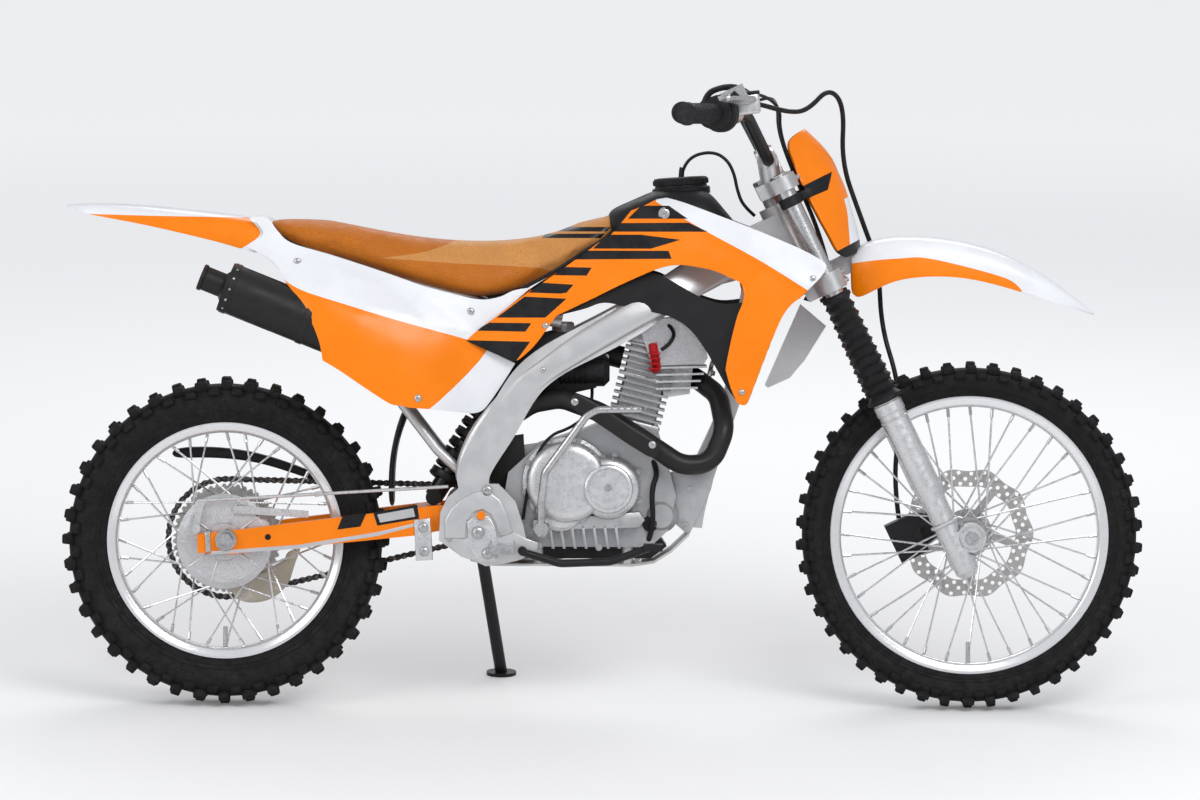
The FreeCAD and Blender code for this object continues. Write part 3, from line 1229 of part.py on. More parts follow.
def exhaust():
    """Exhaust pipe from the head's port, and the muffler with its lug on the seat's strut."""
    drop = math.radians(size["muffler_slope"])
    axis = V(math.cos(drop), 0, -math.sin(drop))
    rear_end = MUFFLER_TAIL - LEFT * size["muffler_right"]
    front_end = rear_end + axis * size["muffler_length"]
    neck_end = front_end + axis * MUFFLER_NECK
    port = size["bore_block"] / 2
    points = [head_port(port + fit_gap), head_port(port + 34)] + [V(*point) for point in HEADER_POINTS]
    points += [neck_end + axis * 70, neck_end + axis * fit_gap]
    finish(shaped("Header", pipe(bent_path(points, 60), size["header_dia"] / 2)), "exhaust_pipe")
    lug_start = V(226, -77.3, 664)
    pieces = [rod("Muffler_can", "Sizes.muffler_dia / 2", rear_end, front_end),
              rod("Muffler_tip", "Sizes.muffler_dia * 0.24", rear_end - axis * 46, rear_end),
              shaped("Muffler_neck", Part.makeCone(size["muffler_dia"] / 2, size["header_dia"] / 2,
                                                   MUFFLER_NECK, front_end, axis)),
              rod("Muffler_lug", "10", lug_start, lug_start - LEFT * 18)]
    finish(fused("Muffler", pieces), "muffler")


def tank_box():
    return size["tank_tail"], size["tank_low"], size["tank_length"], size["tank_rise"]


TANK_TOP_SHARES = [(0.0, 0.285), (0.23, 0.505), (0.407, 0.735), (0.45, 0.88), (0.527, 0.97), (0.88, 1.0),
                   (1.0, 0.74)]
TANK_LOW_SHARES = [0.16, 0.12, 0.1, 0.11, 0.14, 0.42, 0.52]
TANK_HALF_SHARES = [0.7, 1.0, 1.0, 1.0, 1.0, 0.85, 0.6]
TANK_HALF = 92


def fuel_tank():
    """Fuel tank between the shrouds, with its filler neck."""
    left, low, length, rise = tank_box()
    rings = []
    for (ahead, top), bottom, wide in zip(TANK_TOP_SHARES, TANK_LOW_SHARES, TANK_HALF_SHARES):
        x = left + ahead * length
        z_top, z_low = low + top * rise, low + bottom * rise
        half = TANK_HALF * wide
        mid = z_low + (z_top - z_low) * 0.62
        ring = [V(x, -half * 0.45, z_top), V(x, half * 0.45, z_top), V(x, half, mid),
                V(x, half * 0.9, z_low), V(x, -half * 0.9, z_low), V(x, -half, mid)]
        rings.append(Part.makePolygon(ring + ring[:1]))
    shell = shaped("Tank_shell", Part.makeLoft(rings, True, True))
    finish(shell, "fuel_tank")
    neck = V(812, 0, low + rise + fit_gap)
    cap = [rod("Cap_round", "46", neck, neck + UP * 14), rod("Cap_top", "34", neck + UP * 10, neck + UP * 26)]
    finish(fused("TankCap", cap), "tank_cap")


def seat_box():
    return size["seat_tail"], size["seat_low"], size["seat_length"], size["seat_rise"]


SEAT_SHARES = [(0.0, 0.86, 0.82, 0.6), (0.06, 0.86, 0.64, 0.72), (0.21, 0.775, 0.45, 0.92),
               (0.37, 0.69, 0.26, 1.0), (0.5, 0.625, 0.12, 1.0), (0.6, 0.6, 0.04, 0.94),
               (0.7, 0.61, 0.2, 0.84), (0.81, 0.68, 0.4, 0.72), (0.92, 0.84, 0.64, 0.6),
               (1.0, 1.0, 0.9, 0.5)]


def seat():
    """Seat: a long pad that rises over the tank."""
    left, low, length, rise = seat_box()
    rings = []
    for ahead, top, bottom, wide in SEAT_SHARES:
        x = left + ahead * length
        z_top, z_low = low + top * rise, low + bottom * rise
        half = size["seat_half"] * wide
        shoulder = z_top - min(22, (z_top - z_low) * 0.5)
        ring = [V(x, -half * 0.6, z_top), V(x, half * 0.6, z_top), V(x, half, shoulder),
                V(x, half, z_low), V(x, -half, z_low), V(x, -half, shoulder)]
        rings.append(Part.makePolygon(ring + ring[:1]))
    pieces = [shaped("Seat_pad", Part.makeLoft(rings, True, True))]
    for side, sign in SIDES.items():
        pieces.append(rod(f"Seat_foot_{side}", "6", V(208, sign * 66, 803.9), V(208, sign * 66, 815)))
    finish(fused("Seat", pieces), "seat")


def panel_box():
    return size["panel_tail"], size["panel_low"], size["panel_length"], size["panel_rise"]


PANEL_STATIONS = [(0.0, 0.994, 0.802, 0.47, 0.556), (0.064, 0.895, 0.683, 0.49, 0.8),
                  (0.119, 0.867, 0.567, 0.5, 0.95), (0.172, 0.84, 0.408, 0.52, 0.99),
                  (0.199, 0.83, 0.292, 0.54, 1.0), (0.34, 0.765, 0.164, 0.59, 1.0),
                  (0.465, 0.708, 0.045, 0.61, 0.97), (0.604, 0.646, 0.02, 0.62, 0.86), (0.69, 0.6, 0.02, 0.61, 0.66),
                  (0.742, 0.592, 0.023, 0.6, 0.65), (0.777, 0.586, 0.062, 0.6, 0.64),
                  (0.853, 0.6, 0.278, 0.6, 0.63)]
LEFT_BULGE = 0.45


def cover_shell(name, sign, stations):
    """Thin cover through stations (ahead, outer points from its top edge to its low edge)."""
    rings = []
    for x, outer in stations:
        ring = [V(x, sign * y, z) for y, z in outer]
        ring += [V(x, sign * (y - skin), z) for y, z in reversed(outer)]
        rings.append(Part.makePolygon(ring + ring[:1]))
    return shaped(name, Part.makeLoft(rings, True, True))


def out_at(stations, x, z):
    """How far out a cover's outer face lies at a point of the side view."""
    def level(outer):
        for (y_high, z_high), (y_low, z_low) in zip(outer, outer[1:]):
            if z >= z_low:
                return y_high + (y_low - y_high) * (z_high - z) / (z_high - z_low)
        return outer[-1][0]
    for (x_back, back), (x_front, front) in zip(stations, stations[1:]):
        if x <= x_front:
            share = (x - x_back) / (x_front - x_back)
            return level(back) * (1 - share) + level(front) * share
    return level(stations[-1][1])


def post(name, sign, stations, x, z, inner):
    """Round mounting post across the bike, from what carries a cover into its back."""
    outer = out_at(stations, x, z) - skin * 0.4
    return rod(name, str(POST_RAD), V(x, sign * inner, z), V(x, sign * outer, z))


POST_RAD = 8


def side_panel(side):
    """Side panel below the seat; the right one bulges over the muffler."""
    left, low, length, rise = panel_box()
    sign = SIDES[side]
    stations = []
    for ahead, top, bottom, top_out, low_out in PANEL_STATIONS:
        y_top = top_out * size["panel_out"]
        y_low = low_out * size["panel_out"]
        if side == "left":
            y_low = y_top + (y_low - y_top) * LEFT_BULGE
        z_top, z_low = low + top * rise, low + bottom * rise
        outer = [(y_top, z_top), (y_top * 0.06 + y_low * 0.94, z_top * 0.56 + z_low * 0.44), (y_low, z_low)]
        stations.append((left + ahead * length, outer))
    shell = cover_shell(f"SidePanel_{side}_shell", sign, stations)
    posts = [post(f"SidePanel_{side}_post_{x}", sign, stations, x, z, y + RAIL_TUBE / 2 + fit_gap)
             for x, y, z in (RAIL_STATIONS[1], RAIL_STATIONS[3])]
    finish(fused(f"SidePanel_{side}", [shell] + posts), f"side_panel_{side}")


def shroud_box():
    return size["shroud_tail"], size["shroud_low"], size["shroud_length"], size["shroud_rise"]


SHROUD_STATIONS = [(0.0, 0.305, 0.285, 0.79, 0.79), (0.097, 0.448, 0.218, 0.73, 0.79),
                   (0.13, 0.497, 0.193, 0.72, 0.79), (0.18, 0.566, 0.301, 0.71, 0.79),
                   (0.263, 0.68, 0.439, 0.70, 0.79), (0.375, 0.807, 0.547, 0.70, 0.80),
                   (0.462, 0.925, 0.619, 0.68, 0.81), (0.555, 1.0, 0.66, 0.66, 0.84),
                   (0.624, 0.956, 0.669, 0.68, 0.87), (0.707, 0.9, 0.641, 0.74, 0.91),
                   (0.721, 0.89, 0.19, 0.75, 0.96), (0.757, 0.87, 0.0, 0.78, 0.97),
                   (0.776, 0.856, 0.006, 0.79, 0.975), (0.818, 0.826, 0.188, 0.82, 0.99),
                   (0.873, 0.782, 0.359, 0.86, 1.0), (0.928, 0.74, 0.506, 0.9, 1.0),
                   (0.972, 0.704, 0.622, 0.92, 1.0), (1.0, 0.677, 0.66, 0.94, 0.98)]


def shroud(side):
    """Tank shroud: it flares from the seat to its front edge, with a fin down to the exhaust."""
    left, low, length, rise = shroud_box()
    sign = SIDES[side]
    stations = []
    for ahead, top, bottom, top_out, low_out in SHROUD_STATIONS:
        y_top, y_low = top_out * size["shroud_out"], low_out * size["shroud_out"]
        z_top, z_low = low + top * rise, low + bottom * rise
        outer = [(y_top, z_top), (y_top * 0.4 + y_low * 0.6, z_top * 0.6 + z_low * 0.4), (y_low, z_low)]
        stations.append((left + ahead * length, outer))
    shell = cover_shell(f"Shroud_{side}_shell", sign, stations)
    posts = [post(f"Shroud_{side}_post_tank", sign, stations, 700, 855, TANK_HALF + fit_gap),
             post(f"Shroud_{side}_post_frame", sign, stations, 915, 590, 22 + fit_gap)]
    finish(fused(f"Shroud_{side}", [shell] + posts), f"tank_shroud_{side}")


def tail_box():
    return size["tail_end"], size["tail_low"], size["tail_length"], size["tail_rise"]


TAIL_SHARES = [(0.0, 0.98, 0.93, 0.62), (0.16, 1.0, 0.78, 0.8), (0.41, 0.96, 0.58, 0.9), (0.66, 0.87, 0.38, 0.96),
               (0.9, 0.77, 0.16, 1.0), (1.0, 0.73, 0.02, 1.0)]
TAIL_HALF = 88


def rear_fender():
    """Rear fender: a broad arched blade behind the seat."""
    left, low, length, rise = tail_box()
    rings = []
    for ahead, top, bottom, wide in TAIL_SHARES:
        x = left + ahead * length
        half = TAIL_HALF * wide
        rings.append(arch_ring(V(x, 0, low + top * rise), V(x, 0, low + bottom * rise), half, skin))
    finish(shaped("RearFender", Part.makeLoft(rings, True, True)), "rear_fender")


PEG_SEAT = V(498, 0, 290)


def footpegs():
    """Footpegs on the outer faces of the pivot castings."""
    treads = []
    for side, sign in SIDES.items():
        inner = sign * (size["spar_inner"] + size["spar_thick"] + fit_gap)
        low_y = min(inner, inner + sign * size["peg_length"])
        treads.append(block(f"Peg_{side}_tread", PEG_SEAT + V(-PEG_WIDE / 2, low_y, -PEG_TALL / 2),
                            (PEG_WIDE, size["peg_length"], PEG_TALL)))
    finish(fused("Footpegs", treads), "footpegs")


PEG_WIDE = 44
PEG_TALL = 16


def controls():
    """Kick starter, brake pedal and gear lever."""
    out = size["engine_half"] + 52
    kick = [KICK_SHAFT - LEFT * (out + 14), V(566, -out - 16, 372), V(572, -out - 24, 424),
            V(645, -out - 26, 525), V(665, -out - 26, 536), V(742, -out - 26, 537)]
    arm = shaped("Kick_arm", pipe(bent_path(kick, 24), 7))
    kick_seat = KICK_SHAFT - LEFT * (size["engine_half"] + KICK_BOSS + 2 * fit_gap)
    boss = rod("Kick_boss", "12", kick_seat, KICK_SHAFT - LEFT * (out + 20))
    finish(fused("KickStarter", [arm, boss]), "kick_starter")
    pedal = [V(533, -130, 282), V(600, -134, 262), V(690, -134, 266), V(760, -134, 292)]
    pedal_arm = shaped("Pedal_arm", pipe(bent_path(pedal, 40), 7))
    pivot = rod("Pedal_pivot", "8", V(533, -118.3, 284), V(533, -138, 284))
    pad = block("Pedal_pad", V(748, -158, 286), (34, 40, 12))
    finish(fused("BrakePedal", [pedal_arm, pad, pivot]), "brake_pedal")
    gear = [V(560, size["engine_half"] + fit_gap, 300), V(560, 108, 300), V(600, 122, 304), V(680, 126, 300)]
    gear_arm = shaped("Gear_arm", pipe(bent_path(gear, 14), 7))
    toe = rod("Gear_toe", "9", V(680, 118, 300), V(680, 160, 300))
    finish(fused("GearLever", [gear_arm, toe]), "gear_lever")


STAND_LUG_WIDE = 25


def side_stand():
    """Side stand: a leaning leg with a foot that lies flat on the ground."""
    run = STAND_FOOT - STAND_PIVOT
    ground = STANCE.inverse().Rotation.multVec(UP)
    sole = STAND_FOOT
    leg_end = sole + ground * size["foot_thick"] * 0.6
    leg = rod("Stand_leg", "Sizes.stand_dia / 2", STAND_PIVOT + run.normalize() * 4, leg_end)
    foot = rod("Stand_foot", "Sizes.foot_dia / 2", sole, sole + ground * size["foot_thick"])
    axis = stand_axis()
    eye = rod("Stand_eye", "Sizes.stand_dia * 0.7", STAND_PIVOT - axis * STAND_LUG_WIDE / 2,
              STAND_PIVOT + axis * STAND_LUG_WIDE / 2)
    finish(fused("SideStand", [leg, foot, eye]), "side_stand")


def stand_axis():
    """Side stand's hinge axis: square to the leg both parked and stowed."""
    down = (STAND_FOOT - STAND_PIVOT).normalize()
    return down.cross(STAND_STOWED).normalize()


def stand_boss():
    """Boss of the left pivot casting that carries the side stand's eye."""
    axis = stand_axis()
    start = STAND_PIVOT - axis * (STAND_LUG_WIDE / 2 + fit_gap)
    return rod("Stand_boss", "Sizes.stand_dia * 0.7", start, start - axis * STAND_BOSS)


STAND_BOSS = 22


def build():
    front_wheel()
    rear_wheel()
    fork_tubes()
    gaiters()
    slider("right")
    slider("left")
    front_axle()
    clamps()
    handlebar()
    grips()
    throttle_housing()
    lever("right", "BrakeLever", "brake_lever")
    lever("left", "ClutchLever", "clutch_lever")
    front_fender()
    number_plate()
    brake_hose()
    caliper()
    headstock()
    for side in SIDES:
        spar(side)
        side_panel(side)
        shroud(side)
    footpegs()
    skid_plate()
    subframe()
    swingarm()
    rear_axle()
    brake_panel()
    chain()
    engine()
    engine_top()
    intake()
    shock()
    exhaust()
    fuel_tank()
    seat()
    rear_fender()
    controls()
    side_stand()


def export():
    """Check every object, then write each sub-part to its own file."""
    doc.recompute()
    for item in doc.Objects:
        if "Invalid" in item.State or "Error" in item.State:
            raise RuntimeError(f"{item.Label} did not build: {item.State}")
    for piece in parts:
        if piece.Shape.isNull() or not piece.Shape.isValid():
            raise RuntimeError(f"{piece.Label} has no valid shape")
    os.makedirs("parts", exist_ok=True)
    for piece in parts:
        piece.Shape.exportStep(f"parts/{piece.Label}.step")


build()
export()
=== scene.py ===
import math

import bmesh
import bpy
import numpy as np
from mathutils import Matrix, Vector


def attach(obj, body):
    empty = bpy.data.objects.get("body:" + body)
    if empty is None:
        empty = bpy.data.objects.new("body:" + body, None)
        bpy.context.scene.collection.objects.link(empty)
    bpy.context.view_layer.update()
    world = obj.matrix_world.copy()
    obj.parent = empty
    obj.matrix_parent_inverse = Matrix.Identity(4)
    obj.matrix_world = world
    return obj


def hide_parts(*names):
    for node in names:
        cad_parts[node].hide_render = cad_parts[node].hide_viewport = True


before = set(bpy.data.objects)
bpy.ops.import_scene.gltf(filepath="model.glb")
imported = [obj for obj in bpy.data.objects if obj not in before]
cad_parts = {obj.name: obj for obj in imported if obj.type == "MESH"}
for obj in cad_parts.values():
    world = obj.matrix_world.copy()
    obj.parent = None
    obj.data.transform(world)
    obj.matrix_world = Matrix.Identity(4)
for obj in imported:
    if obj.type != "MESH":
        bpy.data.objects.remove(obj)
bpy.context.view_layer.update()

bl_info = {
    "name": "Dirt Bike Looks",
    "version": (1, 0, 0),
    "blender": (4, 5, 0),
    "location": "View3D > Sidebar > Dirt Bike",
    "description": "Dresses the packed dirt bike with its tyres, covers, seat, engine detail and finishes",
    "category": "Add Mesh",
}

# The bike is modelled upright, in metres: X forward from the rear axle, Y to the left, Z up from
# the ground. STANCE then leans it onto its side stand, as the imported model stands.
LEAN = math.radians(8)
STANCE = Matrix.Translation((-0.675, -0.1479, 0.0020876)) @ Matrix.Rotation(-LEAN, 4, "X")
RAKE = math.radians(26)
REAR_AXLE = Vector((0, 0, 0.293))
FRONT_AXLE = Vector((1.332, 0, 0.311))
FORK_UP = Vector((-math.sin(RAKE), 0, math.cos(RAKE)))
FORK_AHEAD = Vector((math.cos(RAKE), 0, math.sin(RAKE)))
ACROSS = Vector((0, 1, 0))
RIGHT, LEFT = -1, 1
SIDES = ((RIGHT, "right"), (LEFT, "left"))
FULL_TURN = math.tau
QUARTER = math.radians(90)

# The side drawing is the photo: places on it are pixels ahead and down.
DRAWN_SCALE = 0.00179
DRAWN_AXLE = 226.5
DRAWN_GROUND = 703.8
DRAWN_TILT = 0.0067
EYE_AHEAD, EYE_DOWN = 600, 91
EYE_AWAY = 14


# Places


def drawn(ahead, down, across=0.0):
    """Bike point for a place on the side drawing, at a distance to the left of the middle."""
    near = 1 + across / EYE_AWAY
    ahead = EYE_AHEAD + (ahead - EYE_AHEAD) * near - DRAWN_AXLE
    down = EYE_DOWN + (down - EYE_DOWN) * near
    return Vector((ahead * DRAWN_SCALE, across, (DRAWN_GROUND + ahead * DRAWN_TILT - down) * DRAWN_SCALE))


def on_fork(along, ahead, across=0.0):
    """Bike point given in millimetres along the fork, ahead of its axle and to the left."""
    return FRONT_AXLE + (FORK_UP * along + FORK_AHEAD * ahead + ACROSS * across) / 1000


def mm(ahead, across, up):
    """Bike point given in millimetres."""
    return Vector((ahead, across, up)) / 1000


def seat_at(place, axis=(0, 0, 1), ahead=(1, 0, 0)):
    """Matrix whose Z runs along an axis and whose X leans towards another direction."""
    up = Vector(axis).normalized()
    side = up.cross(Vector(ahead))
    if side.length < 1e-6:
        side = up.cross(Vector((0, 0, 1)))
    side.normalize()
    front = side.cross(up)
    turn = Matrix((front, side, up)).transposed()
    return Matrix.Translation(place) @ turn.to_4x4()


def fork_seat(along, ahead, across=0.0):
    """Seat that stands along the fork."""
    return seat_at(on_fork(along, ahead, across), FORK_UP, FORK_AHEAD)


def side_seat(ahead, down, across):
    """Seat that faces out to a side, at a place on the drawing and a distance from the middle in mm."""
    return seat_at(drawn(ahead, down, across / 1000), (0, math.copysign(1, across), 0))


def out_seat(ahead, across, up):
    """Seat that faces out to a side, at a point of the bike in millimetres."""
    return seat_at(mm(ahead, across, up), (0, math.copysign(1, across), 0))


def shift(x, y, z):
    """Move by millimetres along a seat's own directions."""
    return Matrix.Translation((x / 1000, y / 1000, z / 1000))


def round_turns(count):
    """Turns about a seat's Z axis, evenly round the circle."""
    return [Matrix.Rotation(i * FULL_TURN / count, 4, "Z") for i in range(count)]


def flowing(points, parts=5):
    """Points of a smooth line that passes through the given ones."""
    line = []
    last = len(points) - 1
    for i in range(last):
        a, b = points[max(i - 1, 0)], points[i]
        c, d = points[i + 1], points[min(i + 2, last)]
        for k in range(parts):
            t = k / parts
            line.append(0.5 * ((2 * b) + (c - a) * t + (2 * a - 5 * b + 4 * c - d) * t * t
                               + (3 * b - a - 3 * c + d) * t ** 3))
    return line + [points[last]]


def flat_line(spots, across=0.0):
    """Places on the side drawing as a line that lies flat in X and Y."""
    points = [drawn(ahead, down, across) for ahead, down in spots]
    return [Vector((point.x, point.z, 0)) for point in points]


def outline_of(runs, across=0.0):
    """Closed flat outline from smooth runs on the side drawing that meet at corners."""
    line = []
    for run in runs:
        smooth = flowing(flat_line(run, across))
        if line and (smooth[0] - line[-1]).length < 1e-6:
            smooth = smooth[1:]
        line += smooth
    return line


def within(outline, spot):
    """True where a flat spot lies inside a closed outline."""
    inside = False
    for a, b in zip(outline, outline[1:] + outline[:1]):
        if (a.y > spot.y) != (b.y > spot.y):
            if spot.x < (b.x - a.x) * (spot.y - a.y) / (b.y - a.y) + a.x:
                inside = not inside
    return inside


class Form:
    """Smooth surface that passes through given heights over a flat outline, like a bent thin plate."""

    def __init__(self, spots):
        spots = np.array(spots, float)
        self.flat = spots[:, :2]
        count = len(spots)
        corner = np.hstack([np.ones((count, 1)), self.flat])
        square = np.zeros((count + 3, count + 3))
        square[:count, :count] = self.bend(self.flat)
        square[:count, count:] = corner
        square[count:, :count] = corner.T
        self.pull = np.linalg.solve(square, np.append(spots[:, 2], [0, 0, 0]))

    def bend(self, flat):
        apart = ((flat[:, None, :] - self.flat[None, :, :]) ** 2).sum(2)
        return apart * np.log(apart + 1e-12)

    def heights(self, flat):
        flat = np.array(flat, float)
        return self.bend(flat) @ self.pull[:-3] + self.pull[-3] + flat @ self.pull[-2:]

    def height(self, a, b):
        return float(self.heights([[a, b]])[0])


# Mesh work

SCORE_SLACK = 1e-5
SCORE_REACH = 0.03


def score(bm, outline):
    """Cut a sheet's faces along a flat outline."""
    for a, b in zip(outline, outline[1:] + outline[:1]):
        if (b - a).length < 1e-7:
            continue
        low_x, high_x = min(a.x, b.x) - SCORE_SLACK, max(a.x, b.x) + SCORE_SLACK
        low_y, high_y = min(a.y, b.y) - SCORE_SLACK, max(a.y, b.y) + SCORE_SLACK
        near = set()
        for vert in bm.verts:
            if (low_x - SCORE_REACH < vert.co.x < high_x + SCORE_REACH
                    and low_y - SCORE_REACH < vert.co.y < high_y + SCORE_REACH):
                near.update(vert.link_faces)
        faces = []
        for face in near:
            xs = [v.co.x for v in face.verts]
            ys = [v.co.y for v in face.verts]
            if max(xs) >= low_x and min(xs) <= high_x and max(ys) >= low_y and min(ys) <= high_y:
                faces.append(face)
        edges = {edge for face in faces for edge in face.edges}
        verts = {vert for face in faces for vert in face.verts}
        normal = Vector((b.y - a.y, a.x - b.x, 0)).normalized()
        bmesh.ops.bisect_plane(bm, geom=faces + list(edges) + list(verts), dist=2e-5, plane_co=a,
                               plane_no=normal)


def sheet_of(outline, form, step, folds=()):
    """Thin curved sheet cut to an outline: a grid pushed out to a form, with pressed fold lines."""
    xs = [p.x for p in outline]
    ys = [p.y for p in outline]
    wide, tall = max(xs) - min(xs) + 2 * step, max(ys) - min(ys) + 2 * step
    bm = bmesh.new()
    bmesh.ops.create_grid(bm, x_segments=math.ceil(wide / step), y_segments=math.ceil(tall / step), size=0.5)
    bmesh.ops.scale(bm, vec=(wide, tall, 1), verts=bm.verts)
    bmesh.ops.translate(bm, vec=((max(xs) + min(xs)) / 2, (max(ys) + min(ys)) / 2, 0), verts=bm.verts)
    heights = form.heights([[v.co.x, v.co.y] for v in bm.verts])
    for vert, height in zip(bm.verts, heights):
        vert.co.z = height + sum(fold_at(vert.co, *fold) for fold in folds)
    score(bm, outline)
    outside = [face for face in bm.faces if not within(outline, face.calc_center_median())]
    bmesh.ops.delete(bm, geom=outside, context="FACES")
    return bm


def fold_at(spot, line, height, reach):
    """Height of a pressed step beside a flat line: full on its left, none past its reach."""
    nearest = None
    for a, b in zip(line, line[1:]):
        run = b - a
        share = max(0.0, min(1.0, (spot.xy - a.xy).dot(run.xy) / run.xy.length_squared))
        away = (spot.xy - (a.xy + run.xy * share)).length
        if nearest is None or away < nearest[0]:
            turn = run.x * (spot.y - a.y) - run.y * (spot.x - a.x)
            nearest = (away, 1 if turn > 0 else -1)
    away, side = nearest
    blend = max(0.0, min(1.0, 0.5 + side * away / reach))
    fade = max(0.0, 1 - max(0.0, away - reach) / (6 * reach))
    return height * blend * blend * (3 - 2 * blend) * fade


def inlay(bm, outline, finish):
    """Give the part of a sheet inside an outline another of its finishes."""
    score(bm, outline)
    for face in bm.faces:
        if within(outline, face.calc_center_median()):
            face.material_index = finish


def mesh_of(bm, name):
    """Mesh from a bmesh, which is freed."""
    mesh = bpy.data.meshes.new(name)
    bm.to_mesh(mesh)
    bm.free()
    return mesh


def placed(name, data):
    """New object in the scene."""
    piece = bpy.data.objects.new(name, data)
    bpy.context.scene.collection.objects.link(piece)
    return piece


def evaluated(piece):
    """Mesh of an object with its modifiers applied."""
    return bpy.data.meshes.new_from_object(piece.evaluated_get(bpy.context.evaluated_depsgraph_get()))


def join(bm, part):
    """Add one bmesh to another."""
    mesh = mesh_of(part, "part")
    bm.from_mesh(mesh)
    bpy.data.meshes.remove(mesh)


def copy_on(bm, mesh, place):
    """Add a mesh at a place."""
    before = len(bm.verts)
    bm.from_mesh(mesh)
    bm.verts.ensure_lookup_table()
    bmesh.ops.transform(bm, matrix=place, verts=bm.verts[before:])


def ring_of(bm, points, closed=True):
    """Edges of one ring, or of one open row, through the points."""
    verts = [bm.verts.new(point) for point in points]
    pairs = list(zip(verts, verts[1:]))
    if closed:
        pairs.append((verts[-1], verts[0]))
    return [bm.edges.new(pair) for pair in pairs]


def loft(bm, rows, closed=True):
    """Skin over rows of points, each bridged to the next, with the ends of a closed one filled."""
    rings = [ring_of(bm, row, closed) for row in rows]
    for one, other in zip(rings, rings[1:]):
        bmesh.ops.bridge_loops(bm, edges=one + other)
    if closed:
        bmesh.ops.edgeloop_fill(bm, edges=rings[0])
        bmesh.ops.edgeloop_fill(bm, edges=rings[-1])


def turned(bm, seat, profile, steps=48, closed=False):
    """Turn a profile of (radius, height) in millimetres about the Z axis of its seat."""
    spots = [seat @ Vector((radius / 1000, 0, height / 1000)) for radius, height in profile]
    edges = ring_of(bm, spots, closed)
    verts = list({vert for edge in edges for vert in edge.verts})
    axis = (seat.to_3x3() @ Vector((0, 0, 1))).normalized()
    bmesh.ops.spin(bm, geom=verts + edges, cent=seat.translation, axis=axis, angle=FULL_TURN,
                   steps=steps, use_merge=True)
    bmesh.ops.remove_doubles(bm, verts=bm.verts, dist=1e-6)


def rounded(bm, edges, width, segments):
    """Round some edges by a width in millimetres."""
    return bmesh.ops.bevel(bm, geom=edges, offset=width / 1000, offset_type="OFFSET", segments=segments,
                           profile=0.5, affect="EDGES", material=-1, clamp_overlap=True)["faces"]


def box_on(bm, seat, spans, bevel=0.0, taper=1.0, segments=2):
    """Bevelled block centred on its seat, narrowed towards its far Z side."""
    made = bmesh.ops.create_cube(bm, size=1)["verts"]
    bmesh.ops.scale(bm, vec=[span / 1000 for span in spans], verts=made)
    for vert in made:
        if vert.co.z > 0:
            vert.co.x *= taper
            vert.co.y *= taper
    if bevel:
        faces = rounded(bm, list({edge for vert in made for edge in vert.link_edges}), bevel, segments)
        made = list({vert for face in faces for vert in face.verts}
                    | {vert for vert in made if vert.is_valid})
    bmesh.ops.transform(bm, matrix=seat, verts=made)


def rod_on(bm, seat, radius, height, bevel=0.0, sides=24, inner=0.0):
    """Round bar, or ring, that stands on its seat along Z."""
    profile = [(inner, 0), (radius - bevel, 0), (radius, bevel), (radius, height - bevel),
               (radius - bevel, height), (inner, height)]
    if not bevel:
        profile = [(inner, 0), (radius, 0), (radius, height), (inner, height)]
    turned(bm, seat, profile, sides, closed=inner > 0)


def bolt_on(bm, seat, radius, height, hexagon=True):
    """Bolt head with its washer: a six-sided or round head, slightly domed."""
    rod_on(bm, seat, radius * 1.35, height * 0.25, sides=20)
    raised = seat @ Matrix.Translation((0, 0, height * 0.25 / 1000))
    turned(bm, raised, [(0, 0), (radius, 0), (radius, height * 0.6), (radius * 0.8, height * 0.75),
                        (radius * 0.42, height * 0.75), (radius * 0.36, height * 0.3), (0, height * 0.3)],
           6 if hexagon else 18)


def bolts_on(bm, spots, radius=5.0, height=4.0, hexagon=True):
    """Bolt heads that face out at places on the drawing."""
    for ahead, down, across in spots:
        bolt_on(bm, side_seat(ahead, down, across), radius, height, hexagon)


def band(bm, start, along, radius, wide, thick=1.6):
    """Clamp band round a bar."""
    rod_on(bm, seat_at(start, along, ACROSS), radius + thick, wide, 0.5, 32, radius)


def slab(bm, outline, near, far, bevel=0.8, segments=2):
    """Plate with an outline on the drawing, between two distances from the middle in millimetres."""
    ring = ring_of(bm, [drawn(ahead, down, near / 1000) for ahead, down in outline])
    face = bmesh.ops.edgeloop_fill(bm, edges=ring)["faces"]
    grown = bmesh.ops.extrude_face_region(bm, geom=face)["geom"]
    outer = {part for part in grown if isinstance(part, bmesh.types.BMVert)}
    bmesh.ops.translate(bm, vec=(0, (far - near) / 1000, 0), verts=list(outer))
    rim = [part for part in grown if isinstance(part, bmesh.types.BMEdge) and set(part.verts) <= outer]
    if bevel:
        rounded(bm, rim, bevel, segments)


SOFT_SECTION = [(0.0, -0.55), (0.0, 0.55), (0.12, 1.04), (0.88, 1.04), (1.0, 0.55), (1.0, -0.55),
                (0.88, -1.04), (0.12, -1.04)]


def strip(bm, stations):
    """Soft-edged bar through stations: upper and lower edge on the drawing, middle and half width in mm."""
    rows = []
    for upper, lower, middle, half in stations:
        top, low = drawn(*upper, middle / 1000), drawn(*lower, middle / 1000)
        rows.append([low + (top - low) * (up * 1.06 - 0.03) + ACROSS * (half * out / 1000)
                     for up, out in SOFT_SECTION])
    part = bmesh.new()
    loft(part, rows)
    join(bm, smoothed(part))


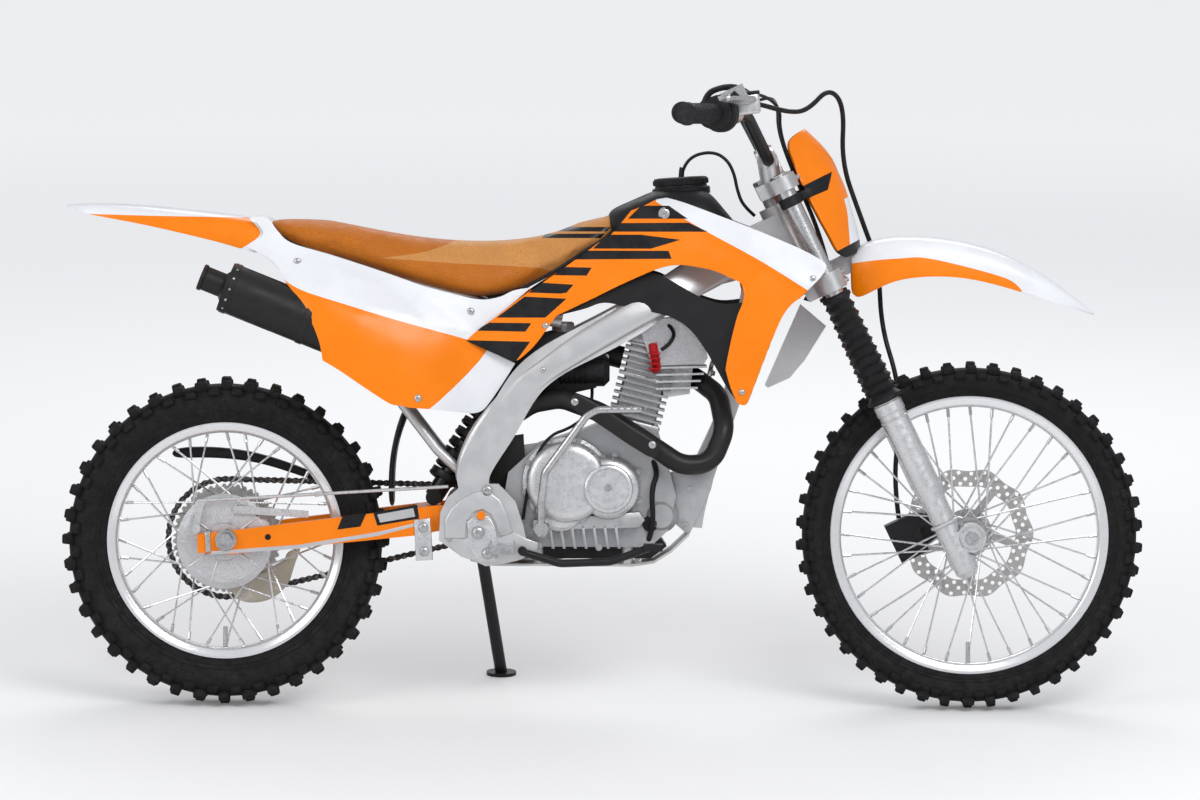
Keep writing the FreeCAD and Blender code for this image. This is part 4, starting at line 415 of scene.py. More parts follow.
def tube(bm, points, radius, sides=12):
    """Round tube along a smooth spline with the given points as its control points."""
    curve = bpy.data.curves.new("route", "CURVE")
    curve.dimensions = "3D"
    spline = curve.splines.new("NURBS")
    spline.points.add(len(points) - 1)
    for spot, point in zip(spline.points, points):
        spot.co = (*point, 1)
    spline.order_u = 3
    spline.use_endpoint_u = True
    spline.resolution_u = 8
    curve.bevel_depth = radius / 1000
    curve.bevel_resolution = sides // 4 - 1
    curve.use_fill_caps = True
    route = placed("route", curve)
    bpy.context.view_layer.update()
    bm.from_mesh(bpy.data.meshes.new_from_object(route))
    bpy.data.objects.remove(route)
    bpy.data.curves.remove(curve)


def drawn_tube(bm, spots, radius):
    """Tube through places on the drawing, each with its distance from the middle in millimetres."""
    tube(bm, [drawn(ahead, down, across / 1000) for ahead, down, across in spots], radius)


def keep(bm, name, body, finishes, nodes=(), crease=35, steps=()):
    """Turn a finished mesh into a piece: in its place, with its finishes, riding on its body."""
    bm.transform(STANCE)
    mesh = mesh_of(bm, name)
    mesh.shade_smooth()
    mesh.set_sharp_from_angle(angle=math.radians(crease))
    for finish in finishes:
        mesh.materials.append(finish_of(finish))
    piece = placed(name, mesh)
    for kind, values in steps:
        step = piece.modifiers.new(kind.title(), kind)
        for key, value in values.items():
            setattr(step, key, value)
    if nodes:
        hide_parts(*nodes)
    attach(piece, body)
    return piece


def keep_cover(bm, name, body, finishes, nodes=()):
    """Keep a thin sheet, with its wall and softened edges."""
    keep(bm, name, body, finishes, nodes, steps=[WALL, SOFT_EDGE])


def keep_solid(bm, name, body, finish, nodes=(), crease=35):
    """Keep a mesh of closed solids, with its faces turned outwards."""
    outward(bm)
    keep(bm, name, body, [finish], nodes, crease)


def keep_all(body, *parts):
    """Keep several meshes of closed solids on one body: name, finish and mesh of each."""
    for name, finish, bm in parts:
        keep_solid(bm, name, body, finish)


def outward(bm):
    """Weld a closed mesh and turn its faces outwards."""
    bmesh.ops.remove_doubles(bm, verts=bm.verts, dist=1e-6)
    bmesh.ops.recalc_face_normals(bm, faces=bm.faces)


def facing(bm, direction):
    """Turn an open sheet so that most of it faces a direction."""
    bm.normal_update()
    total = sum((face.normal * face.calc_area() for face in bm.faces), Vector())
    if total.dot(Vector(direction)) < 0:
        bmesh.ops.reverse_faces(bm, faces=bm.faces)


def smoothed(bm, levels=2):
    """Mesh with its surface subdivided smooth, as a new bmesh."""
    mesh = mesh_of(bm, "control")
    control = placed("control", mesh)
    step = control.modifiers.new("Smooth", "SUBSURF")
    step.levels = step.render_levels = levels
    bpy.context.view_layer.update()
    fine = evaluated(control)
    bpy.data.objects.remove(control)
    bpy.data.meshes.remove(mesh)
    smooth = bmesh.new()
    smooth.from_mesh(fine)
    bpy.data.meshes.remove(fine)
    return smooth


WALL = ("SOLIDIFY", {"thickness": 0.0035, "offset": -1.0, "use_even_offset": True})
SOFT_EDGE = ("BEVEL", {"width": 0.0009, "segments": 2, "limit_method": "ANGLE",
                       "angle_limit": math.radians(55), "harden_normals": False})


# Finishes

ORANGE = (0.95, 0.222, 0.0)
WHITE = (0.81, 0.825, 0.85)


def fill(tree, node, sockets):
    """Set a node's sockets: each takes a value, or a link from another node's socket."""
    for key, value in sockets.items():
        if isinstance(value, bpy.types.NodeSocket):
            tree.links.new(value, node.inputs[key])
        else:
            node.inputs[key].default_value = value


def node_in(tree, kind, sockets, **settings):
    """New shader node with its settings and sockets."""
    node = tree.nodes.new("ShaderNode" + kind)
    for key, value in settings.items():
        setattr(node, key, value)
    fill(tree, node, sockets)
    return node


class Recipe:
    """Node tree of one finish, built step by step."""

    def __init__(self, name, colour, roughness, metallic=0.0, coat=0.0, specular=0.5):
        self.base = colour
        self.material = bpy.data.materials.new(name)
        self.material.use_nodes = True
        self.material.diffuse_color = (*colour, 1)
        self.tree = self.material.node_tree
        self.shader = self.tree.nodes["Principled BSDF"]
        self.put({"Base Color": (*colour, 1), "Roughness": roughness, "Metallic": metallic,
                  "Coat Weight": coat, "Coat Roughness": 0.12, "Specular IOR Level": specular})
        self.where = self.node("TexCoord", {}).outputs["Object"]
        self.bump = None

    def put(self, sockets):
        fill(self.tree, self.shader, sockets)

    def node(self, kind, sockets, **settings):
        return node_in(self.tree, kind, sockets, **settings)

    def stretched(self, scale):
        """Coordinates stretched along one direction, for brushed or streaked marks."""
        return self.node("Mapping", {"Vector": self.where, "Scale": scale}).outputs["Vector"]

    def noise(self, scale, detail=4.0, rough=0.55, source=None):
        return self.node("TexNoise", {"Vector": source or self.where, "Scale": scale, "Detail": detail,
                                      "Roughness": rough}).outputs["Fac"]

    def cells(self, scale, feature="F1"):
        return self.node("TexVoronoi", {"Vector": self.where, "Scale": scale},
                         feature=feature).outputs["Distance"]

    def between(self, source, low, high, out_low=0.0, out_high=1.0):
        return self.node("MapRange", {"Value": source, "From Min": low, "From Max": high, "To Min": out_low,
                                      "To Max": out_high}, interpolation_type="SMOOTHSTEP").outputs["Result"]

    def maths(self, operation, one, other):
        return self.node("Math", {0: one, 1: other}, operation=operation).outputs["Value"]

    def blend(self, share, one, other):
        """Mix two colours, of which the first may be a socket."""
        pair = [(*colour, 1) if isinstance(colour, tuple) else colour for colour in (one, other)]
        return self.node("Mix", {"Factor": share, 6: pair[0], 7: pair[1]}, data_type="RGBA").outputs[2]

    def colour(self, source):
        self.put({"Base Color": source})

    def tones(self, share, one, other):
        """Two tones of the recipe's own colour, mixed."""
        return self.blend(share, shade(self.base, one), shade(self.base, other))

    def roughness(self, source):
        self.put({"Roughness": source})

    def worn_gloss(self, scale, detail, low, high):
        self.roughness(self.between(self.noise(scale, detail), 0.3, 0.7, low, high))

    def patches(self, scale, detail, low, high, rough=0.55):
        return self.between(self.noise(scale, detail, rough), low, high)

    def grain(self, scale, detail, strength, distance, rough=0.55):
        self.relief(self.noise(scale, detail, rough), strength, distance)

    def relief(self, source, strength, distance):
        """Raise the surface by a pattern, over any relief that it already has."""
        sockets = {"Strength": strength, "Distance": distance, "Height": source}
        if self.bump is not None:
            sockets["Normal"] = self.bump
        self.bump = self.node("Bump", sockets).outputs["Normal"]
        self.put({"Normal": self.bump})


def shade(colour, factor):
    return tuple(min(1.0, part * factor) for part in colour)


def moulded_cover(name, colour, roughness=0.26):
    """Glossy moulded plastic: slight ripple, fine scuffs and a little dust in its gloss."""
    r = Recipe(name, colour, roughness, coat=0.08, specular=0.28)
    soft = r.patches(9, 3, 0.35, 0.7)
    r.colour(r.tones(soft, 0.955, 1.02))
    scuffs = r.between(r.noise(60, 6, 0.7, r.stretched((1.0, 1.0, 5.0))), 0.5, 0.75)
    dust = r.between(r.noise(18), 0.3, 0.7, roughness - 0.06, roughness + 0.08)
    r.roughness(r.maths("ADD", r.maths("MULTIPLY", scuffs, 0.16), dust))
    r.grain(900, 2, 0.05, 0.0002)
    r.grain(14, 2, 0.12, 0.0012)
    return r.material


def grained_plastic(name, colour=(0.01, 0.01, 0.011), roughness=0.46):
    """Black moulded plastic with a fine leathery grain and pale scuffs."""
    r = Recipe(name, colour, roughness, specular=0.26)
    wear = r.patches(35, 8, 0.52, 0.8, 0.7)
    r.colour(r.tones(wear, 1, 2.0))
    r.worn_gloss(25, 5, roughness - 0.1, roughness + 0.16)
    r.relief(r.cells(1100), 0.22, 0.0003)
    r.grain(40, 3, 0.08, 0.0008)
    return r.material


def tyre_rubber(name):
    """Matt black rubber, greyed by dust, with moulding lines."""
    base = (0.008, 0.008, 0.0085)
    r = Recipe(name, base, 0.72, specular=0.22)
    dust = r.patches(22, 8, 0.42, 0.78, 0.65)
    fine = r.patches(260, 4, 0.4, 0.7)
    r.colour(r.blend(r.maths("MULTIPLY", dust, fine), base, (0.032, 0.03, 0.028)))
    r.worn_gloss(70, 5, 0.58, 0.86)
    r.grain(700, 5, 0.35, 0.0005)
    r.grain(90, 3, 0.2, 0.0012)
    return r.material


def soft_rubber(name, colour=(0.009, 0.009, 0.01), roughness=0.5):
    """Moulded rubber of gaiters, grips and hoses."""
    r = Recipe(name, colour, roughness, specular=0.26)
    r.colour(r.tones(r.patches(50, 6, 0.45, 0.8), 1, 2))
    r.worn_gloss(90, 4, roughness - 0.12, roughness + 0.14)
    r.grain(1400, 3, 0.2, 0.0003)
    return r.material


def cast_alloy(name, colour=(0.5, 0.5, 0.51), roughness=0.4):
    """Satin silver casting: sandy grain, dull patches, and painted shade that darkens its corners."""
    r = Recipe(name, colour, roughness, metallic=0.72)
    patch = r.patches(28, 6, 0.35, 0.75, 0.6)
    tone = r.tones(patch, 0.94, 1.04)
    # Painted shade: an ambient-occlusion mask darkens the colour towards near-black in corners and crevices.
    corner = r.node("AmbientOcclusion", {"Distance": 0.012}, samples=4)
    painted_corner_shade = r.between(corner.outputs["AO"], 0.15, 0.75, 1.0, 0.0)
    r.colour(r.blend(r.maths("MULTIPLY", painted_corner_shade, 0.6), tone, (0.05, 0.048, 0.045)))
    r.roughness(r.between(r.noise(120, 5), 0.3, 0.75, roughness - 0.1, roughness + 0.16))
    r.grain(1500, 4, 0.12, 0.0003, 0.6)
    r.grain(45, 3, 0.05, 0.0006)
    return r.material


def silver_paint(name, colour=(0.56, 0.56, 0.565)):
    """Silver paint over welded alloy: fine flake and a soft gloss."""
    r = Recipe(name, colour, 0.36, metallic=0.55, coat=0.3)
    flake = r.between(r.cells(3200), 0.1, 0.6)
    r.colour(r.tones(flake, 0.93, 1.08))
    r.roughness(r.between(r.noise(26, 6), 0.35, 0.75, 0.28, 0.5))
    r.grain(400, 4, 0.06, 0.0003)
    r.grain(18, 2, 0.05, 0.001)
    return r.material


def polished_alloy(name, centre, colour=(0.84, 0.84, 0.85)):
    """Polished rim: fine marks that run round the wheel, and small dull spots."""
    r = Recipe(name, colour, 0.2, metallic=0.62)
    upright = r.node("Mapping", {"Vector": r.where, "Location": STANCE @ Vector(centre),
                                 "Rotation": (-LEAN, 0, 0)}, vector_type="TEXTURE")
    place = r.node("SeparateXYZ", {"Vector": upright.outputs["Vector"]}).outputs
    out = r.maths("SQRT", r.maths("ADD", r.maths("MULTIPLY", place["X"], place["X"]),
                                  r.maths("MULTIPLY", place["Z"], place["Z"])), 0)
    rings = r.node("CombineXYZ", {"X": r.maths("MULTIPLY", out, 60.0),
                                  "Y": r.maths("MULTIPLY", place["Y"], 60.0)})
    marks = r.noise(40, 6, 0.7, rings.outputs["Vector"])
    r.roughness(r.between(marks, 0.25, 0.8, 0.1, 0.3))
    dull = r.patches(80, 6, 0.58, 0.78, 0.7)
    r.colour(r.tones(dull, 1, 0.7))
    r.relief(marks, 0.08, 0.0002)
    return r.material


def bright_steel(name, colour=(0.58, 0.58, 0.585), roughness=0.28):
    """Zinc-plated or ground steel with fine scratches and slight tarnish."""
    r = Recipe(name, colour, roughness, metallic=1.0)
    tarnish = r.patches(55, 7, 0.45, 0.8, 0.65)
    r.colour(r.tones(tarnish, 1, 0.68))
    r.roughness(r.between(r.noise(300, 6, 0.7), 0.3, 0.75, roughness - 0.1, roughness + 0.18))
    r.grain(800, 3, 0.1, 0.0002)
    return r.material


def satin_black(name, colour=(0.012, 0.012, 0.013), roughness=0.36):
    """Black paint on steel, orange-peeled, with worn spots."""
    r = Recipe(name, colour, roughness, specular=0.3)
    worn = r.patches(48, 8, 0.6, 0.84, 0.72)
    r.colour(r.blend(worn, colour, (0.045, 0.044, 0.043)))
    r.roughness(r.between(r.noise(32, 5), 0.3, 0.75, roughness - 0.1, roughness + 0.18))
    r.grain(620, 3, 0.14, 0.0004)
    return r.material


def oiled_chain(name):
    """Dark oiled chain steel with bright rubbed places."""
    r = Recipe(name, (0.1, 0.095, 0.088), 0.4, metallic=0.85)
    rubbed = r.patches(160, 6, 0.45, 0.7, 0.7)
    r.colour(r.blend(rubbed, (0.035, 0.032, 0.03), (0.26, 0.25, 0.24)))
    r.worn_gloss(240, 4, 0.28, 0.62)
    r.grain(900, 3, 0.15, 0.0003)
    return r.material


def brushed_sheet(name, colour=(0.66, 0.655, 0.63)):
    """Brushed pale sheet with long fine marks and scrapes underneath."""
    r = Recipe(name, colour, 0.4, metallic=0.6)
    marks = r.noise(70, 6, 0.7, r.stretched((0.6, 9.0, 9.0)))
    r.colour(r.tones(r.between(marks, 0.3, 0.75), 0.85, 1.05))
    r.roughness(r.between(marks, 0.25, 0.8, 0.28, 0.55))
    r.relief(marks, 0.14, 0.0003)
    return r.material


def seat_cloth(name, colour):
    """Gripping seat cover: small pebbled grain with a dull sheen and rubbed tops."""
    r = Recipe(name, colour, 0.62, specular=0.35)
    pebble = r.cells(620, "SMOOTH_F1")
    rubbed = r.patches(11, 5, 0.4, 0.75)
    tone = r.tones(rubbed, 0.9, 1.07)
    r.colour(r.blend(r.between(pebble, 0.25, 0.75), tone, shade(colour, 0.72)))
    r.worn_gloss(70, 5, 0.52, 0.74)
    r.relief(pebble, 0.5, 0.0006)
    r.grain(30, 3, 0.15, 0.0016)
    r.put({"Sheen Weight": 0.12, "Sheen Roughness": 0.5})
    return r.material


def printed_film(name, colour=(0.008, 0.008, 0.009)):
    """Thin printed film over the plastic: smooth, with tiny edge scuffs."""
    r = Recipe(name, colour, 0.34, specular=0.3)
    scuffs = r.between(r.noise(90, 8, 0.75, r.stretched((1.0, 1.0, 4.0))), 0.58, 0.8)
    r.colour(r.tones(scuffs, 1, 3.2))
    r.worn_gloss(40, 5, 0.22, 0.44)
    r.grain(500, 2, 0.06, 0.0002)
    return r.material


# What makes each finish, the record's slot that its pieces take, and its own colour and values
RECIPES = {
    "orange cover": (moulded_cover, "orange_plastic", ORANGE),
    "white cover": (moulded_cover, "white_plastic", WHITE),
    "black film": (printed_film, "black_plastic"),
    "black plastic": (grained_plastic, "black_plastic"),
    "cream plastic": (grained_plastic, "black_plastic", (0.6, 0.54, 0.44), 0.5),
    "tyre rubber": (tyre_rubber, "tyre_rubber"),
    "black rubber": (soft_rubber, "black_rubber"),
    "red rubber": (soft_rubber, "red_rubber", (0.42, 0.008, 0.012), 0.4),
    "cast alloy": (cast_alloy, "cast_alloy"),
    "bright casting": (cast_alloy, "cast_alloy", (0.68, 0.68, 0.69), 0.32),
    "silver paint": (silver_paint, "frame_silver"),
    "front rim alloy": (polished_alloy, "rim_alloy", FRONT_AXLE),
    "rear rim alloy": (polished_alloy, "rim_alloy", REAR_AXLE),
    "spoke steel": (bright_steel, "plated_steel", (0.74, 0.74, 0.75), 0.24),
    "plated steel": (bright_steel, "plated_steel"),
    "disc steel": (bright_steel, "plated_steel", (0.55, 0.54, 0.52), 0.34),
    "chain steel": (oiled_chain, "chain_steel"),
    "satin black": (satin_black, "black_steel"),
    "exhaust black": (satin_black, "black_steel", (0.014, 0.013, 0.013), 0.42),
    "orange paint": (moulded_cover, "orange_plastic", shade(ORANGE, 0.97), 0.3),
    "skid sheet": (brushed_sheet, "pale_alloy"),
    "seat orange": (seat_cloth, "seat_cover", (0.56, 0.155, 0.002)),
    "seat tan": (seat_cloth, "seat_cover", (0.66, 0.285, 0.07)),
}
FINISHES = {}


def finish_of(name):
    """Finish by its name, made when it is first asked for."""
    if name not in FINISHES:
        make, _, *values = RECIPES[name]
        FINISHES[name] = make(name.replace(" ", "_"), *values)
    return FINISHES[name]


# Sizes and colours


def distance(name, description, default, low, high):
    return bpy.props.FloatProperty(
        name=name, description=description, default=default, min=low, max=high, subtype="DISTANCE",
        unit="LENGTH")


class BikeLooks(bpy.types.PropertyGroup):
    """Sizes and colours of the dressed bike."""

    lug_rows: bpy.props.IntProperty(
        name="Lug rows", description="Rows of lugs round the rear tyre", default=40, min=12, max=80)
    lug_height: distance("Lug height", "Height of the tyres' lugs", 0.0125, 0.004, 0.02)
    cover_step: distance("Cover step", "Mesh step of the moulded covers", 0.008, 0.003, 0.03)
    cushion_puff: distance("Seat puff", "How far the seat's pad may swell", 0.006, 0.0, 0.02)
    floor_colour: bpy.props.FloatVectorProperty(
        name="Floor", description="Colour of the studio floor", default=(0.8, 0.8, 0.8), min=0, max=1,
        size=3, subtype="COLOR")
    light_level: bpy.props.FloatProperty(
        name="Light", description="Strength of the studio's soft light", default=0.95, min=0.0, max=4.0)


# Covers


def onto_side(bm, side):
    """Stand a flat sheet up in the side view, facing out on its side."""
    for vert in bm.verts:
        vert.co = Vector((vert.co.x, side * vert.co.z, vert.co.y))
    facing(bm, (0, side, 0))


SHROUD_RUNS = [
    [(466, 341), (478, 330), (496, 317), (520, 298), (545, 281), (572, 262), (598, 243), (612, 233),
     (630, 211)],
    [(630, 211), (645, 205), (655, 200), (666, 198)],
    [(666, 198), (685, 203.5), (720, 216.5), (760, 232), (800, 249), (820, 260), (825.5, 266), (822, 274),
     (808, 289)],
    [(808, 289), (800, 297), (790, 305), (781, 318), (771, 341), (762, 364), (753, 388), (747, 403),
     (742, 405), (737, 402)],
    [(737, 402), (731, 388), (726.5, 373), (726, 366), (731, 340), (737, 316), (742, 303), (743.5, 292),
     (740, 283), (732, 279)],
    [(732, 279), (714, 271), (696, 267), (678, 265), (660, 268), (640, 276), (616, 287), (596, 297),
     (575, 307), (556, 316)],
    [(556, 316), (546, 330), (534, 346), (521, 358), (514, 362)],
    [(514, 362), (490, 352), (466, 341)],
]
STRIPE_RUNS = [
    [(655, 202), (685, 220), (710, 234), (760, 261), (807, 290)],
    [(807, 290), (822, 300), (840, 270), (824, 250), (760, 215), (690, 190), (655, 190)],
    [(655, 190), (655, 202)],
]
BARS = [
    [(640, 206), (668, 206), (687, 219), (627, 219)],
    [(602, 223.5), (688, 223), (707, 232), (604, 232)],
    [(607, 235), (640, 235), (680, 240), (660, 246), (650, 249), (592, 249)],
    [(570, 251), (668, 251), (671, 259), (560, 260)],
    [(552, 267), (591, 268), (586, 276), (543, 275.5)],
    [(540, 283), (573, 285), (566, 293), (560, 294), (528, 293)],
    [(524, 297), (566, 299), (545, 318), (496, 318)],
    [(489, 323), (531, 323.5), (525, 332), (474, 331)],
    [(464, 340.5), (530, 342), (514, 364)],
]
SHROUD_FORM = [
    (430, 661, 124), (430, 600, 128), (545, 756, 113), (545, 700, 121), (545, 640, 130), (669, 843, 106),
    (669, 800, 113), (669, 749, 126), (784, 913, 100), (784, 860, 112), (784, 790, 132), (881, 877, 112),
    (881, 783, 141), (881, 600, 149), (913, 866, 119), (913, 720, 150), (913, 551, 154), (952, 850, 128),
    (952, 740, 155), (952, 619, 159), (1022, 819, 142), (1022, 734, 161), (1068, 796, 152), (1068, 740, 158),
    (720, 700, 128), (780, 640, 136),
]
BRACE_RUNS = [
    [(556, 316), (575, 306), (600, 294), (625, 283), (649, 272)],
    [(649, 272), (662, 276), (680, 286), (700, 297), (722, 303.5), (744, 302)],
    [(744, 302), (738, 330), (731, 365), (738, 402)],
    [(738, 402), (728, 389), (716, 368), (704, 348), (691, 331), (675, 319), (655, 313), (630, 308),
     (604, 303), (584, 309), (556, 316)],
]
BRACE_FORM = [(900, 815, 112), (900, 600, 136), (830, 700, 118), (780, 760, 108), (780, 700, 112),
              (700, 720, 108), (700, 690, 108), (830, 760, 110), (640, 690, 116), (950, 700, 140)]
PANEL_RUNS = [
    [(269, 222), (276, 232), (290, 243.5), (330, 255.5), (380, 271.5), (420, 285.5), (450, 293.5),
     (470, 298.5), (485, 300), (500, 297), (513, 291), (530, 288)],
    [(530, 288), (520, 297), (496, 317), (478, 330), (467, 341)],
    [(467, 341), (490, 352), (515, 364)],
    [(515, 364), (502, 385), (489, 404), (481, 412), (470, 414), (450, 411.5), (430, 409), (411, 407.5)],
    [(411, 407.5), (400, 405), (390, 403), (365, 387), (340, 370), (323, 360)],
    [(323, 360), (319, 340), (309, 316), (297, 297), (284, 281), (276, 267), (262, 256), (243, 247)],
    [(243, 247), (261, 234), (249, 217.5)],
    [(249, 217.5), (262, 217.5), (269, 222)],
]
PANEL_ORANGE = [
    [(278, 276), (300, 289.5), (345, 304), (400, 321), (450, 335), (467, 340)],
    [(467, 340), (486, 352), (427, 411), (390, 420), (300, 400), (270, 300), (278, 276)],
]
PANEL_FORM = [
    (30, 870, 80), (30, 800, 86), (76, 873, 86), (76, 805, 100), (109, 838, 89), (109, 763, 134),
    (137, 828, 91), (137, 722, 160), (164, 818, 94), (164, 740, 158), (164, 666, 170), (178, 815, 96),
    (178, 625, 171), (250, 792, 104), (250, 700, 166), (250, 580, 174), (314, 772, 108), (314, 660, 160),
    (314, 538, 169), (385, 750, 111), (385, 640, 143), (385, 529, 150), (440, 734, 110), (440, 640, 122),
    (440, 529, 116), (513, 734, 109), (513, 620, 112),
]
LEFT_PANEL_SHARE = 0.45
PANEL_FOLDS = [
    ([(312, 262), (345, 270), (375, 281), (396, 294), (410, 307), (421, 321)], -0.0035, 0.006),
    ([(392, 284), (420, 299), (445, 314), (466, 331)], -0.002, 0.004),
    ([(276, 276), (300, 286), (345, 300), (400, 317), (450, 331), (466, 337)], 0.002, 0.004),
]
SHROUD_FOLDS = [
    ([(655, 204), (685, 222), (710, 236), (760, 263), (806, 291)], 0.004, 0.005),
    ([(598, 300), (640, 280), (678, 270), (716, 276), (742, 288)], -0.003, 0.005),
    ([(812, 284), (790, 312), (768, 352), (750, 396)], 0.0025, 0.005),
]


SHROUD_BOLTS = [((664, 214), 8.5), ((545, 326), 4), ((742, 392), 4), ((812, 279), 5)]
PANEL_BOLTS = [(296, 262), (470, 312), (418, 398)]
COVER_DEPTH = -0.14
PANEL_ROOT = 90


def form_of(spots, share=1):
    """Form of a side cover from spots in millimetres; a share brings it in towards the frame."""
    rows = []
    for ahead, level, out in spots:
        if out > PANEL_ROOT:
            out = PANEL_ROOT + (out - PANEL_ROOT) * share
        rows.append((ahead / 1000, level / 1000, out / 1000))
    return Form(rows)


def folds_of(folds):
    return [(flat_line(line, COVER_DEPTH), height, reach) for line, height, reach in folds]


def cover_seat(spot, form, side):
    """Seat on the face of a side cover, at a place on the drawing."""
    point = drawn(*spot, COVER_DEPTH)
    return seat_at((point.x, side * form.height(point.x, point.z), point.z), (0, side, 0))


class BIKE_OT_shrouds(bpy.types.Operator):
    """Tank shrouds: flared orange covers with a white upper stripe, black bars and an inner brace"""

    bl_idname = "bike.shrouds"
    bl_label = "Tank Shrouds"

    def execute(self, context):
        step = context.scene.bike_looks.cover_step
        for side, name in SIDES:
            form = form_of(SHROUD_FORM)
            bm = sheet_of(outline_of(SHROUD_RUNS, COVER_DEPTH), form, step, folds_of(SHROUD_FOLDS))
            inlay(bm, outline_of(STRIPE_RUNS, COVER_DEPTH), 1)
            for bar in BARS:
                inlay(bm, flat_line(bar, COVER_DEPTH), 2)
            onto_side(bm, side)
            keep_cover(bm, f"shroud_cover_{name}", "root", ["orange cover", "white cover", "black film"],
                       [f"tank_shroud_{name}"])
            brace = sheet_of(outline_of(BRACE_RUNS, -0.12), form_of(BRACE_FORM), step)
            onto_side(brace, side)
            keep_cover(brace, f"shroud_brace_{name}", "root", ["black plastic"])
            bolts = bmesh.new()
            for spot, size in SHROUD_BOLTS:
                bolt_on(bolts, cover_seat(spot, form, side), size, 3.5, False)
            keep_solid(bolts, f"shroud_bolts_{name}", "root", "plated steel")
        return {"FINISHED"}


class BIKE_OT_side_panels(bpy.types.Operator):
    """Side panels under the seat: white above, orange below, with pressed fold lines"""

    bl_idname = "bike.side_panels"
    bl_label = "Side Panels"

    def execute(self, context):
        step = context.scene.bike_looks.cover_step
        for side, name in SIDES:
            form = form_of(PANEL_FORM, 1 if side == RIGHT else LEFT_PANEL_SHARE)
            bm = sheet_of(outline_of(PANEL_RUNS, COVER_DEPTH), form, step, folds_of(PANEL_FOLDS))
            inlay(bm, outline_of(PANEL_ORANGE, COVER_DEPTH), 1)
            onto_side(bm, side)
            keep_cover(bm, f"panel_cover_{name}", "root", ["white cover", "orange cover"],
                       [f"side_panel_{name}"])
            bolts = bmesh.new()
            for spot in PANEL_BOLTS:
                bolt_on(bolts, cover_seat(spot, form, side), 5, 3, False)
            keep_solid(bolts, f"panel_bolts_{name}", "root", "plated steel")
        return {"FINISHED"}


TAIL_CREST = [(67, 204.5), (85, 203), (110, 203), (150, 205), (200, 210.5), (240, 215), (268, 219)]
TAIL_EDGE = [(67.5, 205.5), (85, 213), (110, 217), (150, 224.5), (195, 235), (236, 245), (262, 255.5)]
TAIL_HALF = [0.4, 0.74, 0.86, 0.93, 0.97, 1.0, 1.0]
TAIL_ORANGE = [
    [(84, 213), (150, 215), (200, 216), (249, 217)],
    [(249, 217), (261.5, 233), (243, 247.5)],
    [(243, 247.5), (180, 240), (84, 220), (84, 213)],
]
ARCH = [(-1.0, 0.0), (-0.985, 0.36), (-0.93, 0.7), (-0.8, 0.9), (-0.55, 0.975), (-0.28, 0.995), (0.0, 1.0)]
ARCH += [(-across, up) for across, up in reversed(ARCH[:-1])]


def arched_blade(crest, edge, halves, half):
    """Sheet that arches over from edge to edge along a crest, smooth along its run."""
    rows = []
    for (a, d), (a_low, d_low), share in zip(crest, edge, halves):
        top, low = drawn(a, d), drawn(a_low, d_low)
        rows.append([low + (top - low) * up + ACROSS * half * share * across for across, up in ARCH])
    bm = bmesh.new()
    loft(bm, rows, closed=False)
    return smoothed(bm)


def across_inlay(bm, outline, finish):
    """Give the parts of an arched sheet that lie inside a side outline another finish."""
    for vert in bm.verts:
        vert.co = vert.co.xzy
    inlay(bm, outline, finish)
    for vert in bm.verts:
        vert.co = vert.co.xzy


class BIKE_OT_rear_fender(bpy.types.Operator):
    """Rear fender: a broad white blade with orange flanks behind the seat"""

    bl_idname = "bike.rear_fender"
    bl_label = "Rear Fender"

    def execute(self, context):
        bm = arched_blade(TAIL_CREST, TAIL_EDGE, TAIL_HALF, 0.086)
        across_inlay(bm, outline_of(TAIL_ORANGE), 1)
        facing(bm, (0, 0, 1))
        keep_cover(bm, "rear_fender_blade", "root", ["white cover", "orange cover"],
                   ["rear_fender"])
        return {"FINISHED"}


FENDER_CREST = [(850, 252), (866, 240.5), (890, 235.5), (925, 235.5), (960, 240), (1000, 250.5),
                (1045, 275), (1078, 300), (1094, 313.5)]
FENDER_EDGE = [(852, 300), (868, 292), (892, 279), (925, 275), (962, 276), (1000, 285), (1040, 298),
               (1068, 307), (1089, 314)]
FENDER_HALF = [0.66, 0.86, 0.96, 1.0, 1.0, 0.96, 0.84, 0.6, 0.22]
FENDER_ORANGE = [
    [(838, 265), (870, 260), (900, 257.5), (922, 257), (960, 265), (1005, 278), (1020, 290)],
    [(1020, 290), (1000, 300), (900, 310), (838, 312), (838, 265)],
]


class BIKE_OT_front_fender(bpy.types.Operator):
    """Front fender: a high beaked blade, white above and orange along its flanks"""

    bl_idname = "bike.front_fender"
    bl_label = "Front Fender"

    def execute(self, context):
        bm = arched_blade(FENDER_CREST, FENDER_EDGE, FENDER_HALF, 0.07)
        across_inlay(bm, outline_of(FENDER_ORANGE), 1)
        facing(bm, (0, 0, 1))
        keep_cover(bm, "front_fender_blade", "steering", ["white cover", "orange cover"],
                   ["front_fender"])
        return {"FINISHED"}


TANK_ROWS = [
    (606, 211, 235, 60), (622, 204, 240, 84), (640, 196, 244, 90), (656, 189, 246, 92), (676, 187, 247, 92),
    (700, 187.5, 248, 90), (712, 195, 248, 84), (726, 213, 246, 72), (738, 226, 244, 56),
]
CAP_FOOT = (680, 190)


def ring_across(ahead, half, left):
    """Ring of points across the bike, from the shares and levels of its left half."""
    right = [(-share, level) for share, level in reversed(left)]
    return [Vector((ahead, share * half, level)) for share, level in right[-1:] + left + right[:-1]]


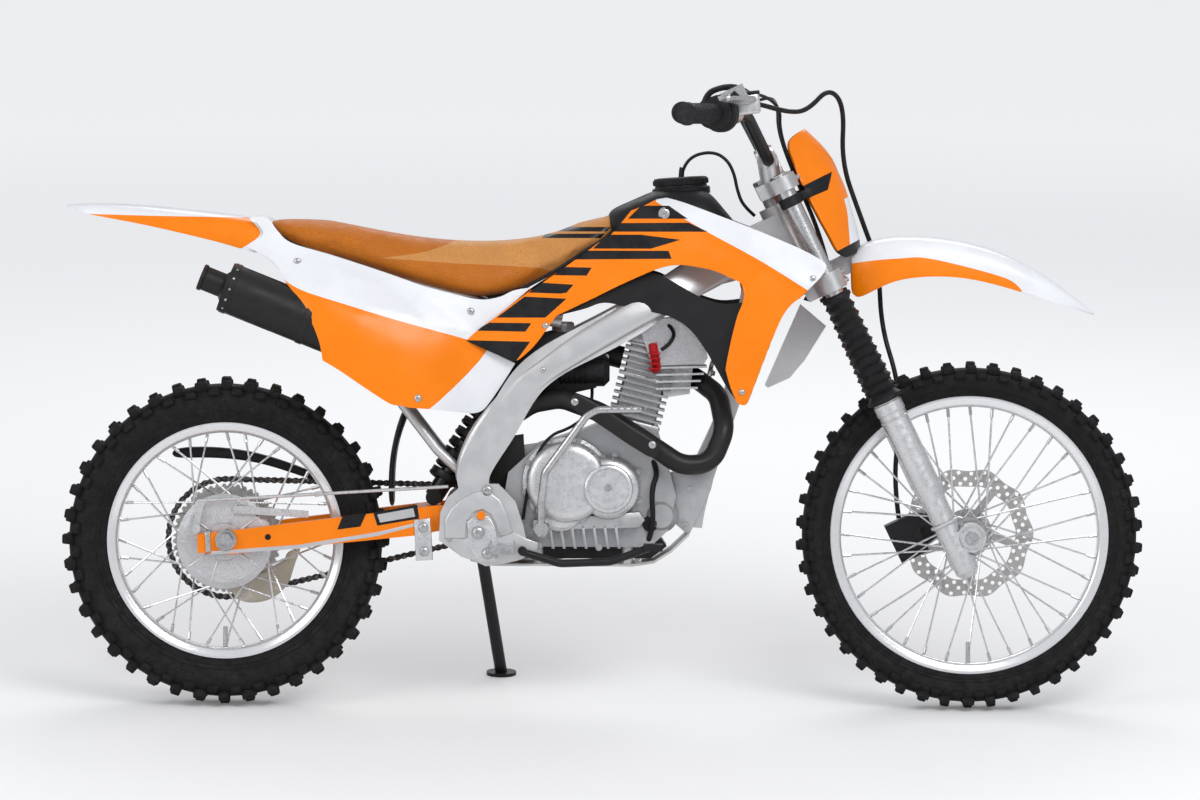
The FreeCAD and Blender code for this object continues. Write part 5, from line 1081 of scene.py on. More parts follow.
class BIKE_OT_tank(bpy.types.Operator):
    """Fuel tank between the shrouds, with its filler cap, breather and cap hose"""

    bl_idname = "bike.tank"
    bl_label = "Fuel Tank"

    def execute(self, context):
        rows = []
        for ahead, high, low, half in TANK_ROWS:
            top, base = drawn(ahead, high), drawn(ahead, low)
            rows.append(ring_across(top.x, half / 1000, [
                (0.3, top.z), (0.62, top.z - 0.004), (0.86, top.z * 0.8 + base.z * 0.2),
                (1.0, top.z * 0.45 + base.z * 0.55), (0.9, base.z)]))
        bm = bmesh.new()
        loft(bm, rows)
        keep_solid(smoothed(bm), "tank_shell", "root", "black plastic", ["fuel_tank"], crease=50)
        cap = bmesh.new()
        foot = drawn(*CAP_FOOT)
        seat = seat_at(foot, (-0.07, 0, 1))
        turned(cap, seat, [(0, -8), (52, -8), (52, 3), (49.5, 5), (47, 5), (46, 9), (49, 10), (49, 19),
                           (46.5, 22), (40, 23), (38, 20), (12, 20), (11, 23), (0, 23)], 64)
        for turn in round_turns(36):
            box_on(cap, seat @ turn @ shift(48.5, 0, 14.5), (3, 4, 8), 0.8, segments=1)
        tube(cap, [foot + mm(0, 0, 18), foot + mm(0, 0, 34), foot + mm(2, 0, 40)], 5)
        keep_solid(cap, "tank_cap_cover", "root", "black plastic", ["tank_cap"])
        return {"FINISHED"}


SEAT_ROWS = [
    (270, 216, 222, 40), (280, 214.5, 236, 62), (300, 217, 246, 74), (335, 222.5, 257, 84),
    (375, 231, 270, 92), (415, 238, 284, 96), (450, 241.5, 294, 97), (482, 242.5, 299, 96),
    (508, 241.5, 294, 90), (535, 238.5, 281, 82), (560, 232.5, 267, 74), (585, 221, 250, 66),
    (603, 211, 239, 58), (617, 207.5, 226, 50),
]
SEAT_TAN = [
    [(380, 257), (420, 252), (446, 244), (462, 236)],
    [(462, 236), (520, 230), (640, 195)],
    [(640, 195), (606, 236), (560, 268), (540, 267)],
    [(540, 267), (500, 264.5), (450, 262), (410, 259), (380, 257)],
]
SEAT_INSET, SEAT_LIFT = 0.003, 0.002
SEAT_BARS = [
    [(562, 226.5), (610, 226.5), (606, 231), (558, 231)],
    [(545, 233.5), (604, 233), (600, 237.5), (541, 237.5)],
]


def seat_rows():
    """Rings of the seat's pad, from its tail to the tank, drawn in for the cover's swell."""
    rows = []
    for ahead, high, low, half in SEAT_ROWS:
        top, base = drawn(ahead, high), drawn(ahead, low)
        z_top, z_low = top.z - SEAT_INSET, base.z + SEAT_LIFT
        tall = z_top - z_low
        rows.append(ring_across(top.x, half / 1000 - SEAT_INSET, [
            (0.35, z_top), (0.72, z_top - 0.09 * tall), (0.95, z_top - 0.32 * tall),
            (1.0, z_low + 0.3 * tall), (0.97, z_low), (0.4, z_low)]))
    return rows


def puffed(bm, reach):
    """Let a pad swell under its cover: remeshed, then pressed outwards as cloth, up to a reach."""
    pad = placed("pad", mesh_of(bm, "pad"))
    grid = pad.modifiers.new("Voxels", "REMESH")
    grid.mode, grid.voxel_size = "VOXEL", 0.006
    bpy.context.view_layer.update()
    fine = evaluated(pad)
    pad.modifiers.clear()
    pad.data = fine
    start = np.array([v.co for v in fine.vertices])
    cloth = pad.modifiers.new("Cover", "CLOTH")
    cloth.settings.quality = 5
    cloth.settings.use_pressure = True
    cloth.settings.uniform_pressure_force = 4
    cloth.settings.effector_weights.gravity = 0
    cloth.settings.tension_stiffness = cloth.settings.compression_stiffness = 40
    scene = bpy.context.scene
    for number in range(1, 15):
        scene.frame_set(number)
    moved = evaluated(pad)
    scene.frame_set(1)
    swell = np.array([v.co for v in moved.vertices]) - start
    length = np.linalg.norm(swell, axis=1, keepdims=True)
    swell *= np.minimum(1.0, reach / np.maximum(length, 1e-9))
    puffed_bm = bmesh.new()
    puffed_bm.from_mesh(moved)
    for vert, place, push in zip(puffed_bm.verts, start, swell):
        vert.co = Vector(place + push)
    bpy.data.objects.remove(pad)
    return puffed_bm


class BIKE_OT_seat(bpy.types.Operator):
    """Seat: a long grained pad with a paler front, two black bars and a black base edge"""

    bl_idname = "bike.seat"
    bl_label = "Seat"

    def execute(self, context):
        looks = context.scene.bike_looks
        bm = bmesh.new()
        loft(bm, seat_rows())
        bm = smoothed(bm, 3)
        outward(bm)
        bm = puffed(bm, looks.cushion_puff)
        bmesh.ops.smooth_vert(bm, verts=bm.verts, factor=0.5, use_axis_x=True, use_axis_y=True,
                              use_axis_z=True)
        across_inlay(bm, outline_of(SEAT_TAN), 1)
        for bar in SEAT_BARS:
            across_inlay(bm, flat_line(bar), 2)
        cushion = keep(bm, "seat_cushion", "root", ["seat orange", "seat tan", "black film"], ["seat"],
                       crease=60)
        trim = bmesh.new()
        for side in (RIGHT, LEFT):
            line = []
            for ahead, _, low, half in SEAT_ROWS[1:]:
                spot = drawn(ahead, low)
                line.append(Vector((spot.x, side * (half / 1000 * 0.985), spot.z + 0.0005)))
            tube(trim, flowing(line, 2), 3.2)
        keep(trim, "seat_base_edge", "root", ["black rubber"])
        return {"FINISHED"}


# The number plate's outline and form, in millimetres: to the left, along the fork, ahead of the legs
PLATE_TOP = [(0, 783), (30, 782), (50, 775), (62, 758)]
PLATE_SIDE = [(62, 758), (76, 712), (82, 665), (84, 620), (82, 580), (76, 556), (64, 545)]
PLATE_OUTLINE = [
    PLATE_TOP, PLATE_SIDE, [(64, 545), (0, 542), (-64, 545)],
    [(-across, along) for across, along in reversed(PLATE_SIDE)],
    [(-across, along) for across, along in reversed(PLATE_TOP)],
]
PLATE_MIDDLE = [(0, 783, 48), (0, 748, 62), (0, 690, 69), (0, 655, 68), (0, 618, 62), (0, 546, 46)]
PLATE_HALF = [(62, 758, 6), (50, 775, 14), (76, 712, 0), (82, 665, 1), (84, 620, 3), (76, 556, 8),
              (44, 700, 54), (48, 620, 46), (46, 556, 34)]
PLATE_FORM = PLATE_MIDDLE + [(side * across, along, out) for across, along, out in PLATE_HALF
                             for side in (1, -1)]
PLATE_BLACKS = [[(side * across, along) for across, along in ((40, 694), (100, 694), (100, 672), (56, 668))]
                for side in (1, -1)]
PLATE_BLACKS += [[(-100, 563), (100, 563), (100, 530), (-100, 530)]]
PLATE_WHITES = [[(-34, 640), (34, 640), (52, 563), (-52, 563)]]


class BIKE_OT_number_plate(bpy.types.Operator):
    """Front plate: a curved orange shield with dark patches, held to the fork by its straps"""

    bl_idname = "bike.number_plate"
    bl_label = "Number Plate"

    def execute(self, context):
        runs = [flowing([Vector((y / 1000, t / 1000, 0)) for y, t in run]) for run in PLATE_OUTLINE]
        outline = [spot for run in runs for spot in run[:-1]]
        form = Form([(y / 1000, t / 1000, v / 1000) for y, t, v in PLATE_FORM])
        bm = sheet_of(outline, form, 0.006)
        for finish, patches in ((1, PLATE_BLACKS), (2, PLATE_WHITES)):
            for patch in patches:
                inlay(bm, [Vector((y / 1000, t / 1000, 0)) for y, t in patch], finish)
        for vert in bm.verts:
            y, t, v = vert.co
            vert.co = on_fork(t * 1000, v * 1000, y * 1000)
        facing(bm, FORK_AHEAD)
        keep_cover(bm, "plate_shield", "steering", ["orange cover", "black film", "white cover"],
                   ["number_plate"])
        straps = bmesh.new()
        for side in (RIGHT, LEFT):
            rod_on(straps, fork_seat(670, -32, side * 92), 20.5, 18, 1, 32, 17)
            box_on(straps, fork_seat(679, -6, side * 88), (30, 4, 16), 1)
        keep_solid(straps, "plate_straps", "steering", "black rubber")
        return {"FINISHED"}


# Wheels

REAR_TYRE = {"tip": 293, "half": 45, "rim": 212, "rim_half": 25}
FRONT_TYRE = {"tip": 311, "half": 37, "rim": 249, "rim_half": 19}
CARCASS = [(0.0, 1.0), (0.10, 1.06), (0.24, 1.24), (0.42, 1.38), (0.56, 1.4), (0.68, 1.3), (0.78, 1.1),
           (0.825, 0.8), (0.835, 0.4), (0.84, 0.0)]


def lug_mesh(bevel):
    """One tapered lug, a metre cube wide at its foot."""
    bm = bmesh.new()
    box_on(bm, shift(0, 0, 500), (1000, 1000, 1000), bevel * 1000, 0.82, 1)
    return mesh_of(bm, "lug")


def tyre_of(end, axle, sizes, rows, lug_height):
    """Knobbed tyre: a turned carcass, sidewall ribs, and rows of middle and shoulder lugs."""
    tip, half, rim = sizes["tip"], sizes["half"], sizes["rim"]
    crown = tip - lug_height * 1000
    depth = crown - rim
    profile = [(rim + depth * up / 0.84, out * sizes["rim_half"]) for up, out in CARCASS]
    widest = max(out for _, out in profile)
    profile = [(radius, out * (half - 5) / widest if out > sizes["rim_half"] else out)
               for radius, out in profile]
    side = [(rim - 9, sizes["rim_half"] - 2), (rim - 1, sizes["rim_half"])] + profile[1:]
    full = side + [(radius, -out) for radius, out in reversed(side[:-1])]
    bm = bmesh.new()
    seat = seat_at(axle, (0, 1, 0), (0, 0, 1))
    line = flowing([Vector((radius, out, 0)) for radius, out in full], 3)
    turned(bm, seat, [(p.x, p.y) for p in line], 120, closed=True)
    for out in (1, -1):
        for at_share, wide in ((0.16, 1.2), (0.3, 1.0)):
            level = rim + depth * at_share
            near = min(line, key=lambda p: abs(p.x - level) + (0 if p.y * out > 0 else 999))
            turned(bm, seat, [(near.x - wide, near.y - out * 0.6), (near.x - wide * 0.4, near.y + out * 0.9),
                              (near.x + wide * 0.4, near.y + out * 0.9), (near.x + wide, near.y - out * 0.6)],
                   120, closed=True)
    lug = lug_mesh(0.09)
    tall = lug_height * 1000
    turn_step = FULL_TURN / rows
    plan = []
    for row in range(rows):
        turn = row * turn_step
        long = crown * turn_step
        if row % 2:
            plan.append((turn, 0, 0, long * 0.42, half * 0.62, tall))
        else:
            for out in (-1, 1):
                plan.append((turn, out * half * 0.3, out * 10, long * 0.44, half * 0.36, tall))
        for out in (-1, 1):
            plan.append((turn + (0.0 if row % 2 else 0.03) * turn_step, out * half * 0.72, out * 40,
                         long * (0.6 if row % 2 else 0.46), half * 0.3, tall * 0.98))
            plan.append((turn + 0.5 * turn_step, out * half * 0.88, out * 66, long * 0.5, half * 0.24,
                         tall * 0.6))
    for turn, across, tilt, long, wide, height in plan:
        foot = crown - (0.5 + 15.5 * max(0.0, abs(across) / half - 0.25) ** 1.6)
        if abs(tilt) > 60:
            foot = crown - 14.5
        place = (seat @ Matrix.Rotation(turn, 4, "Z")
                 @ Matrix.Translation((foot / 1000 - 0.002, 0, across / 1000))
                 @ Matrix.Rotation(QUARTER - math.radians(tilt), 4, "Y")
                 @ Matrix.Diagonal((wide / 1000, long / 1000, (height + 2) / 1000, 1)))
        copy_on(bm, lug, place)
    bpy.data.meshes.remove(lug)
    keep_solid(bm, f"tyre_{end}", f"{end}_wheel", "tyre rubber", [f"{end}_tyre"], crease=42)


class BIKE_OT_tyres(bpy.types.Operator):
    """Knobbed tyres with middle, shoulder and edge lugs"""

    bl_idname = "bike.tyres"
    bl_label = "Knobbed Tyres"

    def execute(self, context):
        looks = context.scene.bike_looks
        tyre_of("rear", REAR_AXLE, REAR_TYRE, looks.lug_rows, looks.lug_height)
        tyre_of("front", FRONT_AXLE, FRONT_TYRE, looks.lug_rows + 6, looks.lug_height * 0.9)
        return {"FINISHED"}


SPOKES = 36
RIM_PROFILE = [(-1.6, 0.9), (-0.3, 0.96), (-0.6, 1.0), (-3, 1.0), (-6, 0.985), (-8.5, 0.93), (-12, 0.9),
               (-16, 0.84), (-18.6, 0.66), (-19.6, 0.36), (-19.8, 0.0)]


def spoke_ends(number, axle, radius, flanges, space):
    """Rim end and hub end of one wire spoke."""
    side, lead = (1 if number % 2 else -1), (1 if number % 4 < 2 else -1)
    turn = number * FULL_TURN / SPOKES
    back = turn - lead * math.radians(48)
    inner = flanges[number % 2] + 1.8
    start = mm(inner * math.cos(back), side * space / 2 + lead * 2.2, inner * math.sin(back))
    end = mm(radius * math.cos(turn), side * 4.4 + lead * 2.2, radius * math.sin(turn))
    return axle + end, axle + start


class BIKE_OT_rims(bpy.types.Operator):
    """Rolled rims with rounded flanges, spoke nipples and valves"""

    bl_idname = "bike.rims"
    bl_label = "Rims and Nipples"

    def execute(self, context):
        for name, axle, radius, half, flanges, space in (("rear", REAR_AXLE, 212, 28, (72, 57.6), 60),
                                                         ("front", FRONT_AXLE, 249, 22, (31, 31), 56)):
            body = f"{name}_wheel"
            seat = seat_at(axle, (0, 1, 0), (0, 0, 1))
            outer = [(radius + up, out * half) for up, out in RIM_PROFILE]
            full = outer + [(r, -out) for r, out in reversed(outer[:-1])]
            inner = [(r + 2.2, out * 0.9) for r, out in reversed(full)]
            bm = bmesh.new()
            turned(bm, seat, full + inner, 120, closed=True)
            keep_solid(bm, f"rim_{name}", body, f"{name} rim alloy", [f"{name}_rim"], crease=40)
            nipples = bmesh.new()
            for number in range(SPOKES):
                end, start = spoke_ends(number, axle, radius - 20, flanges, space)
                rod_on(nipples, seat_at(end, start - end, ACROSS), 2.9, 15, 0.6, 8)
            valve = seat @ Matrix.Rotation(math.pi, 4, "Z") @ shift(radius - 56, 0, 0)
            rod_on(nipples, valve @ Matrix.Rotation(QUARTER, 4, "Y"), 4.2, 36, 0.8, 16)
            keep_solid(nipples, f"nipples_{name}", body, "plated steel")
        return {"FINISHED"}


# Frame

SPAR_UPPER = [(745, 236), (716, 246), (684, 262), (650, 286), (621, 307), (588, 326), (562, 343), (544, 357),
              (524, 370), (506, 387), (489, 406), (474, 424), (463, 446), (457, 464), (455, 488)]
SPAR_LOWER = [(757, 262), (735, 276), (706, 292), (681, 304), (657, 317), (617, 340), (584, 360), (557, 377),
              (539, 391), (525, 407), (510, 426), (498, 445), (491, 458), (488, 470), (489, 490)]
SPAR_MIDDLE = [24, 46, 70, 88, 97, 101] + [103] * 9
SPAR_HALF = [8, 11, 14] + [15] * 12
ARCH_BAND = [(446, 538), (446, 519), (452, 508), (462, 499), (474, 492), (489, 490), (501, 499), (508, 513),
             (514, 532), (501, 537), (497, 523), (492, 514), (483, 509), (474, 512), (468, 520), (467, 538)]
PIVOT_FOOT = [(448, 536), (466, 538), (500, 537), (514, 531), (528, 538), (540, 542), (538, 552), (520, 560),
              (503, 564), (487, 566), (474, 560), (462, 556), (452, 547)]
PIVOT_PLATE = [(468, 522), (476, 515), (490, 516), (496, 526), (500, 545), (498, 562), (480, 563), (470, 548)]


# Places, radius, height and whether the head is six-sided
PIVOT_BOLTS = [
    ([(451, 540, 120), (497, 557, 121)], 3, 3, False), ([(479, 533, 121.4)], 9, 6, True),
    ([(488.5, 554, 121.4)], 8, 6, True), ([(481, 517, 118.4)], 8, 3, False),
    ([(488, 491, 122)], 7, 4, False), ([(543, 370, 118), (600, 345, 112)], 4, 3, False),
]


class BIKE_OT_frame(bpy.types.Operator):
    """Frame: smooth pressed spars, cast pivot plates with their recess, mounts and bolts"""

    bl_idname = "bike.frame"
    bl_label = "Frame"

    def execute(self, context):
        for side, name in SIDES:
            bm = bmesh.new()
            strip(bm, [(upper, lower, side * middle, half) for upper, lower, middle, half
                       in zip(SPAR_UPPER, SPAR_LOWER, SPAR_MIDDLE, SPAR_HALF)])
            slab(bm, ARCH_BAND, side * 90, side * 123, 3, 3)
            slab(bm, PIVOT_FOOT, side * 90, side * 120, 2.5, 3)
            keep_solid(bm, f"spar_{name}", "root", "silver paint")
            plate, bright = bmesh.new(), bmesh.new()
            slab(plate, PIVOT_PLATE, side * 100, side * 121.4, 2, 3)
            for spots, radius, height, hexagon in PIVOT_BOLTS:
                bolts_on(bright, [(ahead, down, side * out) for ahead, down, out in spots], radius, height,
                         hexagon)
            keep_all("root", (f"pivot_plate_{name}", "bright casting", plate),
                     (f"pivot_bolts_{name}", "plated steel", bright))
        return {"FINISHED"}


# Engine


BARREL_SLOPE = math.radians(14)
CYLINDER = seat_at(mm(722, 0, 478), (math.sin(BARREL_SLOPE), 0, math.cos(BARREL_SLOPE)))


CASE_BOLTS = [(609, 488, -116), (584, 520, -92), (622, 524, -88), (540, 546, -88), (600, 548, -88)]
CASE_RIB = [(549, 525), (552, 525), (556, 549), (553, 549)]
CASE_LEDGE = [(534, 520), (640, 512), (646, 520), (640, 528), (534, 530)]
CASE_FRONT = [(659, 475), (718, 461), (712, 490), (690, 536), (672, 520)]
CRADLE = [(520, 546), (646, 546), (662, 538), (668, 547), (652, 559), (520, 559)]
FRONT_HANGER = [(716, 424), (722, 430), (716, 452), (694, 498), (688, 494), (708, 450)]
WATER_PUMP = (662, 516, -45)
HANGER_BOLTS = [(691, 489, -47), (704, 470, -47), (686, 524, -47)]
BARREL_BLOCKS = [(66, (76, 60, 84), 6, 3), (26, (92, 76, 20), 3, 2), (19, (98, 80, 6), 1, 2)]
ROCKER_BOX = [(640, 330), (650, 320), (672, 318), (690, 328), (704, 342), (708, 358), (704, 364), (652, 366)]
HEAD_FIN = [(656, 367, 0), (707, 366, 3), (707, 368, 3), (656, 369, 0)]
HEAD_BLOCK = [(660, 360), (694, 358), (690, 394), (664, 398)]


class BIKE_OT_engine(bpy.types.Operator):
    """Engine: rounded clutch and generator covers, case ribs, cylinder fins, rocker cover and bolts"""

    bl_idname = "bike.engine"
    bl_label = "Engine"

    def execute(self, context):
        clutch = bmesh.new()
        turned(clutch, out_seat(611, -62.3, 405), [
            (0, 46), (52, 46), (62, 45), (68, 42), (71.5, 37), (72.5, 30), (73, 12), (79, 10.5), (79, 0),
            (0, 0)])
        turned(clutch, out_seat(685.3, -62.3, 393.9), [
            (0, 40), (40, 40), (48, 38.5), (52.5, 35), (54, 28), (56.9, 8), (56.9, 0), (0, 0)])
        turned(clutch, out_seat(599.2, -62.3, 361.6), [
            (0, 34), (36, 34), (42, 32), (46, 27), (47.4, 8), (47.4, 0), (0, 0)])
        turned(clutch, out_seat(685.3, -98.3, 393.9), [
            (0, 16), (35, 16), (36.5, 17.6), (39.5, 17.6), (42, 16.4), (43.5, 13), (43.5, 0), (0, 0)])
        keep_solid(clutch, "clutch_casting", "root", "bright casting", ["clutch_cover"])
        generator = bmesh.new()
        turned(generator, out_seat(670.3, 62.3, 397.1), [
            (0, 44), (20, 43.4), (32, 41), (38, 38), (39.5, 35.5), (50, 35.5), (57, 33.5), (61, 29),
            (63.2, 20), (63.2, 0), (0, 0)])
        for turn in round_turns(3):
            rod_on(generator, out_seat(670.3, 98, 397.1) @ turn @ shift(55, 0, 0), 6, 4, 1)
        keep_solid(generator, "generator_casting", "root", "cast alloy", ["generator_cover"])
        bolts = bmesh.new()
        for middle, across, radius, count, start in (
                ((611, 405), -73, 76.5, 9, 0.6), ((685.3, 393.9), -71, 60, 7, -1.3),
                ((670.3, 397.1), 70, 66, 8, 0.2)):
            for i in range(count):
                turn = start + i * FULL_TURN / count
                bolt_on(bolts, out_seat(middle[0] + radius * math.cos(turn), across,
                                        middle[1] + radius * math.sin(turn)), 4.2, 5)
        bolts_on(bolts, CASE_BOLTS, 4.5, 4)
        cases, dark = bmesh.new(), bmesh.new()
        for side in (RIGHT, LEFT):
            for i in range(7):
                slab(cases, [(ahead + 11 * i, down) for ahead, down in CASE_RIB], side * 80, side * 90, 1)
            slab(cases, CASE_LEDGE, side * 72, side * 90, 2)
            slab(dark, FRONT_HANGER, side * 36, side * 38, 0.6)
            slab(cases, CASE_FRONT, side * 40, side * 47, 1.5)
        slab(dark, CRADLE, -46, 46, 2)
        rod_on(cases, side_seat(*WATER_PUMP), 30, 22, 9, 40)
        rod_on(dark, out_seat(760, -47, 330), 14, 20, 2, 32)
        bolts_on(bolts, HANGER_BOLTS, 5.5, 5)
        keep_all("root", ("case_ribs", "cast alloy", cases),
                 ("engine_bolts", "plated steel", bolts),
                 ("engine_mounts", "satin black", dark))
        top = bmesh.new()
        for i in range(7):
            box_on(top, CYLINDER @ shift(0, 0, 30 + 12 * i), (96, 78, 3.6), 1.4)
        for up, spans, bevel, segments in BARREL_BLOCKS:
            box_on(top, CYLINDER @ shift(0, 0, up), spans, bevel, segments=segments)
        keep_solid(top, "cylinder_fins", "root", "cast alloy")
        head = bmesh.new()
        for i in range(5):
            box_on(head, CYLINDER @ shift(0, 0, 115 + 11 * i), (96, 78, 3.6), 1.4)
        box_on(head, CYLINDER @ shift(0, 0, 140), (80, 64, 58), 6, segments=3)
        box_on(head, CYLINDER @ shift(0, 0, 181), (88, 72, 24), 9, 0.9, 4)
        box_on(head, CYLINDER @ shift(0, 0, 171), (94, 77, 4), 1.4)
        slab(head, ROCKER_BOX, -44, 44, 5, 3)
        slab(head, HEAD_BLOCK, -34, 34, 3)
        for i in range(4):
            slab(head, [(ahead - slope * i, down + 7 * i) for ahead, down, slope in HEAD_FIN], -50, 50, 0.8)
        for out in (-24, 24):
            rod_on(head, CYLINDER @ shift(20, out, 190), 15, 6, 2, 32)
        keep_solid(head, "rocker_casting", "root", "bright casting")
        studs = bmesh.new()
        for ahead in (-38, 38):
            for out in (-30, 30):
                bolt_on(studs, CYLINDER @ shift(ahead, out, 190), 5, 6)
                bolt_on(studs, CYLINDER @ shift(ahead, out, 36), 4, 5)
        keep_solid(studs, "head_bolts", "root", "plated steel")
        return {"FINISHED"}


CARBURETTOR_LEVEL = 632
INTAKE_BOOT = (556, 370)
BOWL_BOLTS = [(606, 357, -34), (603, 378, -34)]
CRANK_BREATHER = [(540, 344, -50), (566, 352, -70), (580, 366, -60), (566, 384, -45)]
PLUG_LEAD = [(664, 322, -30), (676, 330, -60), (670, 345, -75), (661, 350, -75)]
WATER_HOSE = [(650, 540, -60), (655, 525, -85), (652, 490, -88), (660, 470, -70), (650, 455, -50)]
DRAIN_HOSE = [(592, 384, -30), (594, 410, -70), (572, 428, -85), (548, 436, -85), (530, 470, -85),
              (524, 520, -80)]


class BIKE_OT_intake(bpy.types.Operator):
    """Carburettor and its clamps, the intake boot, the plug cap's ribs and lead, the crankcase breather and
    engine hoses
    """

    bl_idname = "bike.intake"
    bl_label = "Intake and Hoses"

    def execute(self, context):
        level = CARBURETTOR_LEVEL
        body, metal, black = bmesh.new(), bmesh.new(), bmesh.new()
        box_on(metal, seat_at(mm(602, 0, level)), (52, 56, 50), 6, segments=3)
        rod_on(metal, seat_at(mm(602, 0, level + 22)), 20, 34, 3, 32)
        rod_on(metal, seat_at(mm(602, 0, level - 50)), 22, 26, 4, 32)
        rod_on(metal, seat_at(mm(602, -28, level), (0, -1, 0)), 15, 10, 2, 32)
        for ahead in (566, 636):
            band(body, mm(ahead, 0, level), (1, 0, 0), 31, 9)
        ahead, down = INTAKE_BOOT
        rod_on(black, seat_at(drawn(ahead, down, -0.04), (1, 0, 0), ACROSS), 29, 96, 10, 40)
        for i in range(6):
            fold = drawn(ahead + 4 + 5 * i, down, -0.04)
            rod_on(black, seat_at(fold, (1, 0, 0), ACROSS), 31, 4, 1, 40)
        bolts_on(body, BOWL_BOLTS, 4, 4)
        for route, radius in ((CRANK_BREATHER, 4), (PLUG_LEAD, 3.5), (WATER_HOSE, 5), (DRAIN_HOSE, 3)):
            drawn_tube(black, route, radius)
        cap = bmesh.new()
        for i in range(4):
            rod_on(cap, seat_at(mm(765.5, -76, 606 + 9 * i)), 11.2, 3, 1, 24)
        keep_all("root", ("carburettor", "bright casting", metal),
                 ("intake_clamps", "plated steel", body),
                 ("engine_hoses", "black rubber", black),
                 ("plug_cap_ribs", "red rubber", cap))
        return {"FINISHED"}


# Exhaust, chain and swingarm

MUFFLER_SLOPE = math.radians(21.5)
MUFFLER_WAY = Vector((math.cos(MUFFLER_SLOPE), 0, -math.sin(MUFFLER_SLOPE)))
MUFFLER_END = mm(3, -124, 750)
SHIELD_BOLTS = [(575, 402, -141), (653, 445, -141)]
PORT_FLANGE, PORT_BOLT, PORT_WAY = (708, 372), (712, 373), (0.97, 0, -0.24)
HEAT_SHIELD = [(664, 455), (650, 447), (634, 437), (618, 426), (602, 415), (587, 407), (574, 400)]


class BIKE_OT_exhaust(bpy.types.Operator):
    """Exhaust: muffler bands, rivets and tail pipe, header shield and its bolts, clamp, flange and its bolts
    """

    bl_idname = "bike.exhaust"
    bl_label = "Exhaust"

    def execute(self, context):
        can, steel, dark = bmesh.new(), bmesh.new(), bmesh.new()
        for along in (4, 150, 276):
            band(can, MUFFLER_END + MUFFLER_WAY * along / 1000, MUFFLER_WAY, 45, 12, 1.4)
        turned(can, seat_at(MUFFLER_END - MUFFLER_WAY * 0.046, MUFFLER_WAY, ACROSS),
               [(17, 0), (22, -1.5), (24, 0), (24, 5), (21.8, 7), (21.8, 40), (30, 46), (17, 46)],
               closed=True)
        # Painted shade: a thin black disc flush with the tail pipe's mouth stands in for the shade inside its
        # open bore.
        rod_on(dark, seat_at(MUFFLER_END - MUFFLER_WAY * 0.0463, MUFFLER_WAY, ACROSS), 17.4, 1, 0, 32)
        for along in (10, 282):
            ring = seat_at(MUFFLER_END + MUFFLER_WAY * along / 1000, MUFFLER_WAY, ACROSS)
            for turn in round_turns(14):
                rod_on(steel, ring @ turn @ shift(46.2, 0, 0) @ Matrix.Rotation(QUARTER, 4, "Y"), 2.2, 1.2,
                       0.4, 10)
        band(steel, MUFFLER_END + MUFFLER_WAY * 0.338, MUFFLER_WAY, 18, 14, 2.5)
        strip(can, [((a - 1, d - 9), (a - 7, d + 6), -137 - 2 * (i % 6 > 0), 3)
                    for i, (a, d) in enumerate(HEAT_SHIELD)])
        bolts_on(steel, SHIELD_BOLTS, 5, 3, False)
        rod_on(steel, seat_at(drawn(*PORT_FLANGE), PORT_WAY, ACROSS), 27, 7, 1.5, 32, 17)
        for out in (-21, 21):
            bolt_on(steel, seat_at(drawn(*PORT_BOLT, out / 1000), PORT_WAY, ACROSS), 5, 6)
        keep_all("root", ("exhaust_bands", "exhaust black", can),
                 ("exhaust_bolts", "plated steel", steel),
                 ("exhaust_bore_shade", "black rubber", dark))
        return {"FINISHED"}


LINK_TOP = [(-12, 0), (-9.6, 4.6), (-6.4, 5.6), (-3, 4.9), (0, 3.6), (3, 4.9), (6.4, 5.6), (9.6, 4.6)]
LINK_OUTLINE = LINK_TOP + [(-ahead, -up) for ahead, up in LINK_TOP]
CHAIN_ENDS = ((0, 293, 106), (525, 352, 36.8))
CHAIN_LINKS = 120
CHAIN_ACROSS = 0.057
GUARD_STATIONS = [((170, 449), (171, 459), 57, 10), ((200, 446), (200, 457), 57, 11),
                  ((240, 449), (240, 459), 57, 11), ((275, 457), (274, 466), 57, 10),
                  ((330, 478), (328, 486), 60, 8)]
GUIDE_STATIONS = [((286, 552), (284, 566), 57, 11), ((300, 549), (297, 575), 57, 12),
                  ((304, 551), (280, 596), 57, 12), ((262, 574), (262, 603), 57, 12),
                  ((240, 580), (243, 603), 57, 10), ((229, 586), (233, 596), 57, 8)]


def link_mesh(gaps):
    """One chain link: its two plates, and the roller and pin at one end."""
    bm = bmesh.new()
    for low, high in gaps:
        ring = ring_of(bm, [Vector((x, low, z)) / 1000 for x, z in LINK_OUTLINE])
        face = bmesh.ops.edgeloop_fill(bm, edges=ring)["faces"]
        grown = bmesh.ops.extrude_face_region(bm, geom=face)["geom"]
        bmesh.ops.translate(bm, vec=(0, (high - low) / 1000, 0),
                            verts=[part for part in grown if isinstance(part, bmesh.types.BMVert)])
    rod_on(bm, seat_at((-0.0064, -0.0065, 0), (0, 1, 0)), 2.2, 13, 0, 8)
    rod_on(bm, seat_at((-0.0064, -0.003, 0), (0, 1, 0)), 4.1, 6, 0, 10)
    bmesh.ops.recalc_face_normals(bm, faces=bm.faces)
    return mesh_of(bm, "link")


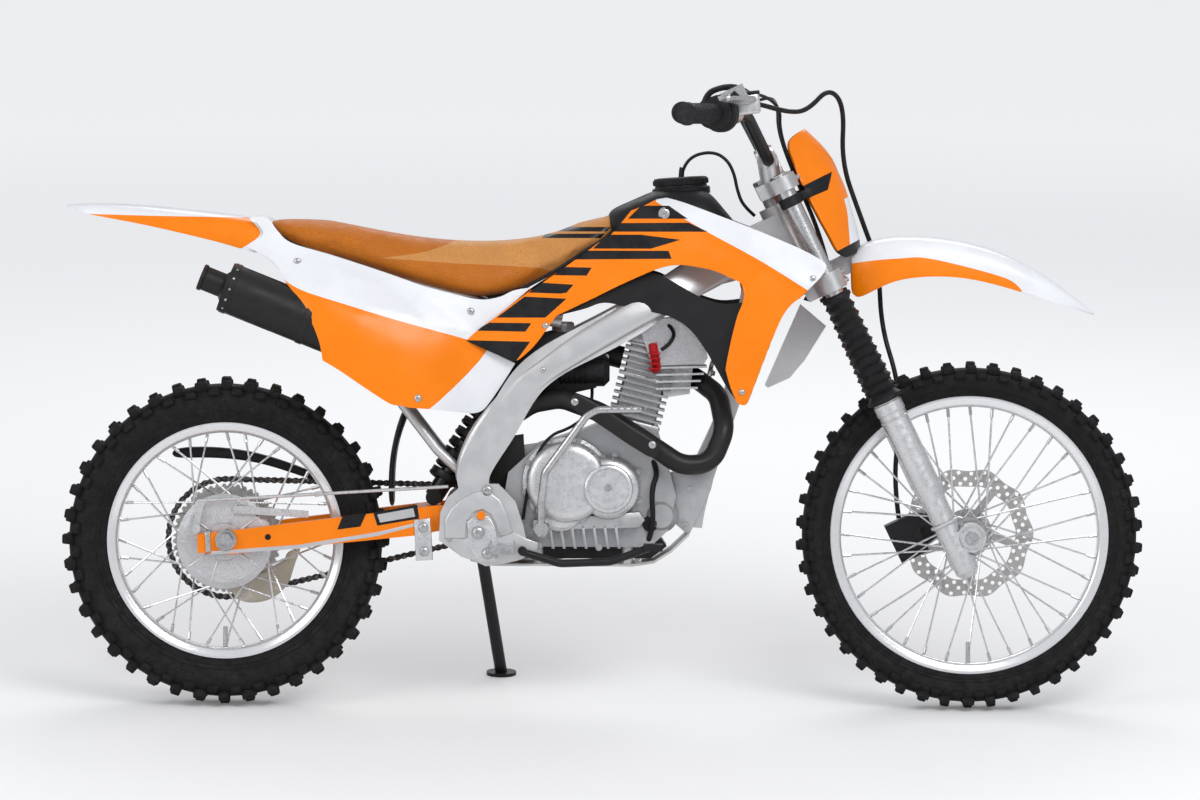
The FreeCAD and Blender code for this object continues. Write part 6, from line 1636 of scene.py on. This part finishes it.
def chain_places():
    """Matrices of the links, evenly along the belt line round both sprockets."""
    (x0, z0, r0), (x1, z1, r1) = CHAIN_ENDS
    apart = math.hypot(x1 - x0, z1 - z0)
    slope, lead = math.atan2(z1 - z0, x1 - x0), math.acos((r0 - r1) / apart)
    line = []
    for x, z, radius, start, sweep in ((x0, z0, r0, slope + lead, FULL_TURN - 2 * lead),
                                       (x1, z1, r1, slope - lead, 2 * lead)):
        for i in range(73):
            turn = start + sweep * i / 72
            line.append(Vector((x + radius * math.cos(turn), z + radius * math.sin(turn))) / 1000)
    line.append(line[0])
    pitch = sum((b - a).length for a, b in zip(line, line[1:])) / CHAIN_LINKS
    places, walked, step = [], 0.0, 0
    for a, b in zip(line, line[1:]):
        run = (b - a).length
        while step < CHAIN_LINKS and step * pitch < walked + run:
            share = (step * pitch - walked) / run
            spot = a.lerp(b, share)
            turn = math.atan2((b - a).y, (b - a).x)
            places.append(Matrix.Translation((spot.x, CHAIN_ACROSS, spot.y)) @ Matrix.Rotation(-turn, 4, "Y"))
            step += 1
        walked += run
    return places


class BIKE_OT_chain(bpy.types.Operator):
    """Drive chain with inner and outer links, its guard, guide and the sprocket's bolts"""

    bl_idname = "bike.chain"
    bl_label = "Drive Chain"

    def execute(self, context):
        bm = bmesh.new()
        kinds = [link_mesh([(-6.3, -5.0), (5.0, 6.3)]), link_mesh([(-4.6, -3.3), (3.3, 4.6)])]
        for i, place in enumerate(chain_places()):
            copy_on(bm, kinds[i % 2], place)
        keep(bm, "chain_links", "root", ["chain steel"], ["drive_chain"], crease=30)
        guard, guide, steel = bmesh.new(), bmesh.new(), bmesh.new()
        strip(guard, GUARD_STATIONS)
        strip(guide, GUIDE_STATIONS)
        for i in range(6):
            turn = i * FULL_TURN / 6
            bolt_on(steel, out_seat(52 * math.cos(turn), 59.5, 293 + 52 * math.sin(turn)), 5, 5)
        keep_solid(steel, "sprocket_bolts", "rear_wheel", "plated steel")
        keep_all("root", ("chain_guard", "black plastic", guard),
                 ("chain_guide", "cream plastic", guide))
        return {"FINISHED"}


ARM_FIELDS = [[(343, 517), (367, 514), (361, 527), (338, 530)],
              [(374, 513), (418, 505), (420, 519), (378, 526)]]
ARM_LABEL = [(378, 515), (414, 508.5), (416, 517), (381, 523)]
ARM_EDGE = [(212, 551), (300, 544.5), (380, 531.5), (424, 521), (424, 524), (380, 535.5), (300, 548.5),
            (213, 554.5)]
ARM_PIVOT = [(415, 520), (431, 518), (434, 560), (417, 561)]
ARM_PIVOT_BOLTS = [(424, 528), (425, 552)]
AXLE_NUT, ADJUSTER_SCREW, ARM_PLUG = (226.5, 540), (203, 541), (268.5, 537.5)
BRAKE_ROD_END, BRAKE_ARM_END = (315, 495), (197, 529)
ADJUSTER = [(206, 532), (211, 531), (212, 551), (207, 552)]


class BIKE_OT_swingarm(bpy.types.Operator):
    """Swingarm detail: dark label fields, silver lower edge, chain adjusters, axle nuts and brake linkage"""

    bl_idname = "bike.swingarm"
    bl_label = "Swingarm Detail"

    def execute(self, context):
        silver, dark, steel, nut = bmesh.new(), bmesh.new(), bmesh.new(), bmesh.new()
        for side in (RIGHT, LEFT):
            out = side * 95.4
            for field in ARM_FIELDS:
                slab(dark, field, side * 94, out, 0)
            slab(silver, ARM_LABEL, side * 94, out + side * 0.3, 0)
            slab(silver, ARM_EDGE, side * 72, out, 0.4)
            rod_on(steel, side_seat(*AXLE_NUT, side * 109), 13, 8, 1.2, 6)
            rod_on(steel, side_seat(*AXLE_NUT, side * 95), 19, 6, 1.2, 32)
            screw = drawn(*ADJUSTER_SCREW, side * 82 / 1000)
            rod_on(steel, seat_at(screw, (1, 0, 0.02), ACROSS), 4.5, 22, 0.8, 12)
            slab(steel, ADJUSTER, side * 70, side * 97, 1)
            bolts_on(dark, [(*ARM_PLUG, side * 95)], 4, 2, False)
            slab(nut, ARM_PIVOT, side * 84, side * 99, 2)
            bolts_on(steel, [(*spot, side * 99) for spot in ARM_PIVOT_BOLTS], 7, 4)
        rod_on(nut, seat_at(drawn(*BRAKE_ROD_END, -0.1), (0.985, 0, 0.17), ACROSS), 5.5, 16, 1, 6)
        rod_on(nut, side_seat(*BRAKE_ARM_END, -90), 8, 8, 1, 24)
        for turn in round_turns(10):
            box_on(nut, out_seat(0, -59.6, 293) @ turn @ shift(56, 0, 0), (44, 3.4, 5), 1)
        rod_on(nut, out_seat(0, -59, 293), 34, 8, 2, 48)
        keep_all("root", ("swingarm_labels", "black film", dark),
                 ("swingarm_edges", "silver paint", silver),
                 ("swingarm_nuts", "plated steel", steel),
                 ("brake_panel_ribs", "bright casting", nut))
        return {"FINISHED"}


# Front end


def wavy(turn, radius, reach):
    return radius + reach * math.cos(10 * turn)


def disc_cell(bm, inner, outer, start, sweep, hole):
    """One field of the disc between two waved radii, with a round hole or whole."""
    corners = [(0, 0), (0.33, 0), (0.67, 0), (1, 0), (1, 0.33), (1, 0.67)]
    corners += [(1 - across, 1 - up) for across, up in corners]
    edge = []
    for across, up in corners:
        turn = start + sweep * across
        radius = inner(turn) * (1 - up) + outer(turn) * up
        edge.append(Vector((radius * math.cos(turn), 0, radius * math.sin(turn))) / 1000)
    ring = ring_of(bm, edge)
    if not hole:
        bmesh.ops.edgeloop_fill(bm, edges=ring)
        return
    middle = start + sweep / 2
    radius = (inner(middle) + outer(middle)) / 2
    centre = Vector((radius * math.cos(middle), 0, radius * math.sin(middle))) / 1000
    loop = ring_of(bm, [centre + (spot - centre).normalized() * 0.0036 for spot in edge])
    bmesh.ops.bridge_loops(bm, edges=ring + loop)


def waved_disc(bm, radius, width):
    """Waved brake ring with staggered holes, lying in X and Z about the origin."""
    bands = [lambda turn, i=i: wavy(turn, radius - width + width * i / 3, 1.6 + 0.6 * i) for i in range(4)]
    for i in range(60):
        for row, (inner, outer) in enumerate(zip(bands, bands[1:])):
            disc_cell(bm, inner, outer, i * FULL_TURN / 60, FULL_TURN / 60, (i + row) % 2 == 0)
    bmesh.ops.remove_doubles(bm, verts=bm.verts, dist=1e-5)
    grown = bmesh.ops.extrude_face_region(bm, geom=bm.faces[:])["geom"]
    bmesh.ops.translate(bm, vec=(0, 0.0035, 0), verts=[p for p in grown if isinstance(p, bmesh.types.BMVert)])


class BIKE_OT_front_brake(bpy.types.Operator):
    """Front brake: waved and drilled disc on its carrier, caliper halves, bolts and hub flanges"""

    bl_idname = "bike.front_brake"
    bl_label = "Front Brake"

    def execute(self, context):
        bm = bmesh.new()
        waved_disc(bm, 115, 30)
        for turn in round_turns(5):
            box_on(bm, out_seat(0, 47.8, 0) @ turn @ shift(62, 12, 0) @ Matrix.Rotation(0.35, 4, "Z"),
                   (56, 13, 3.2), 1, segments=1)
        for vert in bm.verts:
            if vert.co.y < 0.02:
                vert.co.y += 0.046
        rod_on(bm, out_seat(0, 46.2, 0), 44, 3.2, 0.5, 48, 30)
        outward(bm)
        bmesh.ops.translate(bm, vec=FRONT_AXLE, verts=bm.verts)
        keep(bm, "brake_disc_waved", "front_wheel", ["disc steel"], ["front_brake_disc"], crease=30)
        steel, cast, dark = bmesh.new(), bmesh.new(), bmesh.new()
        for i in range(5):
            turn = i * FULL_TURN / 5 + 0.3
            spot = FRONT_AXLE + Vector((37 * math.cos(turn), 49.4, 37 * math.sin(turn))) / 1000
            bolt_on(steel, seat_at(spot, (0, 1, 0)), 4.5, 4)
        for side, out in ((RIGHT, -38), (LEFT, 46)):
            for i in range(18):
                turn = i * FULL_TURN / 18
                spot = FRONT_AXLE + mm(27 * math.cos(turn), out - side * 1.5, 27 * math.sin(turn))
                rod_on(steel, seat_at(spot, (0, side, 0)), 2.2, 2.4, 0.5, 10)
        rod_on(cast, seat_at(FRONT_AXLE + mm(0, -38, 0), (0, -1, 0)), 24, 10, 2, 48)
        rod_on(cast, seat_at(FRONT_AXLE + mm(0, -18, 0), (0, 1, 0)), 25, 40, 6, 48)
        keep_solid(steel, "front_hub_bolts", "front_wheel", "plated steel")
        keep_solid(cast, "front_hub_caps", "front_wheel", "cast alloy")
        for ahead, up in ((-102, -18), (-86, 22)):
            rod_on(dark, seat_at(FRONT_AXLE + mm(ahead, 64, up), (0, 1, 0)), 17, 22, 3, 32)
            rod_on(dark, seat_at(FRONT_AXLE + mm(ahead, 38, up), (0, -1, 0)), 14, 7, 2, 32)
        keep_solid(dark, "caliper_pistons", "steering", "satin black")
        return {"FINISHED"}


def bar_spot(side, from_end, out=0.0, up=0.0):
    """Point beside the handlebar's straight end: in from its end, ahead and up, in millimetres."""
    corner, end = on_fork(855.5, -38, side * 181), on_fork(901.3, -133.5, side * 398)
    inward = (corner - end).normalized()
    return end + inward * from_end / 1000 + (FORK_AHEAD * out + FORK_UP * up) / 1000


def bar_seat(side, from_end, out=0.0, up=0.0):
    corner, end = bar_spot(side, 200), bar_spot(side, 0)
    return seat_at(bar_spot(side, from_end, out, up), end - corner, FORK_AHEAD)


THROTTLE_BEND = [(702, 106, -262), (704, 94, -262), (720, 87, -260), (738, 87, -250), (750, 96, -240)]
CAP_BREATHER = [(680, 176, 0), (683, 164, 0), (695, 154, 0), (713, 152, 0), (726, 160, 0), (733, 174, 0),
                (736, 190, 0), (742, 206, 0), (754, 216, 0)]
THROTTLE_CABLE = [(842, 26, -112), (800, 4, -62), (720, -4, -46), (600, -8, -50), (545, -20, -54)]
CLUTCH_CABLE = [(842, 26, 104), (800, 4, 62), (720, -4, 46), (600, -8, 50), (545, -20, 54)]
BRAKE_HOSE = [(822, 34, -118), (812, 66, -92), (832, 118, -50), (790, 130, -12), (700, 82, 30), (600, 72, 52),
              (500, 64, 96), (400, 20, 84), (300, 6, 62), (220, -32, 55), (140, -80, 58), (77, -100, 62)]


class BIKE_OT_cockpit(bpy.types.Operator):
    """Handlebar detail: grip ribs, throttle, master cylinder, perches, bar clamps and cables"""

    bl_idname = "bike.cockpit"
    bl_label = "Cockpit"

    def execute(self, context):
        rubber, black, steel, alloy = bmesh.new(), bmesh.new(), bmesh.new(), bmesh.new()
        for side in (RIGHT, LEFT):
            for i in range(13):
                rod_on(rubber, bar_seat(side, 106 - 7.4 * i), 17.9, 3.6, 0.9, 32, 12)
            rod_on(rubber, bar_seat(side, 6), 20.6, 11, 3, 32)
            rod_on(rubber, bar_seat(side, 122), 29.4, 4, 1.4, 48, 12)
            rod_on(alloy, bar_seat(side, 194), 15.5, 30, 2, 32, 10)
            box_on(alloy, bar_seat(side, 179, 20), (26, 20, 26), 4)
            rod_on(steel, seat_at(bar_spot(side, 170, 42, -8), FORK_UP, FORK_AHEAD), 5, 18, 1, 16)
            bolt_on(steel, seat_at(bar_spot(side, 172, 8, 13), FORK_UP, FORK_AHEAD), 3.6, 4)
            bolt_on(steel, seat_at(bar_spot(side, 188, 8, 13), FORK_UP, FORK_AHEAD), 3.6, 4)
            rod_on(steel, bar_seat(side, 34, 64), 6.4, 10, 3, 20)
        rod_on(black, bar_seat(RIGHT, 151), 33, 25, 7, 48, 11)
        drawn_tube(black, THROTTLE_BEND, 5.5)
        rod_on(black, bar_seat(RIGHT, 151, 18), 13, 20, 4, 24)
        bolt_on(steel, bar_seat(RIGHT, 128, 20), 3, 2, False)
        reservoir = seat_at(bar_spot(RIGHT, 184, 32, 4), (-0.12, 0, 1), (1, 0, 0.12))
        box_on(alloy, reservoir, (44, 54, 38), 5, segments=3)
        box_on(black, reservoir @ shift(0, 0, 18), (47, 57, 7), 2)
        for out in (-19, 19):
            rod_on(steel, reservoir @ shift(0, out, 21.5), 3, 1.6, 0.4, 12)
        rod_on(black, bar_seat(LEFT, 150), 17, 14, 3, 32, 11)
        box_on(black, bar_seat(LEFT, 143, 4, 18), (16, 14, 16), 3)
        rod_on(alloy, seat_at(bar_spot(LEFT, 200, 30), FORK_AHEAD, FORK_UP), 8, 14, 1.5, 20)
        for out in (-30, 30):
            box_on(alloy, fork_seat(773, -36, out), (34, 22, 16), 3)
            box_on(alloy, fork_seat(744, -36, out), (34, 22, 34), 3)
            for ahead in (-48, -24):
                bolt_on(steel, fork_seat(781, ahead, out), 4, 5)
        throttle_start = [bar_spot(RIGHT, 138, 24, 6), bar_spot(RIGHT, 160, 56, 20)]
        tube(rubber, throttle_start + [on_fork(*spot) for spot in THROTTLE_CABLE], 3)
        clutch_start = [bar_spot(LEFT, 200, 42), bar_spot(LEFT, 236, 60, 6)]
        tube(rubber, clutch_start + [on_fork(*spot) for spot in CLUTCH_CABLE], 3)
        breather = bmesh.new()
        drawn_tube(breather, CAP_BREATHER, 3)
        keep_solid(breather, "cap_breather", "root", "black rubber")
        hose = bmesh.new()
        hose_start = [bar_spot(RIGHT, 184, 34, 4) + mm(0, 20, 0), bar_spot(RIGHT, 184, 42, 2) + mm(0, 50, 0)]
        tube(hose, hose_start + [on_fork(*spot) for spot in BRAKE_HOSE], 4.4, 16)
        keep_solid(hose, "hose_line", "steering", "black rubber", ["brake_hose"])
        keep_all("steering", ("grip_ribs", "black rubber", rubber),
                 ("switchgear", "black plastic", black),
                 ("cockpit_bolts", "plated steel", steel),
                 ("perches", "bright casting", alloy))
        return {"FINISHED"}


class BIKE_OT_fork(bpy.types.Operator):
    """Fork detail: gaiter clamps, slider rings, axle clamps, clamp bolts and stem nut"""

    bl_idname = "bike.fork"
    bl_label = "Fork Detail"

    def execute(self, context):
        black, steel, cast = bmesh.new(), bmesh.new(), bmesh.new()
        for side in (RIGHT, LEFT):
            for along, radius in ((286, 31.4), (486, 25.4)):
                band(black, on_fork(along, -32, side * 92), FORK_UP, radius, 7, 1.6)
            for along, radius, wide in ((262, 25, 20), (248, 25, 4), (40, 25, 6)):
                rod_on(cast, fork_seat(along, -32, side * 92), radius + 1.6, wide, 1.2,
                       48, radius - 1)
            rod_on(cast, seat_at(on_fork(0, 0, side * 70), (0, side, 0), FORK_UP), 21, 46, 4, 48)
            rod_on(steel, seat_at(on_fork(0, 0, side * 116), (0, side, 0), FORK_UP), 11.5, 5, 1, 6)
            for along in (-24, 28):
                bolt_on(steel, seat_at(on_fork(along, -8, side * 92), FORK_AHEAD, FORK_UP), 4, 5)
            rod_on(steel, fork_seat(-58, -32, side * 92), 7, 10, 1.4, 6)
            for along in (511, 527, 713):
                bolt_on(steel, seat_at(on_fork(along, -4, side * 84), FORK_AHEAD, FORK_UP), 4.4, 6)
            rod_on(steel, fork_seat(725, -32, side * 92), 18, 5, 1.4, 6)
            rod_on(black, fork_seat(729, -32, side * 92), 8, 3, 0.8, 20)
        rod_on(steel, fork_seat(726, -62, 0), 17, 9, 1.6, 6)
        keep_all("steering", ("gaiter_clamps", "black rubber", black),
                 ("fork_bolts", "plated steel", steel),
                 ("slider_rings", "bright casting", cast))
        return {"FINISHED"}


FIN = [(800, 304), (765, 385), (768, 388), (790, 378), (805, 360), (826, 326)]
FIN_ROOT = [(803, 300), (808, 291), (820, 280), (824, 290), (810, 302)]
FLAP_STATIONS = [((412, 408), (404, 406), 0, 50), ((403, 428), (397, 426), 0, 52),
                 ((397, 452), (391, 452), 0, 50), ((395, 480), (389, 480), 0, 48),
                 ((396, 508), (390, 508), 0, 44)]
AIRBOX_FACE = [(470, 352), (498, 342), (528, 336), (552, 330), (580, 334), (604, 344), (608, 368),
               (596, 388), (560, 396), (520, 402), (478, 404)]
SKID_BOLTS = [(560, 559), (640, 559)]
SKID_WASHERS = [(500, 561), (560, 563), (640, 562)]
REAR_RAIL = [(486, 440), (524, 434), (528, 500), (512, 514), (492, 492)]


class BIKE_OT_trim(bpy.types.Operator):
    """Trim: mud flap, inner shroud fin, airbox side, peg teeth, lever pads, skid plate bolts, shock spring"""

    bl_idname = "bike.trim"
    bl_label = "Trim"

    def execute(self, context):
        white, black, steel, silver, spring = (bmesh.new() for _ in range(5))
        slab(white, FIN, 126, 130, 1)
        slab(black, FIN_ROOT, 118, 128, 1)
        strip(black, FLAP_STATIONS)
        slab(black, AIRBOX_FACE, -50, -58, 3)
        slab(black, REAR_RAIL, -30, -42, 3)
        for side in (RIGHT, LEFT):
            for i in range(6):
                for edge in (-20, 20):
                    tooth = seat_at(mm(498 + edge, side * (150 + 10 * i), 301))
                    box_on(steel, tooth, (3, 4, 7), 0.6, 0.5, 1)
            bolts_on(steel, [(*spot, side * 40) for spot in SKID_BOLTS], 5, 3, False)
            for spot in SKID_WASHERS:
                rod_on(silver, seat_at(drawn(*spot, side * 0.05), (0, 0, -1)), 9, 2, 0.6, 20)
        for i in range(6):
            box_on(steel, seat_at(mm(690 + 12 * i, -143, 539.5)), (5, 15, 5), 1, segments=1)
        rod_on(steel, out_seat(566, -110, 322), 15, 20, 2, 6)
        rod_on(spring, out_seat(668, 150, 301), 8, 24, 2, 20)
        low, high = mm(385, 0, 395), mm(488, 0, 560)
        along = (high - low).normalized()
        across = along.cross(ACROSS)
        turns = [low + along * (0.006 + 0.15 * i / 112) + (ACROSS * math.cos(i * FULL_TURN / 16)
                                                          + across * math.sin(i * FULL_TURN / 16)) * 0.027
                 for i in range(113)]
        tube(spring, turns, 4.6)
        keep_all("root", ("shroud_fin", "white cover", white),
                 ("trim_black", "black plastic", black),
                 ("trim_steel", "plated steel", steel),
                 ("skid_washers", "skid sheet", silver))
        outward(spring)
        keep(spring, "shock_spring", "root", ["black rubber"])
        return {"FINISHED"}


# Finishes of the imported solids

NODES_OF_FINISH = {
    "silver paint": "steering_head frame_spar_right frame_spar_left subframe",
    "orange paint": "swingarm",
    "cast alloy": "front_hub rear_hub bottom_clamp top_clamp crankcase cylinder_barrel cylinder_head",
    "bright casting": "rear_brake_panel fork_leg_right fork_leg_left",
    "plated steel": "front_axle rear_axle kick_starter footpegs fork_tubes gear_lever brake_lever"
                    " clutch_lever",
    "spoke steel": "front_spokes rear_spokes",
    "disc steel": "rear_sprocket",
    "satin black": "side_stand handlebar rear_shock front_caliper brake_pedal",
    "exhaust black": "exhaust_pipe muffler",
    "skid sheet": "skid_plate",
    "black plastic": "carburettor_and_airbox throttle_housing",
    "black rubber": "grips fork_gaiters",
    "red rubber": "spark_plug_cap",
}
NODE_FINISHES = {node: finish for finish, nodes in NODES_OF_FINISH.items() for node in nodes.split()}


class BIKE_OT_finishes(bpy.types.Operator):
    """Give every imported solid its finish"""

    bl_idname = "bike.finishes"
    bl_label = "Finishes"

    def execute(self, context):
        for node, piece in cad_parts.items():
            if not piece.hide_render:
                piece.data.materials.clear()
                piece.data.materials.append(finish_of(NODE_FINISHES[node]))
        return {"FINISHED"}


# Stage


def plain_backdrop(name, colour):
    """Matt studio surface that looks plain white to the camera away from the object's shadow."""
    material = bpy.data.materials.new(name)
    material.use_nodes = True
    tree = material.node_tree
    where = node_in(tree, "TexCoord", {}).outputs["Object"]
    away = node_in(tree, "VectorMath", {0: where}, operation="LENGTH").outputs["Value"]
    lift = node_in(tree, "MapRange", {"Value": away, "From Min": 0.8, "From Max": 7.0, "To Min": 0.12,
                                      "To Max": 0.39}).outputs["Result"]
    seen = node_in(tree, "LightPath", {}).outputs["Is Camera Ray"]
    glow = node_in(tree, "Math", {0: seen, 1: lift}, operation="MULTIPLY").outputs["Value"]
    fill(tree, tree.nodes["Principled BSDF"], {
        "Base Color": (*colour, 1), "Roughness": 0.85, "Specular IOR Level": 0.1,
        "Emission Color": (1, 1, 1, 1), "Emission Strength": glow})
    return material


def soft_lamp(name, place, target, size, power):
    lamp = bpy.data.lights.new(name, "AREA")
    lamp.shape, lamp.size, lamp.size_y, lamp.energy = "RECTANGLE", size[0], size[1], power
    holder = placed(name, lamp)
    holder.location = place
    holder.rotation_euler = (Vector(target) - Vector(place)).to_track_quat("-Z", "Y").to_euler()


class BIKE_OT_stage(bpy.types.Operator):
    """Pale floor, soft light and the camera that looks square at the bike's right side"""

    bl_idname = "bike.stage"
    bl_label = "Stage"

    def execute(self, context):
        looks = context.scene.bike_looks
        bm = bmesh.new()
        bmesh.ops.create_grid(bm, x_segments=1, y_segments=1, size=30)
        mesh = mesh_of(bm, "studio_floor")
        mesh.materials.append(plain_backdrop("studio_floor", tuple(looks.floor_colour)))
        floor = placed("studio_floor", mesh)
        world = bpy.data.worlds.new("studio")
        context.scene.world = world
        world.use_nodes = True
        tree = world.node_tree
        sky = tree.nodes["Background"]
        fill(tree, sky, {"Color": (0.93, 0.95, 1.0, 1), "Strength": 0.62 * looks.light_level})
        white = node_in(tree, "Background", {"Color": (0.87, 0.875, 0.885, 1)})
        path = node_in(tree, "LightPath", {}).outputs
        seen = node_in(tree, "Math", {0: path["Is Camera Ray"], 1: path["Is Transmission Ray"]},
                       operation="MAXIMUM")
        mix = node_in(tree, "MixShader", {"Fac": seen.outputs["Value"], 1: sky.outputs["Background"],
                                          2: white.outputs["Background"]})
        fill(tree, tree.nodes["World Output"], {"Surface": mix.outputs["Shader"]})
        level = looks.light_level
        soft_lamp("key", (1.6, -3.2, 3.4), (0, 0, 0.5), (2.6, 1.6), 95 * level)
        soft_lamp("fill", (-3.0, -2.6, 2.0), (0, 0, 0.4), (2.0, 2.0), 38 * level)
        soft_lamp("rear", (0.5, 3.0, 3.0), (0, 0, 0.5), (3.0, 1.5), 45 * level)
        lens = bpy.data.cameras.new("view")
        lens.lens, lens.sensor_width = 234.6, 36
        lens.clip_start, lens.clip_end = 0.5, 100
        camera = placed("view", lens)
        place, target = Vector((0.669, -EYE_AWAY, 1.1)), Vector((0.669, 0.0, 0.548))
        stand = Matrix.Translation(place) @ (target - place).to_track_quat("-Z", "Y").to_matrix().to_4x4()
        camera.matrix_world = STANCE @ stand @ Matrix.Rotation(DRAWN_TILT, 4, "Z")
        context.scene.camera = camera
        context.scene.view_settings.view_transform = "Standard"
        return {"FINISHED"}


# The add-on

STEPS = [
    BIKE_OT_shrouds, BIKE_OT_side_panels, BIKE_OT_rear_fender, BIKE_OT_front_fender, BIKE_OT_tank,
    BIKE_OT_seat, BIKE_OT_number_plate, BIKE_OT_tyres, BIKE_OT_rims, BIKE_OT_frame, BIKE_OT_engine,
    BIKE_OT_intake, BIKE_OT_exhaust, BIKE_OT_chain, BIKE_OT_swingarm, BIKE_OT_front_brake,
    BIKE_OT_cockpit, BIKE_OT_fork, BIKE_OT_trim, BIKE_OT_finishes, BIKE_OT_stage,
]


class BIKE_PT_looks(bpy.types.Panel):
    """Lists the bike's pieces, in the order in which they are made"""

    bl_label = "Dirt Bike"
    bl_idname = "BIKE_PT_looks"
    bl_space_type = "VIEW_3D"
    bl_region_type = "UI"
    bl_category = "Dirt Bike"

    def draw(self, context):
        looks = context.scene.bike_looks
        for name in looks.bl_rna.properties.keys():
            if name not in ("rna_type", "name"):
                self.layout.prop(looks, name)
        for step in STEPS:
            self.layout.operator(step.bl_idname)


def register():
    for kind in [BikeLooks, *STEPS, BIKE_PT_looks]:
        bpy.utils.register_class(kind)
    bpy.types.Scene.bike_looks = bpy.props.PointerProperty(type=BikeLooks)


def unregister():
    del bpy.types.Scene.bike_looks
    for kind in reversed([BikeLooks, *STEPS, BIKE_PT_looks]):
        bpy.utils.unregister_class(kind)


def main():
    register()
    for step in STEPS:
        group, name = step.bl_idname.split(".")
        getattr(getattr(bpy.ops, group), name)()


if __name__ == "__main__":
    main()
